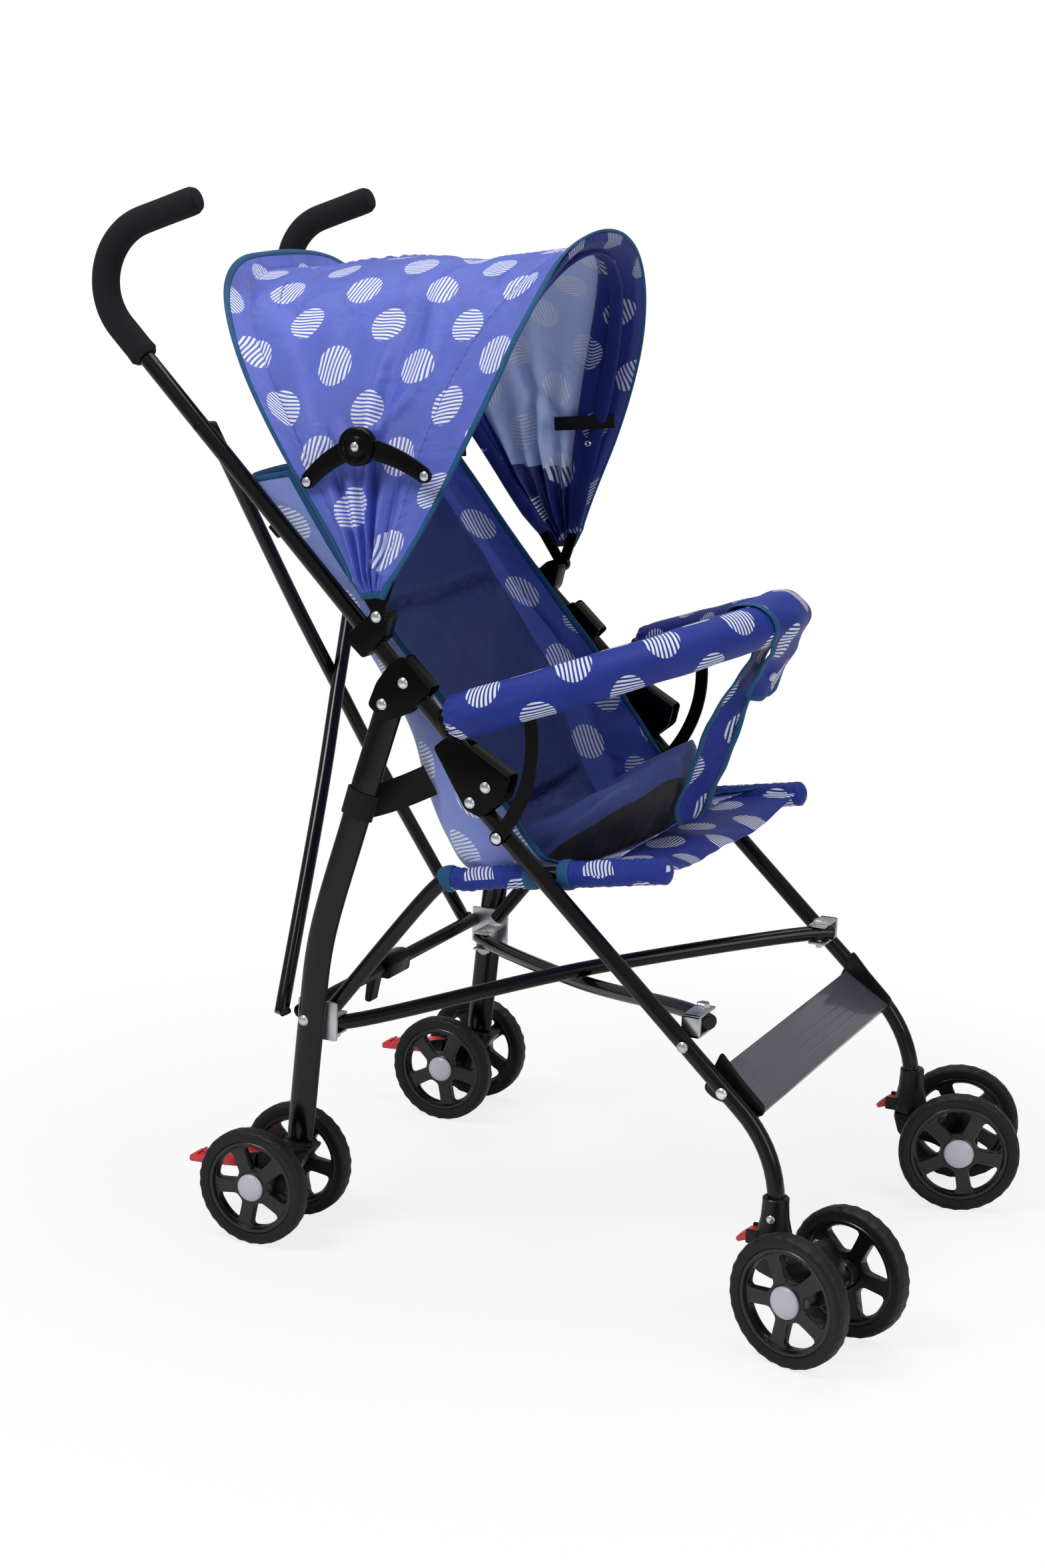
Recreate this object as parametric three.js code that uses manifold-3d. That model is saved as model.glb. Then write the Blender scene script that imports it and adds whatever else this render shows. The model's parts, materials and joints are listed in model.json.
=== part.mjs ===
// A light umbrella-fold baby stroller: two side frames of steel tube joined by crossed tubes at the back and
// under the seat, twin castor wheels in front, twin braked wheels behind, a fabric sling seat, a padded
// bumper bar and a folding hood. Millimetres, +X forward, +Y to the child's left, +Z up.
// The side pieces are drawn once, for the left side, and mirrored for the right one.
import * as THREE from 'three';
import { mergeVertices } from 'three/addons/utils/BufferGeometryUtils.js';
import Module from 'manifold-3d';

const wasm = await Module();
wasm.setup();

// Clearances
const seatGap = 0.3; // between a piece and what it sits on or turns in
const weld = 1e-3; // vertices closer than this are one

// Side frame: everything is laid out in the plane y = halfTrack, which leans inwards above leanStart
const halfTrack = 200;
const leanStart = 460;
const leanSlope = 0.0555; // how far a side frame leans in for each millimetre of height
const tubeRadius = 8;
const tubeSides = 8;
const handleFoot = [228, 465];
const handleBendCentre = [-152, 910];
const handleBendRadius = 60;
const handleRise = 136.4; // degrees from +X, the straight run
const gripRise = 20; // degrees from +X, the end of the handle
const gripEnd = [-118, 986];
const gripRadius = 13.5;
const gripLength = 40; // straight foam below the bend
const gripCapThickness = 5;

const frontLegTop = [196, 464];
const frontLegX = 517;
const frontLegKneeZ = 168;
const frontLegKneeRadius = 118;
const frontLegFootZ = 105;
const frontLegSplay = 6; // the foot of the leg stands this much further out

// The x of the front leg's straight run at a height.
const frontLegRun = (frontLegX - frontLegTop[0]) / (frontLegTop[1] - frontLegKneeZ);
const frontLegAt = (z) => frontLegTop[0] + frontLegRun * (frontLegTop[1] - z);

const rearLegPath = [[114, 541], [81, 426], [45, 300], [35.5, 222], [24, 92]];
const rearLegDepth = 28;
const rearLegWidth = 14;
const rearLegRivet = [30.4, 218.4];

// Brackets of folded sheet
const sheet = 2.5;
const wallTrim = 3; // a folded wall stops this far from the corners of its plates
const lugHalf = 9; // half the width of the lugs that hold the base cross tubes
const rearWebBehind = 26; // the rear leg's zinc web, behind and ahead of its bolt
const rearWebAhead = 16;
const rearWebRise = 18;
const boltTail = 7; // a bolt stands this far out of the lugs, with its nut
const frontRivetDrop = 16; // below the front bracket's bolt
const rivetRadius = 5.2;
const rivetHeight = 2.6;
const upperBracketOutline = [
  [128, 584], [159, 555], [145, 541], [131, 528], [111, 521], [94, 535], [102, 557], [114, 574],
];
const upperBracketRivets = [[130, 559], [109, 537]];
const latchBracketOutline = [
  [164, 503], [175, 513], [197, 509], [243, 483], [238, 462], [215, 443], [199, 449],
];
const latchBracketRivets = [[219, 472], [204, 456]]; // the leg turns on the second one

// Wheels
const rearWheelRadius = 57.6;
const rearWheelSpacing = 43.6; // from the middle of the pair
const rearWheelOut = 4; // the rear wheels stand this much further out than the side frames
const rearHalfTrack = halfTrack + rearWheelOut;
const frontWheelRadius = 61;
const frontWheelSpacing = 47;
const wheelWidth = 17.5;
const wheelSides = 18;
const tyreDepth = 11.5;
const rimDepth = 4;
const spokeCount = 5;
const spokeWidth = 13;
const webDepth = 8;
const axleSeat = 6; // solid hub left beyond the blind end of its bore
const axleRadius = 4;
const rearCapRadius = 14.5;
const frontCapRadius = 16;
const capHeight = 5;
const hubBossRadius = 12;
const hubBossLength = 26;

// Castors
const castorTrail = 52;
const castorToe = 16; // degrees that each castor stands turned out
const castorY = halfTrack + frontLegSplay;
const socketBottom = 86;
const socketTop = 131;
const socketFlareRadius = 17.5;
const socketNeckRadius = 12;
const socketScrewRadius = 4;
const stemRadius = 6;
const stemTop = 98;
const forkWidth = 30;
const lockWidth = 15;
const lockPivot = [frontLegX - 18.5, 93];
const lockOutline = [[4.5, 3], [4.5, -4], [-4, -5], [-14, -9], [-16, -5], [-5, 4]]; // from its pivot
const lugLength = 5; // behind the lock's pivot
const lugHeight = 13;
const lugWall = 3;
const forkOutline = [
  [-17, 0], [17, 0], [21, -5.5], [37, -5.5], [40, 11], [47, 17.5], [58, 14], [69, -2], [72, -30], [60, -40], [
    44, -40,
  ],
  [26, -30], [-10, -24],
]; // from the swivel axis and the socket's lower face; it stays low as far out as the lock reaches

// Rear wheel housing and brake pedal, in the side view
const housingTop = 93;
const housingOutline = [
  [-17, 40], [17, 40], [22, 62], [43, housingTop - 4], [43, housingTop], [5, housingTop], [
    5, housingTop - 5,
  ],
  [-6, 82], [-34, 74], [-36, 58], [-20, 52],
];
const collarX = 24.5;
const collarRadius = 18;
const collarHeight = 7;
const axleBossRadius = 11;
const housingWidth = 27;
const pedalWidth = 22;
const pedalPivot = [-27, 66];
// from its pivot
const pedalOutline = [[6, 5], [7, -4], [-6, -6], [-34, -9], [-66, -11], [-66, -4], [-34, 1], [-8, 7]];
const trunnionRadius = 2;
const trunnionLength = 1.4; // out of each side of a pedal or lever
const trunnionHole = trunnionLength + 0.2;

// Seat rails
const railRadius = 7.5;
const railInset = 18;
const railY = halfTrack - railInset;
const railPath = [[50, 229], [156, 362], [192, 376], [274, 391], [390, 411]];
const railPivotFront = [274, 391];

// Crossed tubes
const backCrossTop = [-101, 778];
const backCrossBottom = [1.7, 219];
const backCrossRadius = 7;
const baseCrossRear = [43, halfTrack - 33, 208];
const baseCrossFrontZ = 272;
const baseCrossFront = [frontLegAt(baseCrossFrontZ) + 18.8, halfTrack - 37, baseCrossFrontZ];
const baseCrossTail = 13; // the tube runs on past its bolts
const baseCrossStraight = 16; // and is straight this far inside them
const baseCrossRadius = 7.5;
const boltRadius = 3;
const boltHeadRadius = 6.5;

// Rear crossbar with its lock
const crossbarX = 17;
const crossbarZ = 221;
const crossbarRadius = 7;
const lockHousingHalf = 22;
const lockHousingOutline = [[-11, -10], [10, -11], [12, 6], [4, 13], [-9, 10]]; // from the bar's middle
const lockEarOutline = [[-8, -8], [-22, -7], [-22, 5], [-8, 8]];
const lockEarWall = 4;
const lockSlotHalf = 8;
const lockPedalBack = 16.5; // the pedal's pivot lies this far behind the bar's middle
const lockPedalPivotX = crossbarX - lockPedalBack;
// from its pivot
const lockPedalOutline = [[4, 6], [5, -8], [1, -24], [-3, -44], [-10, -43], [-8, -22], [-5, 4]];

// Footrest
const footrestRear = [frontLegAt(228) - 2.9, 228];
const footrestFront = [frontLegAt(201) + 10.8, 201];
const footrestThickness = 3;
const footrestRibs = 7;
const footrestRibHeight = 1.2;
const footrestSideGap = 3;
const footrestPlateY = halfTrack - tubeRadius - footrestSideGap;
const footrestScrew = [frontLegAt(219) - 0.7, 219];
const footrestLugRadius = 5;
const footrestLip = 8; // the board's rear and front edges turn down by this much
const cheekOutline = [[-9, 33], [-25, -5], [-15, -13], [33, -23], [36, -13], [9, 13]]; // from the screw

// Bumper bar
const bumperEnd = [182, 533];
const bumperReach = 234;
const bumperRise = 84;
const bumperOut = 27; // the bar's ends stand this much further out than the side frames
const bumperHalfWidth = halfTrack + bumperOut;
const bumperPower = 1.9;
const bumperTubeRadius = 11;
const bumperCoverRadius = 21.5;
const bumperSteps = 16;
const stayRivet = [232, 426];
const stayWidth = 13;
const stayTopX = 257;
const stayBow = 24; // how far the stay bows forward
const stayThickness = 3.2;
const coverFrom = 0.012; // share of the bar left bare at each end

// Hood, laid out around the clamp rivet
const hoodPivot = [104, 619];
const clampReach = 11;
const clampOutline = [[99, 625], [73, 602], [69, 592], [87, 577], [106, 596], [112, 620]];
const bowGap = 1.2; // between the two bows on the clamp's post
const hoodPostRadius = 3.2;
const bowThickness = 3;
const bowWidth = 11;
const eyeRadius = 8;
const hoodCloth = 2.4;
const clothGap = 0.5;
const rearBow = { angle: 124.3, reach: 362, half: halfTrack - 7, power: 2.85, bend: 0, layer: 0 };
const frontBow = { angle: 71.7, reach: 353.1, half: halfTrack - 7.9, power: 2.15, bend: 0, layer: 1 };
const hoodEdges = [
  { at: 0, angle: 128.5, reach: rearBow.reach + 23, half: rearBow.half + 7, power: 3.4, bend: -3.5 },
  { at: 0.12, angle: 121.5, reach: rearBow.reach + 7, half: rearBow.half + 4, power: 2.9, bend: 3.3 },
  { at: 0.88, angle: 82, reach: frontBow.reach - 1.1, half: frontBow.half + 3.9, power: 2.15, bend: -9 },
  { at: 1, angle: 63.9, reach: frontBow.reach + 15.4, half: frontBow.half + 3.9, power: 2.45, bend: 6.6 },
];
const hoodTip = 20; // the cloth starts this far from the rivet
const hoodBaseHeight = 40; // up to here the bows stand out side by side, clear of the clamp
const hoodBaseFade = 38;
const stayRearReach = 142;
const stayFrontReach = 139;
const stayKnob = [78, 773];
const stayKnobRadius = 18;
const stayAxisRadius = 5;
const stayArmThickness = 3.6;
const stayArmBulge = 9;
const stayTipRadius = 6.5;
const stayArmInset = 1.7; // the inner face of a hood stay lies this far inside the side frame's plane

// Seat sling and cushion
const slingThickness = 5;
const slingBack = [
  [-64, 736], [2, 655], [66, 562], [104, 480], [127, 420], [150, 379], [182, 364], [228, 371],
  [272, 384], [312, 398],
];
const slingWing = [
  [0, 734], [52, 656], [110, 580], [160, 492], [190, 440], [207, 408], [222, 392], [262, 392],
  [325, 402], [392, 414],
];
const padHalfWidth = 105;
const padThickness = 9;
const cushionRise = 42;

// Crotch strap
const strapWidth = 36;
const strapThickness = 3;
const strapSlack = 1.7; // between the strap's loop and the bar's cover
const strapPath = [[-9, -23.2], [-26, -58], [-44, -97], [-59, -147], [-73, -179]]; // from the bar's middle

// Finishes
const finish = (colour, roughness, metalness = 0) =>
  new THREE.MeshStandardMaterial({ color: colour, roughness, metalness });
const blackPaint = finish(0x0b0b0d, 0.22, 0.3);
const blackPlastic = finish(0x141416, 0.45);
const foam = finish(0x1b1c20, 0.95);
const tyreRubber = finish(0x17181a, 0.8);
const zinc = finish(0xb9bcc0, 0.35, 0.9);
const redPlastic = finish(0xe0303a, 0.35);
const smokePlastic = finish(0x2a2b30, 0.3);
const blueCloth = finish(0x4b5fbe, 0.6);
const navyCloth = finish(0x2a3566, 0.8);

// ---------------------------------------------------------------- solids

const radians = THREE.MathUtils.degToRad;
const leanAt = (z) => Math.max(0, z - leanStart) * leanSlope;
const frameY = (z) => halfTrack - leanAt(z);

function solidOf(geometry) {
  const loose = geometry.index ? geometry.toNonIndexed() : geometry.clone();
  loose.deleteAttribute('normal');
  loose.deleteAttribute('uv');
  const merged = mergeVertices(loose, weld);
  const vertProperties = merged.attributes.position.array;
  const triVerts = new Uint32Array(merged.index.array);
  return new wasm.Manifold(new wasm.Mesh({ numProp: 3, vertProperties, triVerts }));
}

function geometryOf(solid) {
  const mesh = solid.getMesh();
  const geometry = new THREE.BufferGeometry();
  geometry.setAttribute('position', new THREE.BufferAttribute(mesh.vertProperties, 3));
  geometry.setIndex(new THREE.BufferAttribute(mesh.triVerts, 1));
  return geometry;
}

// Joins the solids of the first list, then cuts those of the second from them.
function build(joined, cuts = []) {
  let whole = solidOf(joined[0]);
  for (const piece of joined.slice(1)) {
    whole = whole.add(solidOf(piece));
  }
  for (const piece of cuts) {
    whole = whole.subtract(solidOf(piece));
  }
  return geometryOf(whole);
}

// A path through given places, stepped at its own points instead of at equal lengths.
class Route extends THREE.Curve {
  constructor(places) {
    super();
    this.places = places;
  }
  getPoint(share, target = new THREE.Vector3()) {
    const at = share * (this.places.length - 1);
    const before = Math.min(Math.floor(at), this.places.length - 2);
    return target.copy(this.places[before]).lerp(this.places[before + 1], at - before);
  }
  getPointAt(share, target) {
    return this.getPoint(share, target);
  }
  getTangentAt(share, target = new THREE.Vector3()) {
    const last = this.places.length - 1;
    const index = Math.round(share * last);
    const ahead = this.places[Math.min(index + 1, last)];
    const behind = this.places[Math.max(index - 1, 0)];
    return target.copy(ahead).sub(behind).normalize();
  }
}

// A polyline whose inner corners are rounded with the given radius, in steps of about twelve degrees.
function bent(corners, radius, step = 12) {
  const places = [corners[0]];
  for (let i = 1; i < corners.length - 1; i += 1) {
    const back = corners[i - 1].clone().sub(corners[i]).normalize();
    const ahead = corners[i + 1].clone().sub(corners[i]).normalize();
    const turn = Math.PI - back.angleTo(ahead);
    const reach = radius * Math.tan(turn / 2);
    const middle = back.clone().add(ahead).normalize();
    const centre = corners[i].clone().addScaledVector(middle, radius / Math.cos(turn / 2));
    const start = corners[i].clone().addScaledVector(back, reach).sub(centre);
    const axis = back.clone().negate().cross(ahead).normalize();
    const count = Math.max(2, Math.round(THREE.MathUtils.radToDeg(turn) / step));
    for (let k = 0; k <= count; k += 1) {
      places.push(start.clone().applyAxisAngle(axis, (turn * k) / count).add(centre));
    }
  }
  places.push(corners[corners.length - 1]);
  return places;
}

function ellipse(across, deep, sides = tubeSides) {
  const turn = Math.PI / sides;
  const points = Array.from({ length: sides }, (_, i) => {
    const angle = (2 * Math.PI * i) / sides + turn;
    return new THREE.Vector2(across * Math.cos(angle), deep * Math.sin(angle));
  });
  return new THREE.Shape(points);
}

function sweep(section, places) {
  const settings = { steps: places.length - 1, extrudePath: new Route(places), bevelEnabled: false };
  return new THREE.ExtrudeGeometry(section, settings);
}

const tube = (places, radius, sides = tubeSides) => sweep(ellipse(radius, radius, sides), places);

// A place on the side frame, from its side-view coordinates and its distance outwards from the tube's middle.
const onSide = ([x, z], out = 0) => new THREE.Vector3(x, halfTrack + out, z);

// Leans a piece that was drawn in the upright plane with its side frame.
function lean(geometry) {
  const place = geometry.attributes.position;
  for (let i = 0; i < place.count; i += 1) {
    place.setY(i, place.getY(i) - leanAt(place.getZ(i)));
  }
  return geometry;
}

// A flat sheet cut to an outline in the side view, with rounded corners, between two distances outwards.
function plate(outline, inner, outer, rounding = 4) {
  const settings = { depth: outer - inner, bevelEnabled: false, curveSegments: rounding > 3 ? 2 : 1 };
  const sharp = () => new THREE.Shape(outline.map((at) => new THREE.Vector2(...at)));
  const shape = rounding > 0 ? rounded(outline, rounding) : sharp();
  return new THREE.ExtrudeGeometry(shape, settings).rotateX(Math.PI / 2).translate(0, halfTrack + outer, 0);
}

const shifted = (outline, [x, z]) => outline.map((corner) => [corner[0] + x, corner[1] + z]);

function rounded(outline, rounding) {
  const shape = new THREE.Shape();
  const count = outline.length;
  outline.forEach((corner, i) => {
    const here = new THREE.Vector2(...corner);
    const before = new THREE.Vector2(...outline[(i + count - 1) % count]).sub(here);
    const after = new THREE.Vector2(...outline[(i + 1) % count]).sub(here);
    const start = here.clone().addScaledVector(before, Math.min(rounding / before.length(), 0.45));
    const end = here.clone().addScaledVector(after, Math.min(rounding / after.length(), 0.45));
    if (i === 0) {
      shape.moveTo(start.x, start.y);
    } else {
      shape.lineTo(start.x, start.y);
    }
    shape.quadraticCurveTo(here.x, here.y, end.x, end.y);
  });
  return shape;
}

// A round pin between two places.
function pin(from, to, radius, sides = 8) {
  const along = to.clone().sub(from);
  const geometry = new THREE.CylinderGeometry(radius, radius, along.length(), sides);
  geometry.applyQuaternion(new THREE.Quaternion().setFromUnitVectors(
    new THREE.Vector3(0, 1, 0), along.normalize(),
  ));
  return geometry.translate(...from.clone().add(to).multiplyScalar(0.5).toArray());
}

// A round hole for a pin, whose flats clear the pin by the seat gap.
const boreFor = (from, to, radius, sides = 8) => pin(
  from, to, (radius + seatGap) / Math.cos(Math.PI / sides), sides,
);

// A domed rivet head that stands on a face, looking outwards along +Y.
function rivet(at, out, radius = rivetRadius, height = rivetHeight) {
  const sink = 1;
  const profile = [
    [0, -sink], [radius, -sink], [radius, height * 0.3], [radius * 0.6, height], [0, height],
  ];
  return ring(profile, 8).translate(at[0], halfTrack + out, at[1]);
}

const block = (low, high) => {
  const size = high.map((value, i) => value - low[i]);
  const middle = high.map((value, i) => (value + low[i]) / 2);
  return new THREE.BoxGeometry(...size).translate(...middle);
};

const ring = (profile, segments = wheelSides) =>
  new THREE.LatheGeometry(profile.map(([r, y]) => new THREE.Vector2(r, y)), segments);

// A closed cloth of given thickness below the surface place(u, v); the thickness may change over it.
function cloth(place, shares, columns, thickness) {
  const step = 1e-3;
  const rows = shares.length - 1;
  const corners = [];
  const outside = [];
  const inside = [];
  for (let i = 0; i <= rows; i += 1) {
    for (let j = 0; j <= columns; j += 1) {
      const [u, v] = [shares[i], j / columns];
      const here = place(u, v);
      const alongU = place(Math.min(u + step, 1), v).sub(place(Math.max(u - step, 0), v));
      const alongV = place(u, Math.min(v + step, 1)).sub(place(u, Math.max(v - step, 0)));
      const normal = alongU.cross(alongV).normalize();
      outside.push(here);
      inside.push(here.clone().addScaledVector(normal, thickness(u, v)));
    }
  }
  for (const corner of [...outside, ...inside]) {
    corners.push(corner.x, corner.y, corner.z);
  }
  const at = (i, j, side) => side * outside.length + i * (columns + 1) + j;
  const faces = [];
  const quad = (a, b, c, d) => faces.push(a, b, c, a, c, d);
  for (let i = 0; i < rows; i += 1) {
    for (let j = 0; j < columns; j += 1) {
      quad(at(i, j, 0), at(i, j + 1, 0), at(i + 1, j + 1, 0), at(i + 1, j, 0));
      quad(at(i, j, 1), at(i + 1, j, 1), at(i + 1, j + 1, 1), at(i, j + 1, 1));
    }
    quad(at(i, 0, 0), at(i + 1, 0, 0), at(i + 1, 0, 1), at(i, 0, 1));
    quad(at(i, columns, 0), at(i, columns, 1), at(i + 1, columns, 1), at(i + 1, columns, 0));
  }
  for (let j = 0; j < columns; j += 1) {
    quad(at(0, j, 0), at(0, j, 1), at(0, j + 1, 1), at(0, j + 1, 0));
    quad(at(rows, j, 0), at(rows, j + 1, 0), at(rows, j + 1, 1), at(rows, j, 1));
  }
  const geometry = new THREE.BufferGeometry();
  geometry.setAttribute('position', new THREE.Float32BufferAttribute(corners, 3));
  geometry.setIndex(faces);
  return geometry;
}

// ---------------------------------------------------------------- side frame

const direction = (degrees) => new THREE.Vector3(Math.cos(radians(degrees)), 0, Math.sin(radians(degrees)));

// The handle's middle line: a straight run, a bend of more than a right angle, and a short grip.
function handleLine(from = onSide(handleFoot)) {
  const centre = onSide(handleBendCentre);
  const start = handleRise + 90;
  const end = gripRise + 90;
  const count = 8;
  const places = [from];
  for (let k = 0; k <= count; k += 1) {
    const angle = start + ((end - start) * k) / count;
    places.push(centre.clone().addScaledVector(direction(angle), handleBendRadius));
  }
  places.push(onSide(gripEnd));
  return places;
}

const gripStart = () => {
  const bendStart = handleLine()[1];
  return bendStart.clone().addScaledVector(direction(handleRise), -gripLength);
};

const handleTube = () => lean(tube(handleLine(), tubeRadius));

function handleGrip() {
  const outer = handleLine(gripStart());
  outer[outer.length - 1].addScaledVector(direction(gripRise), gripCapThickness);
  const bore = handleLine(gripStart().addScaledVector(direction(handleRise), -seatGap));
  bore[bore.length - 1].addScaledVector(direction(gripRise), seatGap);
  return lean(build([tube(outer, gripRadius, 10)], [tube(bore, tubeRadius + seatGap)]));
}

const frontLegLine = () => {
  const knee = new THREE.Vector3(frontLegX, halfTrack, frontLegKneeZ);
  const foot = new THREE.Vector3(frontLegX, halfTrack + frontLegSplay, frontLegFootZ);
  return bent([onSide(frontLegTop), knee, foot], frontLegKneeRadius, 12);
};

// The front leg carries a zinc bracket for the base cross tube on its inner side.
function frontLeg() {
  const [x, y, z] = baseCrossFront;
  const inner = halfTrack - tubeRadius;
  const half = baseCrossRadius + seatGap;
  const top = block([x - lugHalf, y - lugHalf, z + half], [x + lugHalf, inner + 2, z + half + sheet]);
  const bottom = block([x - lugHalf, y - lugHalf, z - half - sheet], [x + lugHalf, inner + 2, z - half]);
  const web = block(
    [x - lugHalf, inner - sheet, z - half - sheet], [x + lugHalf, inner + 2, z + half + sheet],
  );
  const bolt = pin(
    new THREE.Vector3(x, y, z - half - boltTail), new THREE.Vector3(x, y, z + half + boltTail - 2),
    boltRadius,
  );
  const headFoot = new THREE.Vector3(x, y, z + half + sheet - 0.5);
  const head = pin(headFoot, new THREE.Vector3(x, y, z + half + boltTail), boltHeadRadius, 6);
  const rivetZ = z - frontRivetDrop;
  const outerRivet = rivet([frontLegAt(rivetZ), rivetZ], tubeRadius);
  return lean(build([tube(frontLegLine(), tubeRadius), top, bottom, web, bolt, head, outerRivet]));
}

// The rear leg is a flat oval tube; its inner side carries the zinc bracket for the base cross tube and rail.
function rearLeg() {
  const curve = new THREE.CatmullRomCurve3(rearLegPath.map((place) => onSide(place)));
  const leg = sweep(ellipse(rearLegWidth / 2, rearLegDepth / 2, 10), curve.getPoints(8));
  const [x, y, z] = baseCrossRear;
  const inner = halfTrack - rearLegWidth / 2;
  const half = baseCrossRadius + seatGap;
  const [low, high] = [z - half - sheet, z + half + sheet];
  const web = block(
    [x - rearWebBehind, inner - sheet, low], [x + rearWebAhead, inner + 1, high + rearWebRise],
  );
  const top = block([x - lugHalf, y - lugHalf, z + half], [x + lugHalf, inner, high]);
  const bottom = block([x - lugHalf, y - lugHalf, low], [x + lugHalf, inner, z - half]);
  const bolt = pin(
    new THREE.Vector3(x, y, low - boltTail + 1), new THREE.Vector3(x, y, high + 1), boltRadius,
  );
  const outerRivet = rivet(rearLegRivet, rearLegWidth / 2);
  return lean(build([leg, web, top, bottom, bolt, outerRivet]));
}

// A channel of folded sheet: an outer and an inner plate with a wall along one edge of the outline.
function channel(outline, edge, rivets, reach) {
  const [from, to] = [outline[edge], outline[edge + 1]].map((corner) => new THREE.Vector2(...corner));
  const along = to.clone().sub(from).normalize();
  const inward = new THREE.Vector2(along.y, -along.x).multiplyScalar(sheet);
  const trim = along.clone().multiplyScalar(wallTrim);
  const wall = [from.clone().add(trim), to.clone().sub(trim)];
  const strip = [wall[0], wall[1], wall[1].clone().add(inward), wall[0].clone().add(inward)];
  const pieces = [
    plate(outline, reach, reach + sheet),
    plate(outline, -reach - sheet, -reach),
    plate(strip.map((corner) => corner.toArray()), -reach - 1, reach + 1, 0),
    ...rivets.map((at) => rivet(at, reach + sheet)),
  ];
  return lean(build(pieces));
}

const plateReach = tubeRadius + seatGap;
const upperBracket = () => channel(upperBracketOutline, 0, upperBracketRivets, plateReach);
const latchBracket = () => channel(latchBracketOutline, 2, latchBracketRivets, plateReach);

// The seat rail, with the bush and rivet that join it to the front leg.
function seatRail() {
  const out = railY - halfTrack;
  const line = new THREE.CatmullRomCurve3(
    railPath.map((place) => onSide(place, out)), false, 'catmullrom', 0.4,
  );
  const bush = pin(onSide(railPivotFront, out + 5), onSide(railPivotFront, -tubeRadius - seatGap), 4.5);
  return build([tube(line.getPoints(12), railRadius), bush]);
}

// ---------------------------------------------------------------- wheels

function tyre(radius) {
  const half = wheelWidth / 2;
  const inner = radius - tyreDepth;
  return ring([
    [inner, -half + 1.5], [radius - 3, -half], [radius, -half + 4], [radius, half - 4],
    [radius - 3, half], [inner, half - 1.5], [inner, -half + 1.5],
  ]);
}

// One window between two spokes, as a rounded wedge.
function spokeWindow(index, inner, outer) {
  const middle = (2 * Math.PI * index) / spokeCount;
  const half = Math.PI / spokeCount;
  const wide = half - Math.asin(spokeWidth / 2 / outer) - 0.02;
  const narrow = half - Math.asin(spokeWidth / 2 / inner);
  const at = (radius, angle) => [radius * Math.cos(middle + angle), radius * Math.sin(middle + angle)];
  const window = new THREE.Path();
  window.moveTo(...at(inner, narrow));
  window.quadraticCurveTo(...at(inner - 2, 0), ...at(inner, -narrow));
  window.lineTo(...at(outer - 5, -wide));
  window.quadraticCurveTo(...at(outer, -wide), ...at(outer, -wide * 0.6));
  window.quadraticCurveTo(...at(outer * 1.03, 0), ...at(outer, wide * 0.6));
  window.quadraticCurveTo(...at(outer, wide), ...at(outer - 5, wide));
  return window;
}

// A moulded hub: rim, spoked web, boss with a blind bore for the axle, and a domed cap on the outer side.
function hub(radius, capRadius) {
  const rimOuter = radius - tyreDepth - seatGap;
  const rimInner = rimOuter - rimDepth;
  const half = wheelWidth / 2 - 1.5;
  const face = ellipse(rimInner + 1, rimInner + 1, wheelSides);
  const windows = Array.from({ length: spokeCount }, (_, i) => spokeWindow(i, capRadius + 4, rimInner - 1));
  face.holes = windows;
  const web = new THREE.ExtrudeGeometry(face, { depth: webDepth, bevelEnabled: false, curveSegments: 1 });
  web.translate(0, 0, -webDepth / 2).rotateX(Math.PI / 2);
  const rim = ring([
    [rimInner, -half], [rimOuter, -half], [rimOuter, half], [rimInner, half], [rimInner, -half],
  ]);
  const boss = ring([
    [0, -hubBossLength / 2], [hubBossRadius, -hubBossLength / 2], [capRadius, half - 2],
    [capRadius, half + 0.5], [capRadius * 0.7, half + capHeight * 0.7], [0, half + capHeight],
  ], 10);
  const boreTop = hubBossLength / 2 - axleSeat;
  const bore = boreFor(
    new THREE.Vector3(0, -hubBossLength, 0), new THREE.Vector3(0, boreTop + seatGap, 0), axleRadius,
  );
  return build([rim, web, boss], [bore]);
}

const axleLength = (spacing) => 2 * (spacing + hubBossLength / 2 - axleSeat);

// ---------------------------------------------------------------- rear housing and brake

const pedalEar = pedalWidth / 2 + seatGap;

function rearHousing() {
  const [px, pz] = pedalPivot;
  const half = housingWidth / 2;
  const out = rearHalfTrack - halfTrack;
  const body = plate(housingOutline, out - half, out + half, 6);
  const collarFoot = onSide([collarX, housingTop + 1 - collarHeight]);
  const collar = pin(collarFoot, onSide([collarX, housingTop + 1]), collarRadius, 12);
  const boss = pin(
    new THREE.Vector3(0, rearHalfTrack - rearWheelSpacing + hubBossLength / 2 + seatGap, rearWheelRadius),
    new THREE.Vector3(0, rearHalfTrack + rearWheelSpacing - hubBossLength / 2 - seatGap, rearWheelRadius),
    axleBossRadius, 10,
  );
  const reach = axleLength(rearWheelSpacing) / 2;
  const axle = pin(
    new THREE.Vector3(0, rearHalfTrack - reach, rearWheelRadius),
    new THREE.Vector3(0, rearHalfTrack + reach, rearWheelRadius), axleRadius,
  );
  const curve = new THREE.CatmullRomCurve3(rearLegPath.map((place) => onSide(place)));
  const socket = sweep(
    ellipse(rearLegWidth / 2 + seatGap, rearLegDepth / 2 + seatGap, 10), curve.getPoints(8),
  );
  const slot = block([-60, rearHalfTrack - pedalEar, 40], [px + 9, rearHalfTrack + pedalEar, 90]);
  const holes = boreFor(
    new THREE.Vector3(px, rearHalfTrack - pedalEar - trunnionHole, pz),
    new THREE.Vector3(px, rearHalfTrack + pedalEar + trunnionHole, pz),
    trunnionRadius,
  );
  return build([body, collar, boss, axle], [slot, holes, socket.translate(0, 0, -seatGap)]);
}

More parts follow.
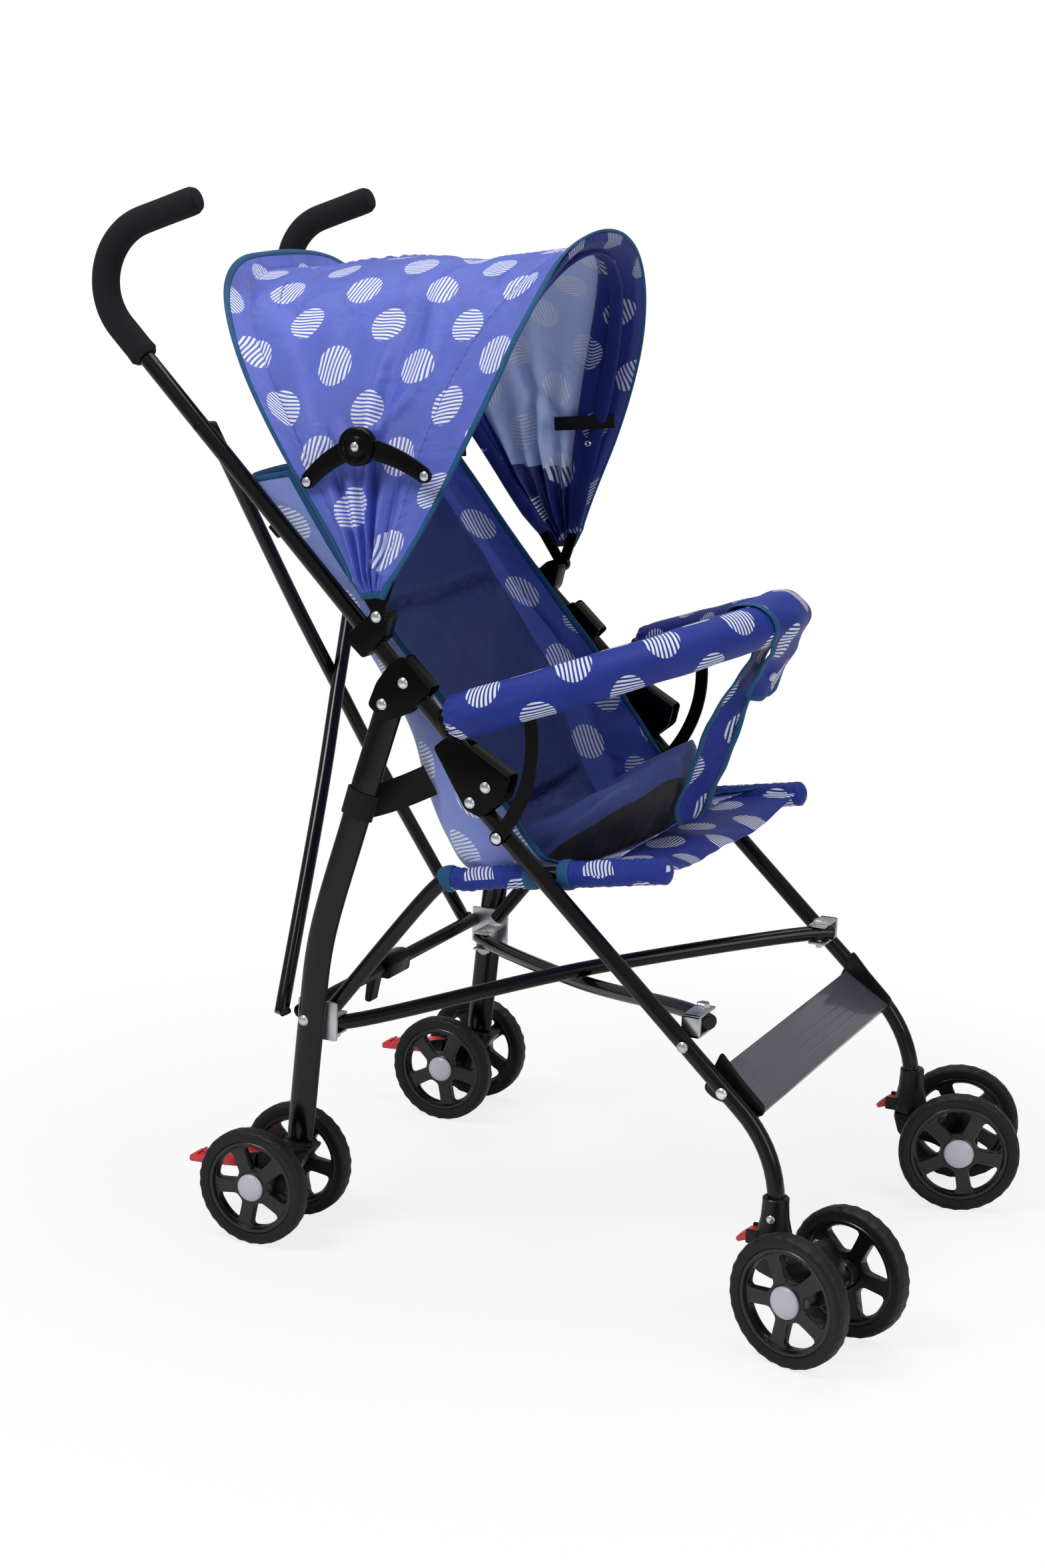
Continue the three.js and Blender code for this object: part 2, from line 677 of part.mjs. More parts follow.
function brakePedal() {
  const [px, pz] = pedalPivot;
  const half = pedalWidth / 2;
  const out = rearHalfTrack - halfTrack;
  const blade = plate(shifted(pedalOutline, pedalPivot), out - half, out + half, 3);
  const trunnion = pin(
    new THREE.Vector3(px, rearHalfTrack - half - trunnionLength, pz),
    new THREE.Vector3(px, rearHalfTrack + half + trunnionLength, pz), trunnionRadius,
  );
  return build([blade, trunnion]);
}

// ---------------------------------------------------------------- castors

const castorAxle = new THREE.Vector3(castorTrail, 0, frontWheelRadius);

function castorSocket() {
  const profile = [
    [0, socketBottom], [socketFlareRadius, socketBottom], [socketFlareRadius, socketBottom + 8],
    [socketNeckRadius + 1, socketBottom + 26], [socketNeckRadius, socketTop], [0, socketTop],
  ];
  const sleeve = ring(profile, 12).rotateX(Math.PI / 2).translate(frontLegX, castorY, 0);
  const [px, pz] = lockPivot;
  const ear = lockWidth / 2 + seatGap;
  const lugs = block(
    [px - lugLength, castorY - ear - lugWall, socketBottom],
    [frontLegX - socketNeckRadius + 4, castorY + ear + lugWall, socketBottom + lugHeight],
  );
  const slot = block(
    [px - 9, castorY - ear, socketBottom - 5], [px + 5.5, castorY + ear, socketBottom + 20],
  );
  const holes = boreFor(
    new THREE.Vector3(px, castorY - ear - trunnionHole, pz),
    new THREE.Vector3(px, castorY + ear + trunnionHole, pz), trunnionRadius,
  );
  const stemBore = boreFor(
    new THREE.Vector3(frontLegX, castorY, socketBottom - 5),
    new THREE.Vector3(frontLegX, castorY, stemTop + 1), stemRadius,
  );
  const leg = frontLegLine();
  leg[leg.length - 1].addScaledVector(new THREE.Vector3(0, 0, -1), seatGap);
  const screw = pin(
    new THREE.Vector3(frontLegX, castorY + 5, frontLegFootZ + tubeRadius),
    new THREE.Vector3(frontLegX, castorY + socketNeckRadius + 2, frontLegFootZ + tubeRadius), socketScrewRadius,
  );
  return build([sleeve, lugs, screw], [slot, holes, stemBore, tube(leg, tubeRadius + seatGap)]);
}

function swivelLock() {
  const [px, pz] = lockPivot;
  const half = lockWidth / 2;
  const out = castorY - halfTrack;
  const lever = plate(shifted(lockOutline, lockPivot), out - half, out + half, 2);
  const trunnion = pin(
    new THREE.Vector3(px, castorY - half - trunnionLength, pz),
    new THREE.Vector3(px, castorY + half + trunnionLength, pz), trunnionRadius,
  );
  return build([lever, trunnion]);
}

// The castor fork, around its own swivel axis: a stem, a bridge that trails to the axle and a hump over it.
function castorFork() {
  const half = forkWidth / 2;
  const top = socketBottom - seatGap;
  const arm = plate(shifted(forkOutline, [0, top]), -half, half, 5).translate(0, -halfTrack, 0);
  const stem = pin(new THREE.Vector3(0, 0, top - 10), new THREE.Vector3(0, 0, stemTop), stemRadius);
  const reach = frontWheelSpacing - hubBossLength / 2 - seatGap;
  const boss = pin(
    new THREE.Vector3(castorTrail, -reach, frontWheelRadius),
    new THREE.Vector3(castorTrail, reach, frontWheelRadius), axleBossRadius, 10,
  );
  const length = axleLength(frontWheelSpacing) / 2;
  const bore = boreFor(
    new THREE.Vector3(castorTrail, -length, frontWheelRadius),
    new THREE.Vector3(castorTrail, length, frontWheelRadius), axleRadius,
  );
  const upper = block(
    [-2 * socketFlareRadius, -half - 1, top], [socketFlareRadius + 0.1, half + 1, socketTop],
  );
  return build([build([arm], [upper]), stem, boss], [bore]);
}

function castorAxlePin() {
  const half = axleLength(frontWheelSpacing) / 2;
  return pin(castorAxle.clone().setY(-half), castorAxle.clone().setY(half), axleRadius);
}

// ---------------------------------------------------------------- crossed tubes and crossbar

// A back cross tube runs from the right handle to the left rear leg, in front of or behind its twin.
function backCross(order) {
  const gap = order * (backCrossRadius + seatGap / 2 + 0.1);
  const [topX, topZ] = backCrossTop;
  const [footX, footZ] = backCrossBottom;
  const topY = frameY(topZ) - tubeRadius - seatGap - backCrossRadius;
  const top = new THREE.Vector3(topX, -topY, topZ);
  const foot = new THREE.Vector3(footX, halfTrack, footZ);
  const across = new THREE.Vector3(footX - topX, 0, footZ - topZ).normalize();
  const aside = new THREE.Vector3(-across.z, 0, across.x).negate();
  const middle = top.clone().add(foot).multiplyScalar(0.5).addScaledVector(aside, gap);
  const line = new THREE.CatmullRomCurve3([
    top, top.clone().lerp(middle, 0.7).addScaledVector(aside, gap * 0.3), middle,
    foot.clone().lerp(middle, 0.7).addScaledVector(aside, gap * 0.3), foot,
  ]);
  const eye = pin(foot.clone(), new THREE.Vector3(rearLegFace(footZ + 5), halfTrack, footZ + 5), 3.5);
  const upperRivet = pin(
    top.clone(), new THREE.Vector3(topX, -frameY(topZ) + tubeRadius + seatGap, topZ), 4,
  );
  return build([tube(line.getPoints(10), backCrossRadius), eye, upperRivet]);
}

// The x of the rear leg's rear face at a height, less the seat gap.
function rearLegFace(z) {
  const curve = new THREE.CatmullRomCurve3(rearLegPath.map((place) => onSide(place)));
  const places = curve.getPoints(80);
  const off = (place) => Math.abs(place.z - z);
  const nearest = places.reduce((best, place) => (off(place) < off(best) ? place : best));
  return nearest.x - rearLegDepth / 2 - 3 * seatGap;
}

// A base cross tube runs from the right rear bracket to the left front bracket, over or under its twin.
function baseCross(order) {
  const [rx, ry, rz] = baseCrossRear;
  const [fx, fy, fz] = baseCrossFront;
  const rear = new THREE.Vector3(rx, -ry, rz);
  const front = new THREE.Vector3(fx, fy, fz);
  const lift = order * (baseCrossRadius + seatGap / 2 + 0.1);
  const run = front.clone().sub(rear).setZ(0).normalize();
  const middle = rear.clone().add(front).multiplyScalar(0.5);
  middle.z += lift;
  const line = new THREE.CatmullRomCurve3([
    rear.clone().addScaledVector(run, -baseCrossTail),
    rear.clone().addScaledVector(run, baseCrossStraight), middle,
    front.clone().addScaledVector(run, -baseCrossStraight), front.clone().addScaledVector(
      run, baseCrossTail + 1,
    ),
  ]);
  const boreOf = (at) => boreFor(at.clone().setZ(at.z - 30), at.clone().setZ(at.z + 30), boltRadius);
  return build([tube(line.getPoints(12), baseCrossRadius)], [boreOf(rear), boreOf(front)]);
}

function rearCrossbar() {
  const end = halfTrack - rearLegWidth / 2 - sheet - seatGap;
  const bar = pin(
    new THREE.Vector3(crossbarX, -end, crossbarZ), new THREE.Vector3(crossbarX, end, crossbarZ),
    crossbarRadius, 12,
  );
  const onBar = (outline, half, rounding) =>
    plate(shifted(outline, [crossbarX, crossbarZ]), -half, half, rounding).translate(0, -halfTrack, 0);
  const housing = onBar(lockHousingOutline, lockHousingHalf, 4);
  const ears = onBar(lockEarOutline, lockSlotHalf + lockEarWall, 2);
  const slot = block(
    [crossbarX - 40, -lockSlotHalf - seatGap, crossbarZ - 30],
    [crossbarX - 8.2, lockSlotHalf + seatGap, crossbarZ + 30],
  );
  const holes = boreFor(
    new THREE.Vector3(lockPedalPivotX, -lockSlotHalf - seatGap - trunnionHole, crossbarZ),
    new THREE.Vector3(lockPedalPivotX, lockSlotHalf + seatGap + trunnionHole, crossbarZ), trunnionRadius,
  );
  return build([bar, housing, ears], [slot, holes]);
}

function crossbarPedal() {
  const [px, pz] = [lockPedalPivotX, crossbarZ];
  const lever = plate(shifted(lockPedalOutline, [px, pz]), -lockSlotHalf, lockSlotHalf, 3).translate(
    0, -halfTrack, 0,
  );
  const reach = lockSlotHalf + seatGap + trunnionLength;
  const trunnion = pin(new THREE.Vector3(px, -reach, pz), new THREE.Vector3(px, reach, pz), trunnionRadius);
  return build([lever, trunnion]);
}

// ---------------------------------------------------------------- footrest

function footrest() {
  const [rearX, rearZ] = footrestRear;
  const [frontX, frontZ] = footrestFront;
  const tilt = Math.atan2(frontZ - rearZ, frontX - rearX);
  const along = [Math.cos(tilt), Math.sin(tilt)];
  const length = Math.hypot(frontX - rearX, frontZ - rearZ);
  const on = (run, lift) => [
    rearX + along[0] * run - along[1] * lift, rearZ + along[1] * run + along[0] * lift,
  ];
  const ribs = [];
  for (let k = 1; k <= footrestRibs; k += 1) {
    const run = (length * k) / (footrestRibs + 1);
    ribs.push(on(run - 1.5, 0), on(run, footrestRibHeight), on(run + 1.5, 0));
  }
  const board = plate([
    on(0, 0), ...ribs, on(length, 0), on(length + 1, -footrestLip), on(length - 2, -footrestThickness),
    on(0, -footrestThickness), on(-3, -footrestLip), on(-4, 0),
  ], -footrestPlateY, footrestPlateY, 0).translate(0, -halfTrack, 0);
  const cheek = (out) => plate(shifted(cheekOutline, footrestScrew), out, out + sheet, 5).translate(
    0, -halfTrack, 0,
  );
  const screwOut = halfTrack - tubeRadius - seatGap;
  const lugs = [-1, 1].map((side) => pin(
    new THREE.Vector3(footrestScrew[0], side * (footrestPlateY - 1), footrestScrew[1]),
    new THREE.Vector3(footrestScrew[0], side * screwOut, footrestScrew[1]), footrestLugRadius,
  ));
  return build([board, cheek(footrestPlateY - sheet), cheek(-footrestPlateY), ...lugs]);
}

// ---------------------------------------------------------------- bumper bar

function bumperLine(from = 0, to = 1, steps = bumperSteps) {
  return Array.from({ length: steps + 1 }, (_, k) => {
    const turn = Math.PI * (from + ((to - from) * k) / steps);
    const reach = Math.abs(Math.sin(turn)) ** (2 / bumperPower);
    const side = -Math.sign(Math.cos(turn)) * Math.abs(Math.cos(turn)) ** (2 / bumperPower);
    return new THREE.Vector3(
      bumperEnd[0] + bumperReach * reach, bumperHalfWidth * side, bumperEnd[1] + bumperRise * reach,
    );
  });
}

// The flat stay bows forward from inside the bar down to its rivet on the front leg.
const stayOut = halfTrack + tubeRadius + seatGap + stayThickness / 2;

function stayBand(side, margin = 0) {
  const topZ = bumperEnd[1] + (bumperRise * (stayTopX - bumperEnd[0])) / bumperReach;
  const out = side * stayOut;
  const foot = new THREE.Vector3(stayRivet[0], out, stayRivet[1]);
  const bow = new THREE.Vector3(stayTopX + stayBow, out, (topZ + stayRivet[1]) / 2 - 6);
  const top = new THREE.Vector3(stayTopX, out, topZ);
  const line = new THREE.QuadraticBezierCurve3(top, bow, foot).getPoints(8);
  const across = new THREE.Vector3(0, 1, 0);
  const rings = line.map((place, k) => {
    const along = line[Math.min(k + 1, 8)].clone().sub(line[Math.max(k - 1, 0)]).normalize();
    return { place, across: along.cross(across), deep: across };
  });
  return band(rings, stayWidth + 2 * margin, stayThickness + 2 * margin);
}

function bumperStay(side) {
  const eye = pin(
    onSide(stayRivet, tubeRadius + seatGap), onSide(stayRivet, tubeRadius + seatGap + stayThickness),
    stayWidth / 2 + 0.5,
  );
  const head = rivet(stayRivet, tubeRadius + seatGap + stayThickness);
  const end = build([eye, head]);
  return build([stayBand(side), side > 0 ? end : mirrored(end)]);
}

function bumperBar() {
  const stays = [-1, 1].map(bumperStay);
  return build([tube(bumperLine(), bumperTubeRadius), ...stays]);
}

function bumperCover() {
  const line = bumperLine(coverFrom, 1 - coverFrom);
  const bore = bumperLine(0, 1);
  const slots = [-1, 1].map((side) => stayBand(side, seatGap));
  return build([tube(line, bumperCoverRadius)], [tube(bore, bumperTubeRadius + seatGap), ...slots]);
}

// ---------------------------------------------------------------- hood

// A place on a hood arch: turn runs from 0 at the left rivet over the head to pi at the right one.
function archPlace(arch, turn, base, inset = 0) {
  const rise = Math.abs(Math.sin(turn)) ** (2 / arch.power);
  const side = Math.sign(Math.cos(turn)) * Math.abs(Math.cos(turn)) ** (2 / arch.power);
  const height = (arch.reach - inset) * rise;
  const spread = (base - arch.half) * Math.exp(-Math.max(0, height - hoodBaseHeight) / hoodBaseFade);
  const angle = arch.angle + arch.bend * rise * rise;
  const place = direction(angle).multiplyScalar(height).add(new THREE.Vector3(
    hoodPivot[0], 0, hoodPivot[1],
  ));
  return place.setY((arch.half - inset + spread) * side);
}

const pivotY = frameY(hoodPivot[1]);
const bowPitch = bowThickness + bowGap;
const bowLayerY = (layer) => pivotY + clampReach + seatGap + bowThickness / 2 + layer * bowPitch;
const bowInset = hoodCloth + clothGap + bowThickness / 2;

// The turn round an arch at a share of its steps, which lie closer together near its ends.
function archTurn(arch, share, startHeight) {
  const start = Math.asin((startHeight / arch.reach) ** (arch.power / 2));
  const eased = share - (0.88 * Math.sin(2 * Math.PI * share)) / (2 * Math.PI);
  return start + (Math.PI - 2 * start) * eased;
}

// A flat bow bent over the head, with an eye at each end around the clamp rivet.
function bow(arch) {
  const base = bowLayerY(arch.layer) + bowInset;
  const count = 16;
  const line = Array.from({ length: count + 1 }, (_, k) =>
    archPlace(arch, archTurn(arch, k / count, eyeRadius - 2), base, bowInset));
  const outward = direction(arch.angle);
  const width = new THREE.Vector3().crossVectors(outward, new THREE.Vector3(0, 1, 0)).normalize();
  const rings = line.map((place, k) => {
    const ahead = line[Math.min(k + 1, count)].clone().sub(line[Math.max(k - 1, 0)]).normalize();
    return { place, across: width, deep: width.clone().cross(ahead).normalize() };
  });
  const eyes = [-1, 1].map((side) => pin(
    new THREE.Vector3(hoodPivot[0], side * (bowLayerY(arch.layer) - bowThickness / 2), hoodPivot[1]),
    new THREE.Vector3(hoodPivot[0], side * (bowLayerY(arch.layer) + bowThickness / 2), hoodPivot[1]),
    eyeRadius, 10,
  ));
  return [band(rings, bowWidth, bowThickness), ...eyes];
}

// A flat band carried along rings that each have a place, a direction across and one through the band.
function band(rings, width, thickness) {
  const corners = [];
  const faces = [];
  for (const { place, across, deep } of rings) {
    for (const [a, d] of [[-1, -1], [1, -1], [1, 1], [-1, 1]]) {
      const corner = place.clone().addScaledVector(across, (a * width) / 2).addScaledVector(
        deep, (d * thickness) / 2,
      );
      corners.push(corner.x, corner.y, corner.z);
    }
  }
  for (let i = 0; i < rings.length - 1; i += 1) {
    for (let j = 0; j < 4; j += 1) {
      const [a, b] = [4 * i + j, 4 * i + ((j + 1) % 4)];
      faces.push(a, b, b + 4, a, b + 4, a + 4);
    }
  }
  const last = 4 * (rings.length - 1);
  faces.push(0, 2, 1, 0, 3, 2, last, last + 1, last + 2, last, last + 2, last + 3);
  const geometry = new THREE.BufferGeometry();
  geometry.setAttribute('position', new THREE.Float32BufferAttribute(corners, 3));
  geometry.setIndex(faces);
  return facingOut(geometry);
}

// Turns the faces of a closed geometry outwards.
function facingOut(geometry) {
  if (solidOf(geometry).volume() > 0) {
    return geometry;
  }
  const index = geometry.index.array;
  for (let i = 0; i < index.length; i += 3) {
    [index[i + 1], index[i + 2]] = [index[i + 2], index[i + 1]];
  }
  return geometry;
}

// The rear bow is fixed to the handles by a clamp on each side.
function hoodRearBow() {
  const rearParts = bow(rearBow);
  const postReach = clampReach + 2 * bowPitch + 2 * seatGap;
  const clamps = [-1, 1].map((side) => {
    const jaw = plate(clampOutline, -clampReach, clampReach, 4);
    const post = pin(onSide(hoodPivot, clampReach - 2), onSide(hoodPivot, postReach), hoodPostRadius);
    const head = rivet(hoodPivot, postReach);
    const bore = tube([onSide(handleFoot), handleLine()[1]], tubeRadius + seatGap);
    const clamp = lean(build([jaw, post, head], [bore]));
    return side > 0 ? clamp : mirrored(clamp);
  });
  return build([...rearParts, ...clamps]);
}

function mirrored(geometry) {
  const copy = geometry.clone();
  copy.scale(1, -1, 1);
  return facingOut(copy);
}

function hoodFrontBow() {
  const hole = boreFor(
    new THREE.Vector3(hoodPivot[0], -2 * halfTrack, hoodPivot[1]),
    new THREE.Vector3(hoodPivot[0], 2 * halfTrack, hoodPivot[1]), hoodPostRadius,
  );
  return build(bow(frontBow), [hole]);
}

// The hood cloth, drawn straight from each seam or hem to the next.
function hoodClothPiece() {
  const base = bowLayerY(1) + bowInset + 3;
  const place = (u, v) => {
    const next = Math.max(1, hoodEdges.findIndex((edge) => edge.at >= u - 1e-9));
    const [from, to] = [hoodEdges[next - 1], hoodEdges[next]];
    const blend = (u - from.at) / (to.at - from.at);
    const near = archPlace(from, archTurn(from, v, hoodTip), base);
    return near.lerp(archPlace(to, archTurn(to, v, hoodTip), base), blend);
  };
  const shares = [0, 0.12, 0.37, 0.63, 0.88, 1];
  return facingOut(cloth(place, shares, 18, () => hoodCloth));
}

// An elbow stay arm: a curved flat arm with an eye at each end, one of them under the knob.
function stayArm(from, to, bulge, layer, knob) {
  const low = layer * (stayArmThickness + seatGap) - stayArmInset;
  const high = low + stayArmThickness;
  const start = onSide(from);
  const end = onSide(to);
  const across = end.clone().sub(start).cross(new THREE.Vector3(0, 1, 0)).normalize();
  const middle = start.clone().add(end).multiplyScalar(0.5).addScaledVector(across, bulge);
  const curve = new THREE.QuadraticBezierCurve3(start, middle, end);
  const edge = (side, width) => curve.getPoints(6).map((place, i) => {
    const slope = curve.getTangent(i / 6).cross(new THREE.Vector3(0, 1, 0));
    const half = width(i / 6) * side;
    return [place.x + slope.x * half, place.z + slope.z * half];
  });
  const width = (share) => 8 - 2.2 * Math.abs((knob === 'from' ? 1 - share : share) - 0.7) / 0.7;
  const outline = [...edge(1, width), ...edge(-1, width).reverse()];
  const eye = (at, radius, bottom, top) => pin(onSide(at, bottom), onSide(at, top), radius, 12);
  return { low, high, outline, eye };
}

const bowPlace = (arch, reach) => {
  const place = direction(arch.angle).multiplyScalar(reach);
  return [hoodPivot[0] + place.x, hoodPivot[1] + place.z];
};
const stayRear = bowPlace(rearBow, stayRearReach);
const stayFront = bowPlace(frontBow, stayFrontReach);

function stayRearArm() {
  const arm = stayArm(stayRear, stayKnob, -stayArmBulge, 0, 'to');
  const disc = arm.eye(stayKnob, stayKnobRadius, arm.low, arm.high);
  const axis = arm.eye(stayKnob, stayAxisRadius, arm.high - 1, arm.high + 2 * stayArmThickness + 3);
  const tip = arm.eye(stayRear, stayTipRadius, arm.low, arm.high);
  return build([
    plate(arm.outline, arm.low, arm.high, 0), disc, axis, tip, rivet(stayRear, arm.high, 4.4, 2),
  ]);
}

function stayFrontArm() {
  const arm = stayArm(stayKnob, stayFront, -stayArmBulge, 1, 'from');
  const bore = boreFor(onSide(stayKnob, arm.low - 1), onSide(stayKnob, arm.high + 20), stayAxisRadius, 12);
  const knobTop = arm.high + stayArmThickness;
  const disc = arm.eye(stayKnob, stayKnobRadius, arm.low, knobTop);
  const tip = arm.eye(stayFront, stayTipRadius, arm.low, arm.high);
  return build(
    [plate(arm.outline, arm.low, arm.high, 0), disc, tip, rivet(stayFront, arm.high, 4.4, 2)], [bore],
  );
}

// ---------------------------------------------------------------- seat

function curveThrough(places) {
  return new THREE.CatmullRomCurve3(places.map(([x, z]) => new THREE.Vector3(x, 0, z)));
}

// The sling hangs between the rails and handles; the cushion swells towards its front edge.
function seatSling() {
  const back = curveThrough(slingBack);
  const wing = curveThrough(slingWing);
  const railInner = railY - railRadius - seatGap;
  const place = (u, v) => {
    const side = 2 * v - 1;
    const middle = back.getPoint(u);
    const edge = wing.getPoint(u);
    const half = Math.min(railInner, frameY(edge.z) - 2 * tubeRadius);
    const power = 3.2 - 1.5 * Math.max(0, (u - 0.75) / 0.25);
    const lift = Math.abs(side) ** power;
    return middle.lerp(edge, lift).setY(half * side);
  };
  const thickness = (u, v) => {
    const across = Math.abs(2 * v - 1) * railInner;
    const inPad = THREE.MathUtils.smoothstep(padHalfWidth + 18 - across, 0, 30);
    const front = THREE.MathUtils.smoothstep(u, 0.6, 0.95) * THREE.MathUtils.smoothstep(
      padHalfWidth + 10 - across, 0, 70,
    );
    return slingThickness + padThickness * inPad + cushionRise * front;
  };
  const shares = Array.from({ length: 16 }, (_, k) => k / 15);
  return facingOut(cloth(place, shares, 10, thickness));
}

// The crotch strap: a loop round the bar's middle and a tail down to the cushion.
function crotchStrap() {
  const apexX = bumperEnd[0] + bumperReach;
  const apexZ = bumperEnd[1] + bumperRise;
  const inner = bumperCoverRadius + strapSlack;
  const outer = inner + strapThickness;
  const half = strapWidth / 2;
  const loop = ring([[inner, -half], [outer, -half], [outer, half], [inner, half], [inner, -half]], 16)
    .translate(apexX - 0.8, 0, apexZ);
  const line = curveThrough(shifted(strapPath, [apexX, apexZ]));
  const count = 8;
  const rings = Array.from({ length: count + 1 }, (_, k) => {
    const across = new THREE.Vector3(0, 1, 0);
    return {
      place: line.getPoint(k / count), across,
      deep: across.clone().cross(line.getTangent(k / count)).normalize(),
    };
  });
  return build([loop, band(rings, strapWidth, strapThickness)]);
}

// ---------------------------------------------------------------- assembly

const stroller = new THREE.Group();

function place(parent, name, geometry, material) {
  const mesh = new THREE.Mesh(geometry, material);
  mesh.name = name;
  parent.add(mesh);
  return mesh;
}

const sides = ['left', 'right'].map((name, i) => {
  const group = new THREE.Group();
  group.scale.y = i === 0 ? 1 : -1;
  stroller.add(group);
  return { name, group };
});

const sidePieces = [
  ['handle_tube', handleTube(), blackPaint],
  ['handle_grip', handleGrip(), foam],
  ['front_leg', frontLeg(), blackPaint],
  ['rear_leg', rearLeg(), blackPaint],
  ['upper_bracket', upperBracket(), blackPlastic],
  ['latch_bracket', latchBracket(), blackPlastic],
  ['seat_rail', seatRail(), blackPaint],
  ['rear_housing', rearHousing(), blackPlastic],
  ['brake_pedal', brakePedal(), redPlastic],
  ['castor_socket', castorSocket(), blackPlastic],
  ['swivel_lock', swivelLock(), redPlastic],
  ['hood_stay_rear_arm', stayRearArm(), blackPlastic],
  ['hood_stay_front_arm', stayFrontArm(), blackPlastic],
];
const castorPieces = [
  ['castor_fork', castorFork(), blackPlastic],
  ['castor_axle', castorAxlePin(), zinc],
];
const wheelPieces = {
  rear: [
    ['tyre', tyre(rearWheelRadius), tyreRubber],
    ['hub', hub(rearWheelRadius, rearCapRadius), blackPlastic],
  ],
  front: [
    ['tyre', tyre(frontWheelRadius), tyreRubber],
    ['hub', hub(frontWheelRadius, frontCapRadius), blackPlastic],
  ],
};

// A pair of wheels on one axle: the outer one and, turned round, the inner one.
function wheelPair(parent, centre, spacing, end, side) {
  for (const [which, sign] of [['outer', 1], ['inner', -1]]) {
    const wheel = new THREE.Group();
    wheel.position.copy(centre).setY(centre.y + sign * spacing);
    wheel.rotation.z = sign > 0 ? 0 : Math.PI;
    parent.add(wheel);
    for (const [piece, geometry, material] of wheelPieces[end]) {
      place(wheel, `${end}_${piece}_${which}_${side}`, geometry, material);
    }
  }
}

for (const { name, group } of sides) {
  for (const [piece, geometry, material] of sidePieces) {
    place(group, `${piece}_${name}`, geometry, material);
  }
  const castor = new THREE.Group();
  castor.position.set(frontLegX, castorY, 0);
  castor.rotation.z = radians(castorToe);
  group.add(castor);
  for (const [piece, geometry, material] of castorPieces) {
    place(castor, `${piece}_${name}`, geometry, material);
  }
  wheelPair(castor, castorAxle, frontWheelSpacing, 'front', name);
  wheelPair(group, new THREE.Vector3(0, rearHalfTrack, rearWheelRadius), rearWheelSpacing, 'rear', name);
}

const backTube = [backCross(1), mirrored(backCross(-1))];
const baseTube = [baseCross(1), mirrored(baseCross(-1))];
place(stroller, 'back_cross_tube_left', backTube[0], blackPaint);
place(stroller, 'back_cross_tube_right', backTube[1], blackPaint);
place(stroller, 'base_cross_tube_left', baseTube[0], blackPaint);
place(stroller, 'base_cross_tube_right', baseTube[1], blackPaint);
place(stroller, 'rear_crossbar', rearCrossbar(), blackPaint);
place(stroller, 'crossbar_lock_pedal', crossbarPedal(), blackPlastic);
place(stroller, 'footrest', footrest(), smokePlastic);
place(stroller, 'bumper_bar', bumperBar(), blackPlastic);
place(stroller, 'bumper_cover', bumperCover(), blueCloth);
place(stroller, 'hood_rear_bow', hoodRearBow(), blackPlastic);
place(stroller, 'hood_front_bow', hoodFrontBow(), blackPlastic);
place(stroller, 'hood_cloth', hoodClothPiece(), blueCloth);
place(stroller, 'seat_sling', seatSling(), navyCloth);
place(stroller, 'crotch_strap', crotchStrap(), blueCloth);

// The origin is below the middle of the whole stroller, on the floor.
stroller.updateMatrixWorld(true);
const bounds = new THREE.Box3().setFromObject(stroller, true);
stroller.position.x = -(bounds.min.x + bounds.max.x) / 2;

export default stroller;
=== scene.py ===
# A light umbrella-fold baby stroller: two side frames of black steel tube joined by crossed tubes, twin
# wheels, a sling seat in printed blue cloth with a navy pad, a padded bumper bar and a folding hood.
import json
import math

import bmesh
import bpy
import numpy as np
from mathutils import Matrix, Vector

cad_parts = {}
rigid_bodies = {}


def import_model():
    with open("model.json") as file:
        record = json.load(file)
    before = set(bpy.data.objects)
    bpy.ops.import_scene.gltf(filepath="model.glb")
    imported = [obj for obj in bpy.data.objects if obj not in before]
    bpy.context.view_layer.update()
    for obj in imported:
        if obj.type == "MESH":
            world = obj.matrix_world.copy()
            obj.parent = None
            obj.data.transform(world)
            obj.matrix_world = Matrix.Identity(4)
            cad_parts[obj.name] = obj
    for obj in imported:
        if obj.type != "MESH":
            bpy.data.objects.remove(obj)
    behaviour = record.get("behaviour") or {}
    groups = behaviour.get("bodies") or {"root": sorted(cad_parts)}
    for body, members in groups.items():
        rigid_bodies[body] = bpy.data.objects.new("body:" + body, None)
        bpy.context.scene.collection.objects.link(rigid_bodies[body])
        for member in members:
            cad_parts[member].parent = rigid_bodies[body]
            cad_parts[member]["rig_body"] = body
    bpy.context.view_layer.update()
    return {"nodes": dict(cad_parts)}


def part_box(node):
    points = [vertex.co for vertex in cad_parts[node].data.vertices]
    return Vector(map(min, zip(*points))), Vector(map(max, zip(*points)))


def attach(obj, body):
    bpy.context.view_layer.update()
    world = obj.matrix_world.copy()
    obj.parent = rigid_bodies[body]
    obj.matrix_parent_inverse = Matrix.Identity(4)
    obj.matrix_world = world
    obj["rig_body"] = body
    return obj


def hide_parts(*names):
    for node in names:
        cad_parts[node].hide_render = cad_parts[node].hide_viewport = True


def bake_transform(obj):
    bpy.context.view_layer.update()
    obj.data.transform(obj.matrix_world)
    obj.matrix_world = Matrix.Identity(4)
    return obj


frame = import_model()

